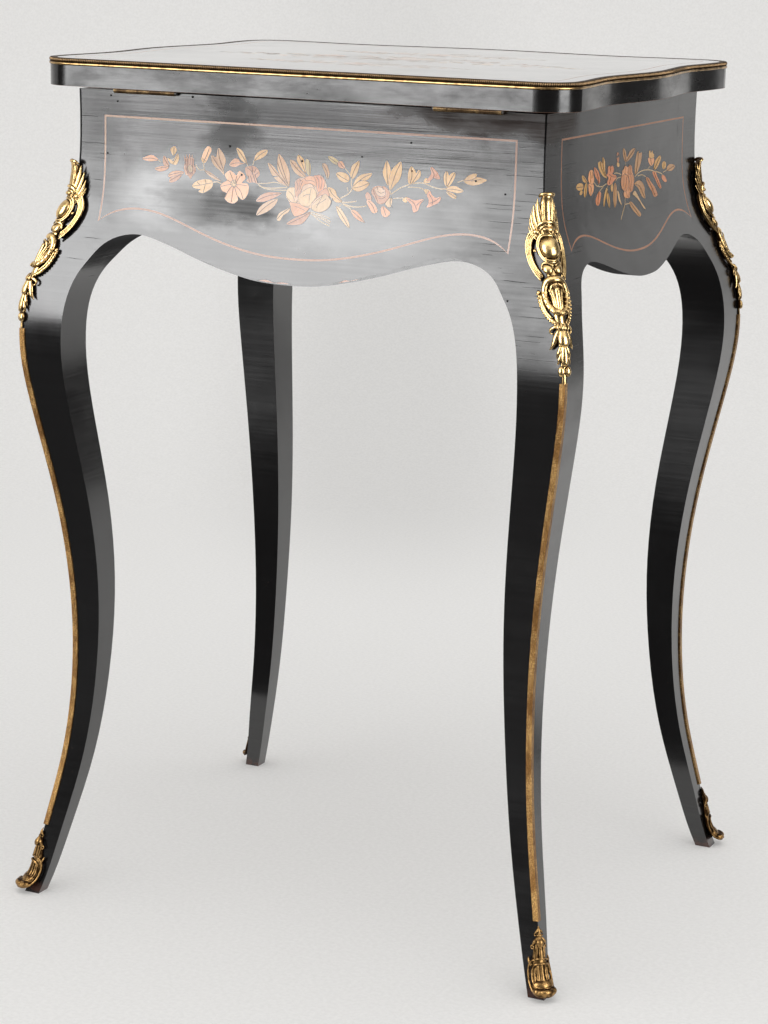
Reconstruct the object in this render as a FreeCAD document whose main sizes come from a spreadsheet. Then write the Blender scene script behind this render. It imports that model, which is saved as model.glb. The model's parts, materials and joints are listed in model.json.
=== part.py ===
import FreeCAD, Part
import Sketcher
import math
import os

from FreeCAD import Placement, Rotation, Vector

# A small bombe dressing table on cabriole legs, with a hinged lid, a mirror under the lid, a
# compartmented well, a lock in the front apron and gilt mounts on the corners and feet.
# Axes: X along the long side, Y from the front (lock side) to the back (hinge side), Z up.
# The origin is on the floor under the middle of the table. Lengths are in millimetres.

doc = FreeCAD.newDocument("DressingTable")

# Driving dimensions
SIZES = [
    ("table_height", 730.0, "floor to the top of the lid moulding"),
    ("carcass_length", 421.6, "long side over the aprons, at the top"),
    ("carcass_depth", 339.6, "short side over the aprons, at the top"),
    ("knee_projection", 36.4, "how far the knee stands out past the top of the corner"),
    ("leg_thickness", 39.3, "width of each face of the leg at the knee"),
    ("post_size", 46.0, "side of the square post at the head of the leg"),
    ("apron_thickness", 18.0, "thickness of the apron boards"),
    ("long_apron_drop", 145.2, "carcass top to the low point of the front and back aprons"),
    ("short_apron_drop", 140.4, "carcass top to the low point of the end aprons"),
    ("long_arch_rise", 29.3, "rise of the scallop under the long aprons"),
    ("short_arch_rise", 21.5, "rise of the scallop under the end aprons"),
    ("long_arch_peak", 145.0, "middle of a long apron to the peak of its scallop"),
    ("short_arch_peak", 106.0, "middle of an end apron to the peak of its scallop"),
    ("arch_shoulder", 48.0, "peak of the scallop to the inner edge of the leg"),
    ("arch_shoulder_drop", 30.0, "fall of the scallop over its shoulder"),
    ("tenon_length", 24.0, "apron tenon, into the post"),
    ("tenon_height", 70.0, "apron tenon, up and down"),
    ("tenon_thickness", 8.0, "apron tenon, across the board"),
    ("tenon_shoulder", 12.0, "carcass top to the top of a tenon"),
    ("joint_fit", 0.1, "glue space round a tenon or a housed edge"),
    ("tenon_end_gap", 0.5, "space at the bottom of a mortise"),
    ("well_depth", 95.9, "carcass top to the floor of the well"),
    ("bottom_thickness", 6.0, "bottom panel of the well"),
    ("ledge_height", 11.0, "strips that carry the bottom panel, up and down"),
    ("ledge_width", 18.0, "strips that carry the bottom panel, across"),
    ("panel_gap", 0.3, "gap between the bottom panel or the linings and the posts"),
    ("lining_thickness", 5.0, "boards that line the well"),
    ("lining_fit", 1.2, "space between the linings and the aprons"),
    ("lining_drop", 1.0, "carcass top to the top of the linings"),
    ("partition_offset", 80.0, "middle of the well to each cross partition"),
    ("partition_height", 62.0, "height of the partitions"),
    ("partition_thickness", 5.0, "thickness of the partitions"),
    ("groove_depth", 2.0, "housing of a partition in its neighbour"),
    ("hinge_gap", 3.2, "gap between the carcass and the closed lid, filled by the hinge leaves"),
    ("lid_edge_height", 16.9, "black edge of the lid, below the moulding"),
    ("moulding_height", 6.0, "gilt moulding round the top edge of the lid"),
    ("moulding_width", 7.0, "gilt moulding, across"),
    ("moulding_round", 3.4, "round of the moulding's outer face"),
    ("moulding_projection", 1.2, "how far the moulding stands out past the lid's edge"),
    ("lid_top_sink", 0.6, "top of the moulding down to the lid's top"),
    ("lid_side_overhang", 27.2, "lid past the end aprons, at the corners"),
    ("lid_back_overhang", 25.2, "lid past the back apron"),
    ("lid_front_overhang", 24.2, "lid past the front apron, at the corners"),
    ("lid_corner_radius", 30.0, "rounded corners of the lid"),
    ("side_swell", 3.0, "middle of the lid's end out past its corners"),
    ("side_dip", 6.0, "hollows in the lid's end, in from its corners"),
    ("front_swell", 6.0, "middle of the lid's front out past its corners"),
    ("front_dip", 7.0, "hollows in the lid's front, in from its corners"),
    ("mirror_frame_length", 316.0, "moulding round the mirror, outside"),
    ("mirror_frame_depth", 236.0, "moulding round the mirror, outside"),
    ("mirror_frame_width", 13.0, "moulding round the mirror, across"),
    ("mirror_frame_height", 5.5, "moulding round the mirror, down from the lid"),
    ("mirror_thickness", 3.0, "mirror glass"),
    ("mirror_rebate", 3.0, "how far the moulding laps the glass"),
    ("mirror_fit", 0.3, "space round the glass"),
    ("hinge_length", 58.0, "hinge along the lid"),
    ("hinge_offset", 145.5, "middle of the table to the middle of a hinge"),
    ("hinge_leaf_width", 16.0, "hinge axis to the inner edge of a leaf"),
    ("hinge_leaf_thickness", 1.2, "hinge leaf"),
    ("knuckle_radius", 2.5, "outside of the hinge barrel"),
    ("knuckle_gap", 0.3, "space between the knuckles, and between barrel and lid"),
    ("hinge_stand_off", 0.5, "space between the barrel and the back apron"),
    ("hinge_pin_radius", 1.2, "hinge pin"),
    ("pin_fit", 0.05, "radial running fit of the hinge pin"),
    ("pin_head_length", 0.8, "ends of the hinge pin, along it"),
    ("pin_head_radius", 1.8, "ends of the hinge pin"),
    ("hinge_screw_spread", 15.0, "spacing of the screws in a leaf"),
    ("screw_setback", 9.5, "hinge axis to the line of the screws"),
    ("screw_radius", 1.1, "shank of the small wood screws"),
    ("screw_head_radius", 2.3, "countersunk head"),
    ("screw_length", 9.0, "small wood screws, under the head"),
    ("screw_fit", 0.05, "space between a screw and its hole"),
    ("lock_case_length", 50.0, "box lock, along the apron"),
    ("lock_case_height", 23.9, "box lock, carcass top to its foot"),
    ("lock_case_thickness", 12.0, "box lock, across the apron"),
    ("lock_wall", 1.2, "sheet of the lock case"),
    ("selvedge_length", 64.0, "top plate of the lock, along the apron"),
    ("selvedge_width", 13.0, "top plate of the lock, across the apron"),
    ("selvedge_thickness", 1.5, "top plate of the lock"),
    ("lock_fit", 0.15, "space between the lock and its mortise"),
    ("lock_screw_inset", 3.5, "end of a lock plate to its screw"),
    ("loop_offset", 12.0, "middle of the lock to each loop of the strike plate"),
    ("loop_thickness", 2.4, "loop of the strike plate, along the apron"),
    ("loop_width", 4.8, "loop of the strike plate, across the apron"),
    ("loop_length", 10.3, "loop of the strike plate, down from the lid"),
    ("loop_bar", 1.0, "bars each side of a loop's window"),
    ("loop_foot", 1.4, "bar under a loop's window"),
    ("loop_window_height", 3.6, "height of a loop's window"),
    ("loop_room", 0.5, "space round a loop in the lock's top plate"),
    ("strike_length", 46.0, "strike plate under the lid"),
    ("strike_width", 12.0, "strike plate under the lid"),
    ("strike_thickness", 1.5, "strike plate under the lid"),
    ("bolt_throw", 7.0, "travel of the lock bolt"),
    ("finger_gap", 0.6, "unlocked finger short of its loop"),
    ("finger_length", 7.2, "finger of the bolt"),
    ("finger_height", 2.4, "finger of the bolt"),
    ("finger_width", 2.2, "finger of the bolt"),
    ("bolt_arm", 2.0, "arm between the bolt plate and a finger"),
    ("bolt_plate_thickness", 2.0, "back plate of the bolt"),
    ("bolt_plate_height", 4.7, "back plate of the bolt"),
    ("key_drop", 11.4, "carcass top to the axis of the key"),
    ("key_stem_radius", 2.1, "stem of the key"),
    ("key_fit", 0.1, "running fit of the key in the lock case"),
    ("key_hole_room", 0.5, "space round the key in the apron and escutcheon"),
    ("key_bit_reach", 4.6, "axis of the key to the tip of its bit"),
    ("key_bit_width", 3.5, "bit along the key"),
    ("key_bit_thickness", 1.6, "bit across"),
    ("key_bow_radius", 6.5, "ring of the key, at the middle of its wire"),
    ("key_bow_wire", 1.5, "radius of the wire of the key's ring"),
    ("key_bow_reach", 15.8, "front apron to the middle of the key's ring"),
    ("key_collar_radius", 3.2, "collar on the key's stem"),
    ("key_collar_length", 2.0, "collar on the key's stem"),
    ("key_collar_gap", 1.0, "escutcheon to the collar"),
    ("escutcheon_width", 12.0, "keyhole plate"),
    ("escutcheon_height", 17.0, "keyhole plate"),
    ("escutcheon_thickness", 1.5, "keyhole plate"),
    ("inlay_depth", 0.6, "thickness of the inlaid veneers"),
    ("string_width", 1.5, "stringing line"),
    ("long_string_inset", 25.0, "corner to the upright stringing of a long apron"),
    ("short_string_inset", 32.0, "corner to the upright stringing of an end apron"),
    ("string_top_drop", 21.4, "carcass top to the top stringing line"),
    ("string_margin", 20.3, "scallop up to the lower stringing line"),
    ("lid_string_inset", 22.0, "edge of the lid to its stringing line"),
    ("spray_unit", 10.0, "unit of the floral marquetry of the aprons"),
    ("spray_line_drop", 67.9, "carcass top to the middle line of the apron marquetry"),
    ("lid_spray_unit", 11.5, "unit of the large spray on the lid"),
    ("lid_side_spray_unit", 9.0, "unit of the two smaller sprays on the lid"),
    ("lid_side_spray_offset", 78.0, "middle of the lid to the smaller sprays"),
    ("mount_top", 645.0, "top of a corner mount above the floor"),
    ("mount_height", 140.0, "corner mount, up and down"),
    ("mount_width", 32.0, "corner mount, across"),
    ("mount_relief", 9.0, "corner mount, out from the corner"),
    ("mount_root", 1.0, "depth of a mount's seat before it is cut to the leg"),
    ("cabochon_width", 15.0, "boss in the scrolls of a corner mount"),
    ("cabochon_height", 20.0, "boss in the scrolls of a corner mount"),
    ("cabochon_relief", 5.0, "boss in the scrolls of a corner mount"),
    ("mount_slot_width", 4.0, "openings in the lower loop of a corner mount"),
    ("mount_slot_height", 17.0, "openings in the lower loop of a corner mount"),
    ("strip_face", 3.6, "angle strip on the corner of the leg, along each face"),
    ("strip_thickness", 1.2, "angle strip on the corner of the leg"),
    ("strip_top", 504.0, "top of an angle strip above the floor"),
    ("strip_bottom", 61.0, "foot of an angle strip above the floor"),
    ("sabot_top", 57.5, "top of a foot mount above the floor"),
    ("sabot_bottom", 4.0, "bottom of a foot mount above the floor"),
    ("sabot_width", 20.0, "foot mount, across"),
    ("sabot_relief", 9.0, "foot mount, out from the corner"),
    ("toe_radius", 3.8, "rolled toe of a foot mount"),
    ("toe_length", 12.0, "rolled toe of a foot mount"),
    ("toe_reach", 8.8, "corner of the foot to the middle of the rolled toe"),
    ("toe_height", 9.0, "middle of the rolled toe above the floor"),
    ("overrun", 30.0, "how far a cutting or trimming shape runs past what it cuts"),
]

sheet = doc.addObject("Spreadsheet::Sheet", "Sizes")
for row, (alias, value, note) in enumerate(SIZES, start=1):
    sheet.set(f"A{row}", note)
    sheet.set(f"B{row}", str(value))
    sheet.setAlias(f"B{row}", alias)
doc.recompute()

# Sizes that follow from the driving ones
LAYOUT = [
    ("half_length", "Sizes.carcass_length / 2"),
    ("half_depth", "Sizes.carcass_depth / 2"),
    ("lid_underside", "Sizes.table_height - Sizes.moulding_height - Sizes.lid_edge_height"),
    ("lid_top", "Sizes.table_height - Sizes.lid_top_sink"),
    ("moulding_seat", "Sizes.table_height - Sizes.moulding_height"),
    ("carcass_top", "lid_underside - Sizes.hinge_gap"),
    ("post_x", "half_length - Sizes.post_size"),
    ("post_y", "half_depth - Sizes.post_size"),
    ("apron_inner_x", "half_length - Sizes.apron_thickness"),
    ("apron_inner_y", "half_depth - Sizes.apron_thickness"),
    ("lining_outer_x", "apron_inner_x - Sizes.lining_fit"),
    ("lining_outer_y", "apron_inner_y - Sizes.lining_fit"),
    ("lining_inner_x", "lining_outer_x - Sizes.lining_thickness"),
    ("lining_inner_y", "lining_outer_y - Sizes.lining_thickness"),
    ("well_floor", "carcass_top - Sizes.well_depth"),
    ("bottom_underside", "well_floor - Sizes.bottom_thickness"),
    ("ledge_foot", "bottom_underside - Sizes.ledge_height"),
    ("lining_top", "carcass_top - Sizes.lining_drop"),
    ("lining_run_x", "post_x - Sizes.panel_gap"),
    ("lining_run_y", "post_y - Sizes.panel_gap"),
    ("partition_top", "well_floor + Sizes.partition_height"),
    ("partition_side", "Sizes.partition_offset + Sizes.partition_thickness / 2"),
    ("hinge_y", "half_depth + Sizes.hinge_stand_off + Sizes.knuckle_radius"),
    ("hinge_z", "lid_underside - Sizes.knuckle_gap - Sizes.knuckle_radius"),
    ("leaf_inner_y", "hinge_y - Sizes.hinge_leaf_width"),
    ("leaf_outer_y", "hinge_y - Sizes.knuckle_radius - Sizes.knuckle_gap"),
    ("screw_y", "hinge_y - Sizes.screw_setback"),
    ("lock_inner_y", "-apron_inner_y"),
    ("lock_outer_y", "lock_inner_y - Sizes.lock_case_thickness"),
    ("lock_foot", "carcass_top - Sizes.lock_case_height"),
    ("selvedge_underside", "carcass_top - Sizes.selvedge_thickness"),
    ("loop_outer_y", "lock_outer_y + Sizes.lock_wall + Sizes.loop_room + Sizes.lock_fit"),
    ("loop_inner_y", "loop_outer_y + Sizes.loop_width"),
    ("loop_centre_y", "loop_outer_y + Sizes.loop_width / 2"),
    ("loop_tip", "lid_underside - Sizes.loop_length"),
    ("window_foot", "loop_tip + Sizes.loop_foot"),
    ("window_middle", "window_foot + Sizes.loop_window_height / 2"),
    ("bolt_plate_y", "loop_inner_y + Sizes.loop_room"),
    ("finger_y", "loop_centre_y - Sizes.finger_width / 2"),
    ("finger_z", "window_middle - Sizes.finger_height / 2"),
    ("key_z", "carcass_top - Sizes.key_drop"),
    ("bolt_plate_z", "key_z + Sizes.key_bit_reach + Sizes.knuckle_gap"),
    ("key_tip_y", "lock_inner_y - Sizes.lock_wall - Sizes.loop_room"),
    ("key_bit_y", "loop_centre_y - Sizes.key_bit_width / 2"),
    ("strike_outer_y", "loop_centre_y - Sizes.strike_width / 2"),
    ("escutcheon_y", "-half_depth - Sizes.escutcheon_thickness"),
]

layout = doc.addObject("App::VarSet", "Layout")
for name, formula in LAYOUT:
    layout.addProperty("App::PropertyFloat", name)
    layout.setExpression(name, formula)
doc.recompute()


def size(name):
    """The value of a driving dimension, or of one that follows from them."""
    return getattr(layout, name) if hasattr(layout, name) else float(sheet.get(name))


# Profile of the corner of the table: shares of the carcass height, of knee_projection and of
# leg_thickness. The aprons share it, so their faces swell out to the knees as the legs do.
CORNER_SHARES = [
    (0.0, 1.05, 0.36),
    (0.031, 0.893, 0.385),
    (0.071, 0.745, 0.43),
    (0.1705, 0.378, 0.5),
    (0.2841, 0.165, 0.575),
    (0.3978, 0.198, 0.695),
    (0.5114, 0.445, 0.81),
    (0.6251, 0.83, 0.925),
    (0.7103, 1.0, 1.0),
    (0.7956, 0.714, 1.0),
    (0.8808, 0.096, 1.0),
    (0.9305, 0.0, 1.0),
    (1.0, 0.0, 1.0),
]
# How many of the stations above lie below the arch and shape the inner edge of the leg
LEG_STATIONS = 9
# Lower edge of an apron: shares of the arch peak's distance from the middle, and of its rise
SCALLOP_SHARES = [(0.0, 0.0), (0.19, 0.042), (0.37, 0.2), (0.55, 0.42), (0.74, 0.71), (0.88, 0.9), (1.0, 1.0)]
# From the peak into the leg: shares of arch_shoulder and arch_shoulder_drop
SHOULDER_SHARES = [(0.36, 0.08), (0.54, 0.2), (0.74, 0.45), (0.9, 0.78), (1.0, 1.0)]
# Lower stringing line, in the same shares as the scallop
STRING_SHARES = [(0.0, 0.0), (0.19, 0.04), (0.37, 0.18), (0.56, 0.42), (0.74, 0.71), (0.9, 0.93), (1.03, 1.0), (1.15, 0.93)]
STRING_END_SHARE = 0.6
# Hollows in the lid's edges, as shares of the straight run between its corners
SIDE_DIP_SHARE = 0.56
FRONT_DIP_SHARE = 0.66

# Floral marquetry, in spray units from the middle of the panel. A leaf has its root, its tip and
# its width; a flower its middle, its radius and its number of petals.
LONG_LEAF_SHARES = [
    (13.5, 1.3, 15.1, 1.4, 0.42), (12.6, 0.9, 13.1, 1.9, 0.45), (12.6, 0.9, 13.9, 0.55, 0.45),
    (11.8, 1.4, 12.2, 2.55, 0.55), (11.7, 1.15, 12.75, 1.5, 0.45), (11.0, 0.45, 12.6, 0.1, 0.42),
    (11.1, 0.2, 12.5, -0.4, 0.4), (9.3, 1.3, 8.7, 2.7, 0.65), (7.3, 0.7, 8.4, 1.95, 0.6),
    (7.3, 0.6, 7.9, 2.65, 0.95), (8.3, -0.3, 10.3, -0.6, 0.95), (5.4, 1.6, 6.2, 2.75, 0.75),
    (5.5, 1.7, 6.9, 1.35, 0.65), (4.6, 1.8, 3.4, 2.75, 0.65), (1.5, 0.1, 3.4, 1.75, 0.75),
    (1.35, 0.2, 2.35, 2.55, 1.0), (2.1, -0.65, 4.15, -1.25, 0.65), (2.0, -0.75, 3.95, -2.4, 0.75),
    (-0.35, 0.65, 1.35, 2.1, 0.85), (-0.3, 1.2, 0.6, 2.6, 0.75), (-0.55, 1.1, -0.4, 2.2, 0.6),
    (-2.2, 0.5, -1.75, 1.95, 0.45), (1.0, -1.75, 2.0, -2.55, 0.4), (-3.75, 1.65, -2.2, 2.6, 0.6),
    (-4.15, 1.0, -4.9, 2.45, 0.75), (-4.1, 0.8, -2.95, 1.35, 0.6), (-4.4, 0.5, -6.05, 1.4, 0.75),
    (-4.45, 0.05, -5.9, 0.5, 0.65), (-4.3, -1.4, -6.0, -2.4, 0.5), (-3.3, -1.5, -4.6, -2.85, 0.35),
    (-7.6, 0.5, -7.35, 2.55, 0.85), (-7.75, 0.5, -8.7, 2.45, 0.95), (-9.35, 0.75, -9.65, 2.2, 0.75),
    (-9.55, 0.85, -10.3, 1.95, 0.65), (-12.65, 1.0, -12.55, 2.0, 0.4), (-12.85, 1.0, -13.3, 2.0, 0.45),
    (-12.75, 0.7, -14.1, 0.6, 0.42), (-12.65, 0.5, -13.6, -0.05, 0.4), (-14.15, 1.4, -15.95, 1.5, 0.5),
]
LONG_FLOWER_SHARES = [
    (10.5, 0.95, 0.62, 6), (6.2, -0.35, 1.2, 7), (4.65, 0.85, 0.65, 5), (-0.75, -0.75, 1.9, 8),
    (-6.95, -0.55, 1.0, 6), (-11.45, 1.9, 0.5, 3), (-11.6, -0.35, 0.55, 3), (-10.2, -0.95, 0.55, 3),
]
SHORT_LEAF_SHARES = [
    (10.2, 0.55, 11.9, 0.7, 0.55), (10.3, 0.35, 11.0, -0.15, 0.4), (9.2, 0.9, 10.3, 1.45, 0.5),
    (9.3, 0.6, 10.1, -0.1, 0.5), (6.35, 0.8, 7.55, 1.8, 0.6), (5.0, 1.15, 5.45, 2.5, 0.65),
    (5.2, 1.1, 6.65, 2.2, 0.55), (6.4, -0.1, 7.65, -1.0, 0.6), (5.0, -0.1, 6.05, -1.15, 0.5),
    (4.85, 0.0, 4.9, -1.5, 0.55), (2.9, 0.0, 3.75, -1.55, 0.65), (2.55, 0.0, 2.0, -1.45, 0.5),
    (2.0, 1.7, 2.3, 2.75, 0.45), (0.25, 1.95, 1.05, 3.0, 0.6), (0.0, 2.0, -1.95, 2.8, 0.75),
    (-2.05, 1.0, -2.6, 2.5, 0.75), (-2.2, 0.85, -3.65, 2.35, 0.65), (-1.7, 0.05, -3.6, -1.35, 0.85),
    (-1.95, 0.25, -3.95, -0.45, 0.6), (-0.9, -0.95, -3.25, -2.25, 0.4), (0.2, -1.35, -1.9, -2.65, 0.65),
    (0.6, -1.3, 3.1, -2.65, 0.32), (-6.6, 0.85, -8.3, 1.7, 0.65), (-8.7, 0.7, -9.9, 1.1, 0.5),
    (-9.9, 0.45, -12.0, 0.6, 0.5), (-6.5, 0.3, -7.9, -0.85, 0.65), (-8.0, 0.2, -9.6, -0.45, 0.5),
    (-4.5, 0.0, -6.3, -1.35, 0.6),
]
SHORT_FLOWER_SHARES = [
    (8.4, 0.85, 0.78, 6), (3.7, 0.85, 1.0, 6), (0.1, 0.3, 1.4, 8), (-5.85, 1.9, 0.62, 5),
]
# Notches between the petals, as a share of a flower's radius
PETAL_SHARE = 0.1
# Belly of a leaf, from its root, as a share of its length
LEAF_BELLY_SHARE = 0.45

# Corner mount from its top down: shares of mount_height, of half mount_width and of mount_relief
MOUNT_SHARES = [
    (0.0, 0.1, 0.3), (0.04, 0.34, 0.62), (0.1, 0.62, 0.72), (0.16, 0.72, 0.66), (0.21, 0.6, 0.6),
    (0.25, 0.72, 0.76), (0.3, 0.92, 0.95), (0.36, 1.0, 1.0), (0.42, 0.97, 0.95), (0.47, 0.72, 0.8),
    (0.505, 0.55, 0.62), (0.55, 0.6, 0.76), (0.63, 0.6, 0.72), (0.7, 0.42, 0.66), (0.73, 0.26, 0.5),
    (0.76, 0.3, 0.55), (0.8, 0.47, 0.72), (0.835, 0.3, 0.55), (0.87, 0.36, 0.62), (0.9, 0.2, 0.42),
    (0.95, 0.22, 0.5), (1.0, 0.1, 0.24),
]
CABOCHON_SHARE = 0.375
MOUNT_SLOT_SHARE = 0.6
MOUNT_SLOT_ASIDE_SHARE = 0.3
# Foot mount from its top down: shares of its height, of half sabot_width and of sabot_relief
SABOT_SHARES = [
    (0.0, 0.12, 0.2), (0.04, 0.34, 0.35), (0.09, 0.34, 0.33), (0.125, 0.16, 0.2), (0.17, 0.36, 0.4),
    (0.215, 0.46, 0.45), (0.26, 0.66, 0.45), (0.3, 0.44, 0.36), (0.4, 0.4, 0.4), (0.43, 0.84, 0.48),
    (0.5, 0.96, 0.66), (0.65, 1.0, 0.88), (0.8, 0.92, 1.0), (0.9, 0.8, 1.08), (1.0, 0.52, 0.6),
]
# Where the two hinges, and the lock's loops, stand each side of the middle
SIDES = [("left", -1), ("right", 1)]
KNUCKLES = 5
# Halvings that find a height on the corner's curve
BISECTIONS = 50
DIAGONAL = math.sqrt(0.5)


# Small helpers

def board(name, low, high):
    """A box whose two corners are given as expressions on the sheet and the layout."""
    piece = doc.addObject("Part::Box", name)
    for axis, edge, start, end in zip("xyz", ("Length", "Width", "Height"), low, high):
        piece.setExpression(edge, f"({end}) - ({start})")
        piece.setExpression(f"Placement.Base.{axis}", start)
    return piece


def rod(name, radius, length, at, axis):
    """A cylinder along one axis, with its radius, length and start given as expressions."""
    piece = doc.addObject("Part::Cylinder", name)
    piece.Placement = Placement(Vector(), Rotation(Vector(0, 0, 1), axis))
    piece.setExpression("Radius", radius)
    piece.setExpression("Height", length)
    for letter, start in zip("xyz", at):
        piece.setExpression(f"Placement.Base.{letter}", start)
    return piece


def cut(name, base, tool):
    piece = doc.addObject("Part::Cut", name)
    piece.Base = base
    piece.Tool = tool
    return piece


def fuse(name, shapes):
    piece = doc.addObject("Part::MultiFuse", name)
    piece.Shapes = shapes
    return piece


def common(name, shapes):
    piece = doc.addObject("Part::MultiCommon", name)
    piece.Shapes = shapes
    return piece


def group(name, shapes):
    piece = doc.addObject("Part::Compound", name)
    piece.Links = shapes
    return piece


def mirror(name, source, normal):
    piece = doc.addObject("Part::Mirroring", name)
    piece.Source = source
    piece.Normal = normal
    piece.Base = Vector()
    return piece


def shaped(name, shape):
    """A feature for a shape that follows curves, worked out from the sheet's values."""
    piece = doc.addObject("Part::Feature", name)
    piece.Shape = shape
    return piece


def extruded(name, base, direction, length, start):
    """Extrude a face along an axis by an expression, from an expression's distance along it."""
    piece = doc.addObject("Part::Extrusion", name)
    piece.Base = base
    piece.DirMode = "Custom"
    piece.Dir = direction
    piece.Solid = True
    piece.setExpression("LengthFwd", f"({length}) + ({start})")
    piece.setExpression("LengthRev", f"-({start})")
    return piece


def spline(points, tangents=None):
    curve = Part.BSplineCurve()
    if tangents:
        curve.interpolate(Points=points, InitialTangent=tangents[0], FinalTangent=tangents[1])
    else:
        curve.interpolate(Points=points)
    return curve


def face_of(edges):
    return Part.Face(Part.Wire(edges))


# Curves of the corners and the scalloped edges. In these, "along" is X for the long sides and Y
# for the short ones, and a point is placed by the axis vector of its side.

LONG = Vector(1, 0, 0)
SHORT = Vector(0, 1, 0)
UP = Vector(0, 0, 1)


def at(along, across, height):
    return along * across + UP * height


def half_span(along):
    return size("half_length") if along is LONG else size("half_depth")


def corner_points(along, side, shift=0.0):
    """The outer profile of a corner from the floor up, moved by shift along the side."""
    points = []
    for height_share, out_share, _ in CORNER_SHARES:
        out = half_span(along) + out_share * size("knee_projection") + shift
        points.append(at(along, side * out, height_share * size("carcass_top")))
    return points


def arch_sizes(along):
    kind = "long" if along is LONG else "short"
    low = size("carcass_top") - size(f"{kind}_apron_drop")
    return size(f"{kind}_arch_peak"), size(f"{kind}_arch_rise"), low


def inner_points(along, side):
    """The inner edge of a leg from the floor up, then round its shoulder to the arch's peak."""
    points = []
    for height_share, out_share, thick_share in CORNER_SHARES[:LEG_STATIONS]:
        out = half_span(along) + out_share * size("knee_projection") - thick_share * size("leg_thickness")
        points.append(at(along, side * out, height_share * size("carcass_top")))
    peak, rise, low = arch_sizes(along)
    for out_share, drop_share in reversed(SHOULDER_SHARES):
        out = peak + out_share * size("arch_shoulder")
        points.append(at(along, side * out, low + rise - drop_share * size("arch_shoulder_drop")))
    return points


def scallop_points(along):
    peak, rise, low = arch_sizes(along)
    right = [at(along, out * peak, low + up * rise) for out, up in SCALLOP_SHARES]
    left = [at(along, -out * peak, low + up * rise) for out, up in reversed(SCALLOP_SHARES[1:])]
    return left + right


def elevation(along):
    """The whole side view: two legs, the posts and the scalloped edge between them."""
    outer_right = spline(corner_points(along, 1)).toShape()
    outer_left = spline(corner_points(along, -1)).toShape()
    inner = inner_points(along, -1) + scallop_points(along) + list(reversed(inner_points(along, 1)))
    top = Part.LineSegment(corner_points(along, 1)[-1], corner_points(along, -1)[-1]).toShape()
    foot_right = Part.LineSegment(corner_points(along, 1)[0], inner_points(along, 1)[0]).toShape()
    foot_left = Part.LineSegment(corner_points(along, -1)[0], inner_points(along, -1)[0]).toShape()
    return face_of([top, outer_left, foot_left, spline(inner).toShape(), foot_right, outer_right])


def band(along, side, start, end):
    """The strip between the corner profile moved in by start and by end."""
    outer = spline(corner_points(along, side, -start))
    inner = spline(corner_points(along, side, -end))
    edges = [outer.toShape(), inner.toShape()]
    for k in (0, -1):
        first = corner_points(along, side, -start)[k]
        edges.append(Part.LineSegment(first, corner_points(along, side, -end)[k]).toShape())
    ordered = [edges[0], edges[3], edges[1], edges[2]]
    return face_of(ordered)


# Carcass: the legs and aprons are cut from the two side views

long_view = shaped("LongElevation", elevation(LONG))
short_view = shaped("ShortElevation", elevation(SHORT))
REACH_Y = "(Layout.half_depth + Sizes.knee_projection + Sizes.overrun)"
REACH_X = "(Layout.half_length + Sizes.knee_projection + Sizes.overrun)"
long_prism = extruded("LongPrism", long_view, SHORT, f"2 * {REACH_Y}", f"-{REACH_Y}")
short_prism = extruded("ShortPrism", short_view, LONG, f"2 * {REACH_X}", f"-{REACH_X}")

ABOVE = "(Layout.carcass_top + Sizes.overrun)"
corner_block = board("CornerBlock", ("Layout.post_x", "Layout.post_y", "0"), (REACH_X, REACH_Y, ABOVE))
leg_blank = common("LegBlank", [long_prism, short_prism, corner_block])

TENON_TOP = "Layout.carcass_top - Sizes.tenon_shoulder"
TENON_FOOT = f"{TENON_TOP} - Sizes.tenon_height"
TENON_IN = "(Sizes.apron_thickness - Sizes.tenon_thickness) / 2"


def tenon(name, along, side, far, spread):
    """One apron tenon, or with a spread and a longer reach the mortise that takes it."""
    post, half = ("post_x", "half_depth") if along is LONG else ("post_y", "half_length")
    start = f"Layout.{post}" if side > 0 else f"-Layout.{post} - ({far})"
    end = f"Layout.{post} + ({far})" if side > 0 else f"-Layout.{post}"
    thick = (f"Layout.{half} - {TENON_IN} - Sizes.tenon_thickness - {spread}", f"Layout.{half} - {TENON_IN} + {spread}")
    low = f"{TENON_FOOT} - {spread}"
    high = f"{TENON_TOP} + {spread}"
    if along is LONG:
        return board(name, (start, thick[0], low), (end, thick[1], high))
    return board(name, (thick[0], start, low), (thick[1], end, high))


MORTISE_REACH = "Sizes.tenon_length + Sizes.tenon_end_gap"
mortises = fuse("Mortises", [
    tenon("MortiseLong", LONG, 1, MORTISE_REACH, "Sizes.joint_fit"),
    tenon("MortiseShort", SHORT, 1, MORTISE_REACH, "Sizes.joint_fit"),
])
leg_mortised = cut("LegMortised", leg_blank, mortises)


def apron_blank(name, along):
    """A bowed board between two posts, with its scalloped edge and its tenons."""
    across = SHORT if along is LONG else LONG
    view = long_prism if along is LONG else short_prism
    post = "post_x" if along is LONG else "post_y"
    section = shaped(f"{name}Section", band(across, 1, 0.0, size("apron_thickness")))
    bowed = extruded(f"{name}Bowed", section, along, f"2 * Layout.{post}", f"-Layout.{post}")
    scalloped = common(f"{name}Scalloped", [view, bowed])
    tenons = [tenon(f"{name}Tenon{end}", along, side, "Sizes.tenon_length", "0") for end, side in SIDES]
    return fuse(name, [scalloped] + tenons)


long_blank = apron_blank("LongApronBlank", LONG)
short_blank = apron_blank("ShortApronBlank", SHORT)


# Inlays: outlines drawn on the side view, kept to the skin of the bowed face

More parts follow.
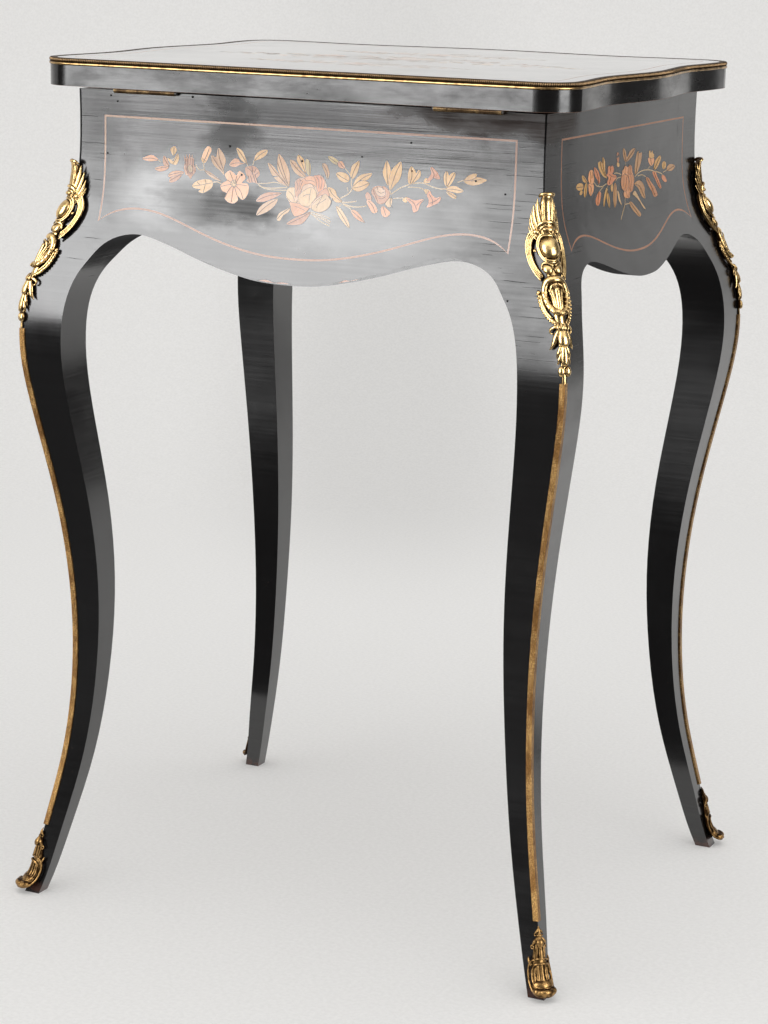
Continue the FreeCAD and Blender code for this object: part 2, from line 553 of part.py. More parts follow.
def string_outline(along, spread):
    """The stringing's frame on an apron and its posts, grown or shrunk by spread."""
    kind = "long" if along is LONG else "short"
    side = half_span(along) - size(f"{kind}_string_inset") + spread
    top = size("carcass_top") - size("string_top_drop") + spread
    peak, rise, low = arch_sizes(along)
    base = low + size("string_margin") - spread
    right = [(out * peak, base + up * rise) for out, up in STRING_SHARES]
    right.append((side, base + STRING_END_SHARE * rise))
    left = [(-out, up) for out, up in reversed(right[1:])]
    points = [at(along, out, up) for out, up in left + right]
    corners = [points[-1], at(along, side, top), at(along, -side, top), points[0]]
    edges = [spline(points).toShape()]
    edges += [Part.LineSegment(p, q).toShape() for p, q in zip(corners, corners[1:])]
    return face_of(edges)


def leaf(root, tip, width, along, across):
    """A leaf: two arcs from root to tip, fuller near the root."""
    run = tip - root
    side = run.cross(along.cross(across)).normalize() * (width / 2)
    belly = root + run * LEAF_BELLY_SHARE
    return face_of([Part.Arc(root, belly + side, tip).toShape(), Part.Arc(tip, belly - side, root).toShape()])


def flower(middle, radius, petals, along, across):
    """A rosette: one closed curve that swells at each petal."""
    points = []
    for k in range(2 * petals):
        turn = math.pi * k / petals
        reach = radius * (1 + PETAL_SHARE * (1 if k % 2 else -1))
        points.append(middle + along * (reach * math.cos(turn)) + across * (reach * math.sin(turn)))
    curve = Part.BSplineCurve()
    curve.interpolate(Points=points, PeriodicFlag=True)
    return face_of([curve.toShape()])


def spray(leaves, flowers, unit, centre, along, across):
    """The faces of one spray of flowers; where leaves and flowers meet, the flower covers."""
    def spot(u, v):
        return centre + along * (u * unit) + across * (v * unit)

    petals = [flower(spot(u, v), r * unit, n, along, across) for u, v, r, n in flowers]
    shapes = []
    taken = list(petals)
    for u1, v1, u2, v2, w in leaves:
        blade = leaf(spot(u1, v1), spot(u2, v2), w * unit, along, across)
        near = [t for t in taken if t.BoundBox.intersect(blade.BoundBox)]
        if near:
            blade = blade.cut(Part.makeCompound(near))
        shapes += [f for f in blade.Faces if f.Area > (size("inlay_depth") ** 2)]
        taken.append(leaf(spot(u1, v1), spot(u2, v2), w * unit, along, across))
    return petals + shapes


def skin(along, outside):
    """A layer of a bowed face, from outside it to the depth of the inlays."""
    across = SHORT if along is LONG else LONG
    reach = half_span(along) + size("knee_projection") + size("overrun")
    section = band(across, 1, -outside, size("inlay_depth"))
    return section.translated(along * -reach).extrude(along * (2 * reach))


SKINS = {"long": skin(LONG, 0.0), "short": skin(SHORT, 0.0)}
POCKET_SKINS = {"long": skin(LONG, size("overrun")), "short": skin(SHORT, size("overrun"))}


def pressed(name, faces, along, skins):
    """Push flat faces through a layer of the bowed face and keep what lies in it."""
    across = SHORT if along is LONG else LONG
    layer = skins["long" if along is LONG else "short"]
    travel = across * (size("knee_projection") + 3 * size("overrun"))
    solids = []
    for face in faces:
        start = face.translated(across * (half_span(across) - size("overrun")))
        solids += start.extrude(travel).common(layer).Solids
    return shaped(name, Part.makeCompound(solids))


def merged(faces):
    """One set of separate faces that covers what the given ones cover."""
    return faces[0].multiFuse(faces[1:]).removeSplitter().Faces


def string_faces(along):
    spread = size("string_width") / 2
    return string_outline(along, spread).cut(string_outline(along, -spread)).Faces


SPRAY_Z = size("carcass_top") - size("spray_line_drop")
long_faces = spray(LONG_LEAF_SHARES, LONG_FLOWER_SHARES, size("spray_unit"), UP * SPRAY_Z, LONG, UP)
short_faces = spray(SHORT_LEAF_SHARES, SHORT_FLOWER_SHARES, size("spray_unit"), UP * SPRAY_Z, SHORT, UP)
stringing_back = pressed("stringing_back", string_faces(LONG), LONG, SKINS)
stringing_right = pressed("stringing_right", string_faces(SHORT), SHORT, SKINS)
marquetry_back = pressed("marquetry_back", long_faces, LONG, SKINS)
marquetry_right = pressed("marquetry_right", short_faces, SHORT, SKINS)
string_bed_long = pressed("StringBedLong", string_faces(LONG), LONG, POCKET_SKINS)
string_bed_short = pressed("StringBedShort", string_faces(SHORT), SHORT, POCKET_SKINS)
spray_bed_long = pressed("SprayBedLong", merged(long_faces), LONG, POCKET_SKINS)
spray_bed_short = pressed("SprayBedShort", merged(short_faces), SHORT, POCKET_SKINS)
stringing_front = mirror("stringing_front", stringing_back, SHORT)
stringing_left = mirror("stringing_left", stringing_right, LONG)
marquetry_front = mirror("marquetry_front", marquetry_back, SHORT)
marquetry_left = mirror("marquetry_left", marquetry_right, LONG)

leg_back_right = cut("leg_back_right", leg_mortised, group("StringBeds", [string_bed_long, string_bed_short]))
leg_back_left = mirror("leg_back_left", leg_back_right, LONG)
leg_front_right = mirror("leg_front_right", leg_back_right, SHORT)
leg_front_left = mirror("leg_front_left", leg_back_left, SHORT)

apron_back = cut("apron_back", long_blank, group("LongBeds", [string_bed_long, spray_bed_long]))
apron_right = cut("apron_right", short_blank, group("ShortBeds", [string_bed_short, spray_bed_short]))
apron_left = mirror("apron_left", apron_right, LONG)
apron_front_plain = mirror("ApronFrontPlain", apron_back, SHORT)


# Well: ledges glued inside the aprons, the bottom panel on them, linings and partitions

def ledge(name, along, blank):
    """A strip in the corner between an apron and the bottom panel, planed to the apron."""
    run = "lining_run_x" if along is LONG else "lining_run_y"
    inner = "apron_inner_y" if along is LONG else "apron_inner_x"
    inside = f"Layout.{inner} - Sizes.ledge_width / 2"
    outside = f"Layout.{inner} + Sizes.ledge_width"
    ends = (f"-Layout.{run}", f"Layout.{run}")
    if along is LONG:
        strip = board(f"{name}Strip", (ends[0], inside, "Layout.ledge_foot"), (ends[1], outside, "Layout.bottom_underside"))
    else:
        strip = board(f"{name}Strip", (inside, ends[0], "Layout.ledge_foot"), (outside, ends[1], "Layout.bottom_underside"))
    return cut(name, strip, blank)


ledge_back = ledge("LedgeBack", LONG, long_blank)
ledge_right = ledge("LedgeRight", SHORT, short_blank)
bottom_ledges = group("bottom_ledges", [
    ledge_back,
    mirror("LedgeFront", ledge_back, SHORT),
    ledge_right,
    mirror("LedgeLeft", ledge_right, LONG),
])


def body_on(label, role, offset):
    """A body with one sketch on an origin plane, lifted by an expression along its normal."""
    body = doc.addObject("PartDesign::Body", label)
    sketch = body.newObject("Sketcher::SketchObject", f"{label}Sketch")
    sketch.AttachmentSupport = [(next(o for o in body.Origin.OriginFeatures if o.Role == role), "")]
    sketch.MapMode = "FlatFace"
    sketch.setExpression("AttachmentOffset.Base.z", offset)
    return body, sketch


def pad(body, sketch, length):
    feature = body.newObject("PartDesign::Pad", f"{body.Name}Pad")
    feature.Profile = sketch
    feature.setExpression("Length", length)
    return feature


def outline_by_expression(sketch, corners):
    """Straight edges through corners whose places are expressions, each held by constraints."""
    spots = [Vector(index, index * index, 0) for index, _ in enumerate(corners)]
    count = len(corners)
    for index in range(count):
        sketch.addGeometry(Part.LineSegment(spots[index], spots[(index + 1) % count]))
    for index in range(count):
        following = (index + 1) % count
        sketch.addConstraint(Sketcher.Constraint("Coincident", index, 2, following, 1))
    for index, (across, up) in enumerate(corners):
        for kind, place in (("DistanceX", across), ("DistanceY", up)):
            spot = spots[index].x if kind == "DistanceX" else spots[index].y
            number = sketch.addConstraint(Sketcher.Constraint(kind, -1, 1, index, 1, spot))
            sketch.setExpression(f"Constraints[{number}]", place)


PANEL_CORNER = [
    ("Layout.lining_outer_x", "Layout.lining_run_y"),
    ("Layout.lining_run_x", "Layout.lining_run_y"),
    ("Layout.lining_run_x", "Layout.lining_outer_y"),
]


def signed(corner, side_x, side_y):
    return tuple(f"{'-' if side < 0 else ''}{text}" for side, text in zip((side_x, side_y), corner))


well_bottom, bottom_sketch = body_on("well_bottom", "XY_Plane", "Layout.bottom_underside")
cross = [signed(c, 1, 1) for c in PANEL_CORNER] + [signed(c, -1, 1) for c in reversed(PANEL_CORNER)]
cross += [signed(c, -1, -1) for c in PANEL_CORNER] + [signed(c, 1, -1) for c in reversed(PANEL_CORNER)]
outline_by_expression(bottom_sketch, cross)
pad(well_bottom, bottom_sketch, "Sizes.bottom_thickness")

FLOOR = "Layout.well_floor"
HALF_PARTITION = "Sizes.partition_thickness / 2"
GROOVE_SIDE = f"({HALF_PARTITION} + Sizes.joint_fit)"
GROOVE_TOP = "(Layout.partition_top + Sizes.joint_fit)"
lining_back_board = board(
    "LiningBackBoard",
    ("-Layout.lining_run_x", "Layout.lining_inner_y", FLOOR),
    ("Layout.lining_run_x", "Layout.lining_outer_y", "Layout.lining_top"),
)
long_grooves = fuse("LongGrooves", [
    board(
        f"LongGroove{name}",
        (f"{side} * Sizes.partition_offset - {GROOVE_SIDE}", "Layout.lining_inner_y - Sizes.groove_depth", FLOOR),
        (f"{side} * Sizes.partition_offset + {GROOVE_SIDE}", "Layout.lining_inner_y + Sizes.groove_depth", GROOVE_TOP),
    )
    for name, side in SIDES
])
well_lining_back = cut("well_lining_back", lining_back_board, long_grooves)
well_lining_front = mirror("well_lining_front", well_lining_back, SHORT)
lining_right_board = board(
    "LiningRightBoard",
    ("Layout.lining_inner_x", "-Layout.lining_run_y", FLOOR),
    ("Layout.lining_outer_x", "Layout.lining_run_y", "Layout.lining_top"),
)
side_groove = board(
    "SideGroove",
    ("Layout.lining_inner_x - Sizes.groove_depth", f"-{GROOVE_SIDE}", FLOOR),
    ("Layout.lining_inner_x + Sizes.groove_depth", GROOVE_SIDE, GROOVE_TOP),
)
well_lining_right = cut("well_lining_right", lining_right_board, side_groove)
well_lining_left = mirror("well_lining_left", well_lining_right, LONG)

HOUSED = "(Sizes.groove_depth - Sizes.joint_fit)"
partition_board = board(
    "PartitionBoard",
    (f"Sizes.partition_offset - {HALF_PARTITION}", f"-Layout.lining_inner_y - {HOUSED}", FLOOR),
    ("Layout.partition_side", f"Layout.lining_inner_y + {HOUSED}", "Layout.partition_top"),
)
partition_groove = board(
    "PartitionGroove",
    ("Layout.partition_side - Sizes.groove_depth", f"-{GROOVE_SIDE}", FLOOR),
    ("Layout.partition_side + Sizes.groove_depth", GROOVE_SIDE, "Layout.partition_top + Sizes.overrun"),
)
well_partition_right = cut("well_partition_right", partition_board, partition_groove)
well_partition_left = mirror("well_partition_left", well_partition_right, LONG)
well_divider_right = board(
    "well_divider_right",
    (f"Layout.partition_side - {HOUSED}", f"-{HALF_PARTITION}", FLOOR),
    (f"Layout.lining_inner_x + {HOUSED}", HALF_PARTITION, "Layout.partition_top"),
)
well_divider_left = mirror("well_divider_left", well_divider_right, LONG)


# Lid: one outline, drawn in from its edge as each piece needs

def lid_wire(inset, height):
    """The lid's outline at a height: straight behind, serpentine at the ends and the front."""
    radius = size("lid_corner_radius") - inset
    side = size("half_length") + size("lid_side_overhang") - inset
    back = size("half_depth") + size("lid_back_overhang") - inset
    front = -size("half_depth") - size("lid_front_overhang") + inset
    back_y = back - radius
    front_y = front + radius
    run_x = side - radius
    dip_y = SIDE_DIP_SHARE * (back_y - front_y) / 2
    middle_y = (back_y + front_y) / 2
    dip_x = FRONT_DIP_SHARE * run_x

    def end_points(sign):
        outs = [(side, back_y), (side - size("side_dip"), middle_y + dip_y), (side + size("side_swell"), middle_y)]
        outs += [(side - size("side_dip"), middle_y - dip_y), (side, front_y)]
        return [Vector(sign * x, y, height) for x, y in outs]

    def corner(sign, y, centre_y, up):
        slant = radius * DIAGONAL
        first = Vector(sign * side, centre_y, height)
        middle = Vector(sign * (run_x + slant), centre_y + up * slant, height)
        return Part.Arc(first, middle, Vector(sign * run_x, y, height)).toShape()

    dips = front + size("front_dip")
    fronts = [(run_x, front), (dip_x, dips), (0.0, front - size("front_swell")), (-dip_x, dips), (-run_x, front)]
    right = spline(end_points(1), (Vector(0, -1, 0), Vector(0, -1, 0))).toShape()
    left = spline(end_points(-1), (Vector(0, -1, 0), Vector(0, -1, 0))).toShape()
    fore = spline([Vector(x, y, height) for x, y in fronts], (Vector(-1, 0, 0), Vector(-1, 0, 0))).toShape()
    rear = Part.LineSegment(Vector(-run_x, back, height), Vector(run_x, back, height)).toShape()
    return Part.Wire([
        rear, corner(1, back, back_y, 1), right, corner(1, front, front_y, -1),
        fore, corner(-1, front, front_y, -1), left, corner(-1, back, back_y, 1),
    ])


def lid_slab(inset, low, high):
    return Part.Face(lid_wire(inset, low)).extrude(UP * (high - low))


def moulding():
    """The gilt moulding: its rounded section carried round the lid's edge."""
    low, high = size("moulding_seat"), size("table_height")
    soft = size("moulding_round")
    edge = size("half_depth") + size("lid_back_overhang")
    inner = edge - size("moulding_width")
    slant = soft * (1 - DIAGONAL)
    corners = [Vector(0, inner, low), Vector(0, edge, low), Vector(0, edge, high - soft)]
    shoulder, crown = Vector(0, edge - soft, high), Vector(0, inner, high)
    section = [Part.LineSegment(p, q).toShape() for p, q in zip(corners, corners[1:])]
    section.append(Part.Arc(corners[2], Vector(0, edge - slant, high - slant), shoulder).toShape())
    section.append(Part.LineSegment(shoulder, crown).toShape())
    section.append(Part.LineSegment(crown, corners[0]).toShape())
    outline = lid_wire(0.0, low)
    start = Vector(0, edge, low)
    ends = sorted((v.Point for v in outline.Edges[0].Vertexes), key=lambda point: point.x)
    first = Part.LineSegment(start, ends[1]).toShape()
    last = Part.LineSegment(ends[0], start).toShape()
    path = Part.Wire([first] + outline.Edges[1:] + [last])
    return path.makePipeShell([Part.Wire(section)], True, False)


def flat_inlays(name, faces, low, high):
    return shaped(name, Part.makeCompound([f.translated(UP * low).extrude(UP * (high - low)) for f in faces]))


lid_moulding = shaped("lid_moulding", moulding())
lid_slabs = [
    lid_slab(size("moulding_projection"), size("lid_underside"), size("moulding_seat")),
    lid_slab(size("moulding_width") / 2, size("moulding_seat"), size("lid_top")),
]
lid_core = shaped("LidCore", lid_slabs[0].fuse(lid_slabs[1].cut(lid_moulding.Shape)).removeSplitter())

inlay_floor = size("lid_top") - size("inlay_depth")
half_string = size("string_width") / 2
string_out = lid_wire(size("lid_string_inset") - half_string, 0.0)
string_in = lid_wire(size("lid_string_inset") + half_string, 0.0)
lid_string_faces = Part.Face(string_out).cut(Part.Face(string_in)).Faces
lid_spray_faces = spray(LONG_LEAF_SHARES, LONG_FLOWER_SHARES, size("lid_spray_unit"), Vector(), LONG, SHORT)
for side in (-1, 1):
    middle = SHORT * (side * size("lid_side_spray_offset"))
    unit = size("lid_side_spray_unit")
    lid_spray_faces += spray(SHORT_LEAF_SHARES, SHORT_FLOWER_SHARES, unit, middle, LONG * side, SHORT * side)
lid_stringing = flat_inlays("lid_stringing", lid_string_faces, inlay_floor, size("lid_top"))
lid_marquetry = flat_inlays("lid_marquetry", lid_spray_faces, inlay_floor, size("lid_top"))
lid_beds = flat_inlays("LidBeds", lid_string_faces + lid_spray_faces, inlay_floor, size("lid_top") + size("overrun"))


# Mirror under the lid, held by a rebated moulding

HALF_FRAME_X = "Sizes.mirror_frame_length / 2"
HALF_FRAME_Y = "Sizes.mirror_frame_depth / 2"
GLASS_TOP = "Layout.lid_underside"
GLASS_FOOT = "Layout.lid_underside - Sizes.mirror_thickness"


def centred(name, half_x, half_y, low, high):
    return board(name, (f"-({half_x})", f"-({half_y})", low), (half_x, half_y, high))


frame_outer = centred("FrameOuter", HALF_FRAME_X, HALF_FRAME_Y, f"{GLASS_TOP} - Sizes.mirror_frame_height", GLASS_TOP)
frame_sight = centred(
    "FrameSight",
    f"{HALF_FRAME_X} - Sizes.mirror_frame_width",
    f"{HALF_FRAME_Y} - Sizes.mirror_frame_width",
    f"{GLASS_TOP} - Sizes.mirror_frame_height - Sizes.overrun",
    f"{GLASS_TOP} + Sizes.overrun",
)
frame_rebate = centred(
    "FrameRebate",
    f"{HALF_FRAME_X} - Sizes.mirror_frame_width + Sizes.mirror_rebate",
    f"{HALF_FRAME_Y} - Sizes.mirror_frame_width + Sizes.mirror_rebate",
    f"{GLASS_FOOT} - Sizes.mirror_fit",
    f"{GLASS_TOP} + Sizes.overrun",
)
mirror_frame = cut("mirror_frame", frame_outer, fuse("FrameOpening", [frame_sight, frame_rebate]))
mirror_glass = centred(
    "mirror_glass",
    f"{HALF_FRAME_X} - Sizes.mirror_frame_width + Sizes.mirror_rebate - Sizes.mirror_fit",
    f"{HALF_FRAME_Y} - Sizes.mirror_frame_width + Sizes.mirror_rebate - Sizes.mirror_fit",
    GLASS_FOOT,
    GLASS_TOP,
)


# Screws and hinges

def screw(name, place, plate, up, room="0"):
    """A countersunk wood screw that holds a plate, or with some room the hole for it."""
    head = doc.addObject("Part::Cone", f"{name}Head")
    narrow, wide = f"Sizes.screw_radius + {room}", f"Sizes.screw_head_radius + {room}"
    head.setExpression("Radius1", wide if up else narrow)
    head.setExpression("Radius2", narrow if up else wide)
    head.setExpression("Height", plate)
    x, y, surface = place
    for letter, start in zip("xyz", (x, y, surface if up else f"{surface} - {plate}")):
        head.setExpression(f"Placement.Base.{letter}", start)
    length = f"Sizes.screw_length + {room}"
    foot = f"{surface} + {plate}" if up else f"{surface} - {plate} - ({length})"
    shank = rod(f"{name}Shank", narrow, length, (x, y, foot), UP)
    return fuse(name, [head, shank])


LEAF = "Sizes.hinge_leaf_thickness"
LEAF_Z = {"carcass": ("Layout.carcass_top", f"Layout.carcass_top + {LEAF}"),
          "lid": (f"Layout.lid_underside - {LEAF}", "Layout.lid_underside")}
PITCH = f"Sizes.hinge_length / {KNUCKLES}"


def hinge_leaf(side_name, side, kind):
    """One leaf with its own knuckles: the carcass leaf has the outer and middle ones."""
    name = f"hinge_{side_name}_{kind}_leaf"
    middle = f"{side} * Sizes.hinge_offset"
    low, high = LEAF_Z[kind]
    pieces = [board(
        f"{name}_plate",
        (f"{middle} - Sizes.hinge_length / 2", "Layout.leaf_inner_y", low),
        (f"{middle} + Sizes.hinge_length / 2", "Layout.leaf_outer_y", high),
    )]
    for k in range(0 if kind == "carcass" else 1, KNUCKLES, 2):
        start = f"{middle} - Sizes.hinge_length / 2 + {k} * {PITCH} + Sizes.knuckle_gap / 2"
        end = f"{middle} - Sizes.hinge_length / 2 + {k + 1} * {PITCH} - Sizes.knuckle_gap / 2"
        pieces.append(board(f"{name}_tongue{k}", (start, "Layout.leaf_outer_y", low), (end, "Layout.hinge_y", high)))
        place = (start, "Layout.hinge_y", "Layout.hinge_z")
        pieces.append(rod(f"{name}_knuckle{k}", "Sizes.knuckle_radius", f"{PITCH} - Sizes.knuckle_gap", place, LONG))
    bore = rod(
        f"{name}_bore", "Sizes.hinge_pin_radius + Sizes.pin_fit", "Sizes.hinge_length + 2 * Sizes.overrun",
        (f"{middle} - Sizes.hinge_length / 2 - Sizes.overrun", "Layout.hinge_y", "Layout.hinge_z"), LONG,
    )
    holes = [bore] + hinge_screws(f"{name}_hole", side, kind, "Sizes.screw_fit")
    return cut(name, fuse(f"{name}_solid", pieces), fuse(f"{name}_holes", holes))


def hinge_screws(name, side, kind, room="0"):
    surface = LEAF_Z["carcass"][1] if kind == "carcass" else LEAF_Z["lid"][0]
    screws = []
    for k in (-1, 0, 1):
        x = f"{side} * Sizes.hinge_offset + {k} * Sizes.hinge_screw_spread"
        screws.append(screw(f"{name}{k + 1}", (x, "Layout.screw_y", surface), LEAF, kind == "lid", room))
    return screws


def hinge_pin(side_name, side):
    start = f"{side} * Sizes.hinge_offset - Sizes.hinge_length / 2"
    name = f"hinge_{side_name}_pin"
    place = ("Layout.hinge_y", "Layout.hinge_z")
    stem = rod(f"{name}_stem", "Sizes.hinge_pin_radius", "Sizes.hinge_length", (start,) + place, LONG)
    ends = [
        rod(f"{name}_head", "Sizes.pin_head_radius", "Sizes.pin_head_length", (f"{start} - Sizes.pin_head_length",) + place, LONG),
        rod(f"{name}_tail", "Sizes.pin_head_radius", "Sizes.pin_head_length", (f"{start} + Sizes.hinge_length",) + place, LONG),
    ]
    return fuse(name, [stem] + ends)


hinge_pieces = []
carcass_holes = []
lid_holes = []
carcass_screws = []
lid_screws = []
for side_name, side in SIDES:
    hinge_pieces.append(hinge_leaf(side_name, side, "carcass"))
    hinge_pieces.append(hinge_leaf(side_name, side, "lid"))
    hinge_pieces.append(hinge_pin(side_name, side))
    carcass_screws += hinge_screws(f"carcass_screw_{side_name}", side, "carcass")
    lid_screws += hinge_screws(f"lid_screw_{side_name}", side, "lid")
    carcass_holes += hinge_screws(f"carcass_hole_{side_name}", side, "carcass", "Sizes.screw_fit")
    lid_holes += hinge_screws(f"lid_hole_{side_name}", side, "lid", "Sizes.screw_fit")
carcass_hinge_screws = group("carcass_hinge_screws", carcass_screws)
lid_hinge_screws = group("lid_hinge_screws", lid_screws)
apron_back_drilled = cut("apron_back_drilled", apron_back, fuse("CarcassHoles", carcass_holes))


# Lock in the front apron

def across_middle(name, half_x, low_y, high_y, low, high):
    return board(name, (f"-({half_x})", low_y, low), (half_x, high_y, high))


def keyhole(name, stem_room, start, length):
    """The hole for the key's stem, with a slot below for its bit."""
    stem = rod(f"{name}Round", f"Sizes.key_stem_radius + {stem_room}", length, ("0", start, "Layout.key_z"), SHORT)
    slot = across_middle(
        f"{name}Slot", "Sizes.key_bit_thickness / 2 + Sizes.key_hole_room", start, f"{start} + {length}",
        "Layout.key_z - Sizes.key_bit_reach - Sizes.key_hole_room", "Layout.key_z",
    )
    return fuse(name, [stem, slot])


def lock_outside(name, room, inside, above):
    """The lock's case and top plate together, or with some room the mortise for them."""
    case = across_middle(
        f"{name}Case", f"Sizes.lock_case_length / 2 + {room}", f"Layout.lock_outer_y - {room}",
        f"Layout.lock_inner_y + {inside}", f"Layout.lock_foot - {room}", f"Layout.carcass_top + {above}",
    )
    plate = across_middle(
        f"{name}Plate", f"Sizes.selvedge_length / 2 + {room}", f"Layout.lock_inner_y - Sizes.selvedge_width - {room}",
        f"Layout.lock_inner_y + {inside}", "Layout.selvedge_underside", f"Layout.carcass_top + {above}",
    )
    return fuse(name, [case, plate])


LOCK_SCREW_X = "(Sizes.selvedge_length / 2 - Sizes.lock_screw_inset)"
STRIKE_SCREW_X = "(Sizes.strike_length / 2 - Sizes.lock_screw_inset)"
SELVEDGE_MIDDLE = "Layout.lock_inner_y - Sizes.selvedge_width / 2"
TOP = "Layout.carcass_top"


def lock_plate_screws(name, offset, y, surface, plate, up, room="0"):
    return [screw(f"{name}_{side_name}", (f"{side} * {offset}", y, surface), plate, up, room) for side_name, side in SIDES]


lock_cavity = across_middle(
    "LockCavity", "Sizes.lock_case_length / 2 - Sizes.lock_wall", "Layout.lock_outer_y + Sizes.lock_wall",
    "Layout.lock_inner_y - Sizes.lock_wall", "Layout.lock_foot + Sizes.lock_wall", "Layout.selvedge_underside",
)
HALF_LOOP = "Sizes.loop_thickness / 2"
loop_slots = [
    board(
        f"LoopSlot{side_name}",
        (f"{side} * Sizes.loop_offset - {HALF_LOOP} - Sizes.loop_room", "Layout.loop_outer_y - Sizes.loop_room", "Layout.selvedge_underside - Sizes.lock_wall"),
        (f"{side} * Sizes.loop_offset + {HALF_LOOP} + Sizes.loop_room", "Layout.loop_inner_y + Sizes.loop_room", f"{TOP} + Sizes.overrun"),
    )
    for side_name, side in SIDES
]
lock_screw_holes = lock_plate_screws(
    "lock_hole", LOCK_SCREW_X, SELVEDGE_MIDDLE, TOP, "Sizes.selvedge_thickness", False, "Sizes.screw_fit")
case_keyhole = keyhole("CaseKeyhole", "Sizes.key_fit", "Layout.lock_outer_y - Sizes.lock_wall", "2 * Sizes.lock_wall")
lock_case = cut(
    "lock_case", lock_outside("LockOutside", "0", "0", "0"),
    fuse("LockHollows", [lock_cavity, case_keyhole] + loop_slots + lock_screw_holes),
)
lock_screws = group("lock_screws", lock_plate_screws(
    "lock_screw", LOCK_SCREW_X, SELVEDGE_MIDDLE, TOP, "Sizes.selvedge_thickness", False))
lock_mortise = lock_outside("LockMortise", "Sizes.lock_fit", "Sizes.overrun", "Sizes.overrun")
apron_keyhole = keyhole("ApronKeyhole", "Sizes.key_hole_room", "-Layout.half_depth - Sizes.overrun", "Sizes.overrun + Sizes.apron_thickness")
apron_front = cut("apron_front", apron_front_plain, fuse("FrontCuts", [lock_mortise, apron_keyhole] + lock_screw_holes))

BEFORE_LOOP = f"({HALF_LOOP} + Sizes.finger_gap)"
bolt_pieces = [across_middle(
    "BoltBlank", "Sizes.loop_offset", "Layout.bolt_plate_y", "Layout.bolt_plate_y + Sizes.bolt_plate_thickness",
    "Layout.bolt_plate_z", "Layout.bolt_plate_z + Sizes.bolt_plate_height",
)]
bolt_pieces[0].setExpression("Placement.Base.x", f"-Sizes.loop_offset - {BEFORE_LOOP} - Sizes.finger_length - Sizes.bolt_arm")
bolt_pieces[0].setExpression("Length", "2 * Sizes.loop_offset + Sizes.finger_length + Sizes.bolt_arm")
for side_name, side in SIDES:
    tip = f"{side} * Sizes.loop_offset - {BEFORE_LOOP}"
    tail = f"{tip} - Sizes.finger_length"
    finger_top = "Layout.finger_z + Sizes.finger_height"
    bolt_pieces.append(board(
        f"BoltFinger{side_name}", (tail, "Layout.finger_y", "Layout.finger_z"),
        (tip, "Layout.finger_y + Sizes.finger_width", finger_top),
    ))
    bolt_pieces.append(board(
        f"BoltArm{side_name}", (f"{tail} - Sizes.bolt_arm", "Layout.finger_y", "Layout.finger_z"),
        (tail, "Layout.bolt_plate_y", finger_top),
    ))
lock_bolt = fuse("lock_bolt", bolt_pieces)

RING_Y = "-Layout.half_depth - Sizes.key_bow_reach"
key_ring = doc.addObject("Part::Torus", "KeyRing")
key_ring.Placement = Placement(Vector(), Rotation(UP, LONG))
key_ring.setExpression("Radius1", "Sizes.key_bow_radius")
key_ring.setExpression("Radius2", "Sizes.key_bow_wire")
key_ring.setExpression("Placement.Base.y", RING_Y)
key_ring.setExpression("Placement.Base.z", "Layout.key_z")
key = fuse("key", [
    rod("KeyStem", "Sizes.key_stem_radius", f"Layout.key_tip_y - ({RING_Y}) - Sizes.key_bow_radius",
        ("0", f"{RING_Y} + Sizes.key_bow_radius", "Layout.key_z"), SHORT),
    rod("KeyCollar", "Sizes.key_collar_radius", "Sizes.key_collar_length",
        ("0", "Layout.escutcheon_y - Sizes.key_collar_gap - Sizes.key_collar_length", "Layout.key_z"), SHORT),
    across_middle("KeyBit", "Sizes.key_bit_thickness / 2", "Layout.key_bit_y", "Layout.key_bit_y + Sizes.key_bit_width",
                  "Layout.key_z - Sizes.key_bit_reach", "Layout.key_z"),
    key_ring,
])

ROUND = "Sizes.escutcheon_width / 2"
STRAIGHT = "(Sizes.escutcheon_height / 2 - Sizes.escutcheon_width / 2)"
escutcheon_blank = fuse("EscutcheonBlank", [
    rod("EscutcheonTop", ROUND, "Sizes.escutcheon_thickness", ("0", "Layout.escutcheon_y", f"Layout.key_z + {STRAIGHT}"), SHORT),
    rod("EscutcheonFoot", ROUND, "Sizes.escutcheon_thickness", ("0", "Layout.escutcheon_y", f"Layout.key_z - {STRAIGHT}"), SHORT),
    across_middle("EscutcheonMiddle", ROUND, "Layout.escutcheon_y", "-Layout.half_depth",
                  f"Layout.key_z - {STRAIGHT}", f"Layout.key_z + {STRAIGHT}"),
])
escutcheon_keyhole = keyhole("EscutcheonKeyhole", "Sizes.key_hole_room", "Layout.escutcheon_y - Sizes.overrun", "2 * Sizes.overrun")
escutcheon = cut("escutcheon", escutcheon_blank, escutcheon_keyhole)

strike_base = across_middle(
    "StrikeBase", "Sizes.strike_length / 2", "Layout.strike_outer_y", "Layout.strike_outer_y + Sizes.strike_width",
    "Layout.lid_underside", "Layout.lid_underside + Sizes.strike_thickness",
)
strike_loops = []
strike_windows = []
for side_name, side in SIDES:
    ends = [f"{side} * Sizes.loop_offset {sign} {HALF_LOOP}" for sign in "-+"]
    strike_loops.append(board(
        f"StrikeLoop{side_name}", (ends[0], "Layout.loop_outer_y", "Layout.loop_tip"),
        (ends[1], "Layout.loop_inner_y", "Layout.lid_underside"),
    ))
    strike_windows.append(board(
        f"StrikeWindow{side_name}",
        (f"{ends[0]} - Sizes.loop_room", "Layout.loop_outer_y + Sizes.loop_bar", "Layout.window_foot"),
        (f"{ends[1]} + Sizes.loop_room", "Layout.loop_inner_y - Sizes.loop_bar", "Layout.window_foot + Sizes.loop_window_height"),
    ))
STRIKE_PLATE = "Sizes.strike_thickness"
UNDER = "Layout.lid_underside"
strike_holes = lock_plate_screws("strike_hole", STRIKE_SCREW_X, "Layout.loop_centre_y", UNDER, STRIKE_PLATE, True, "Sizes.screw_fit")
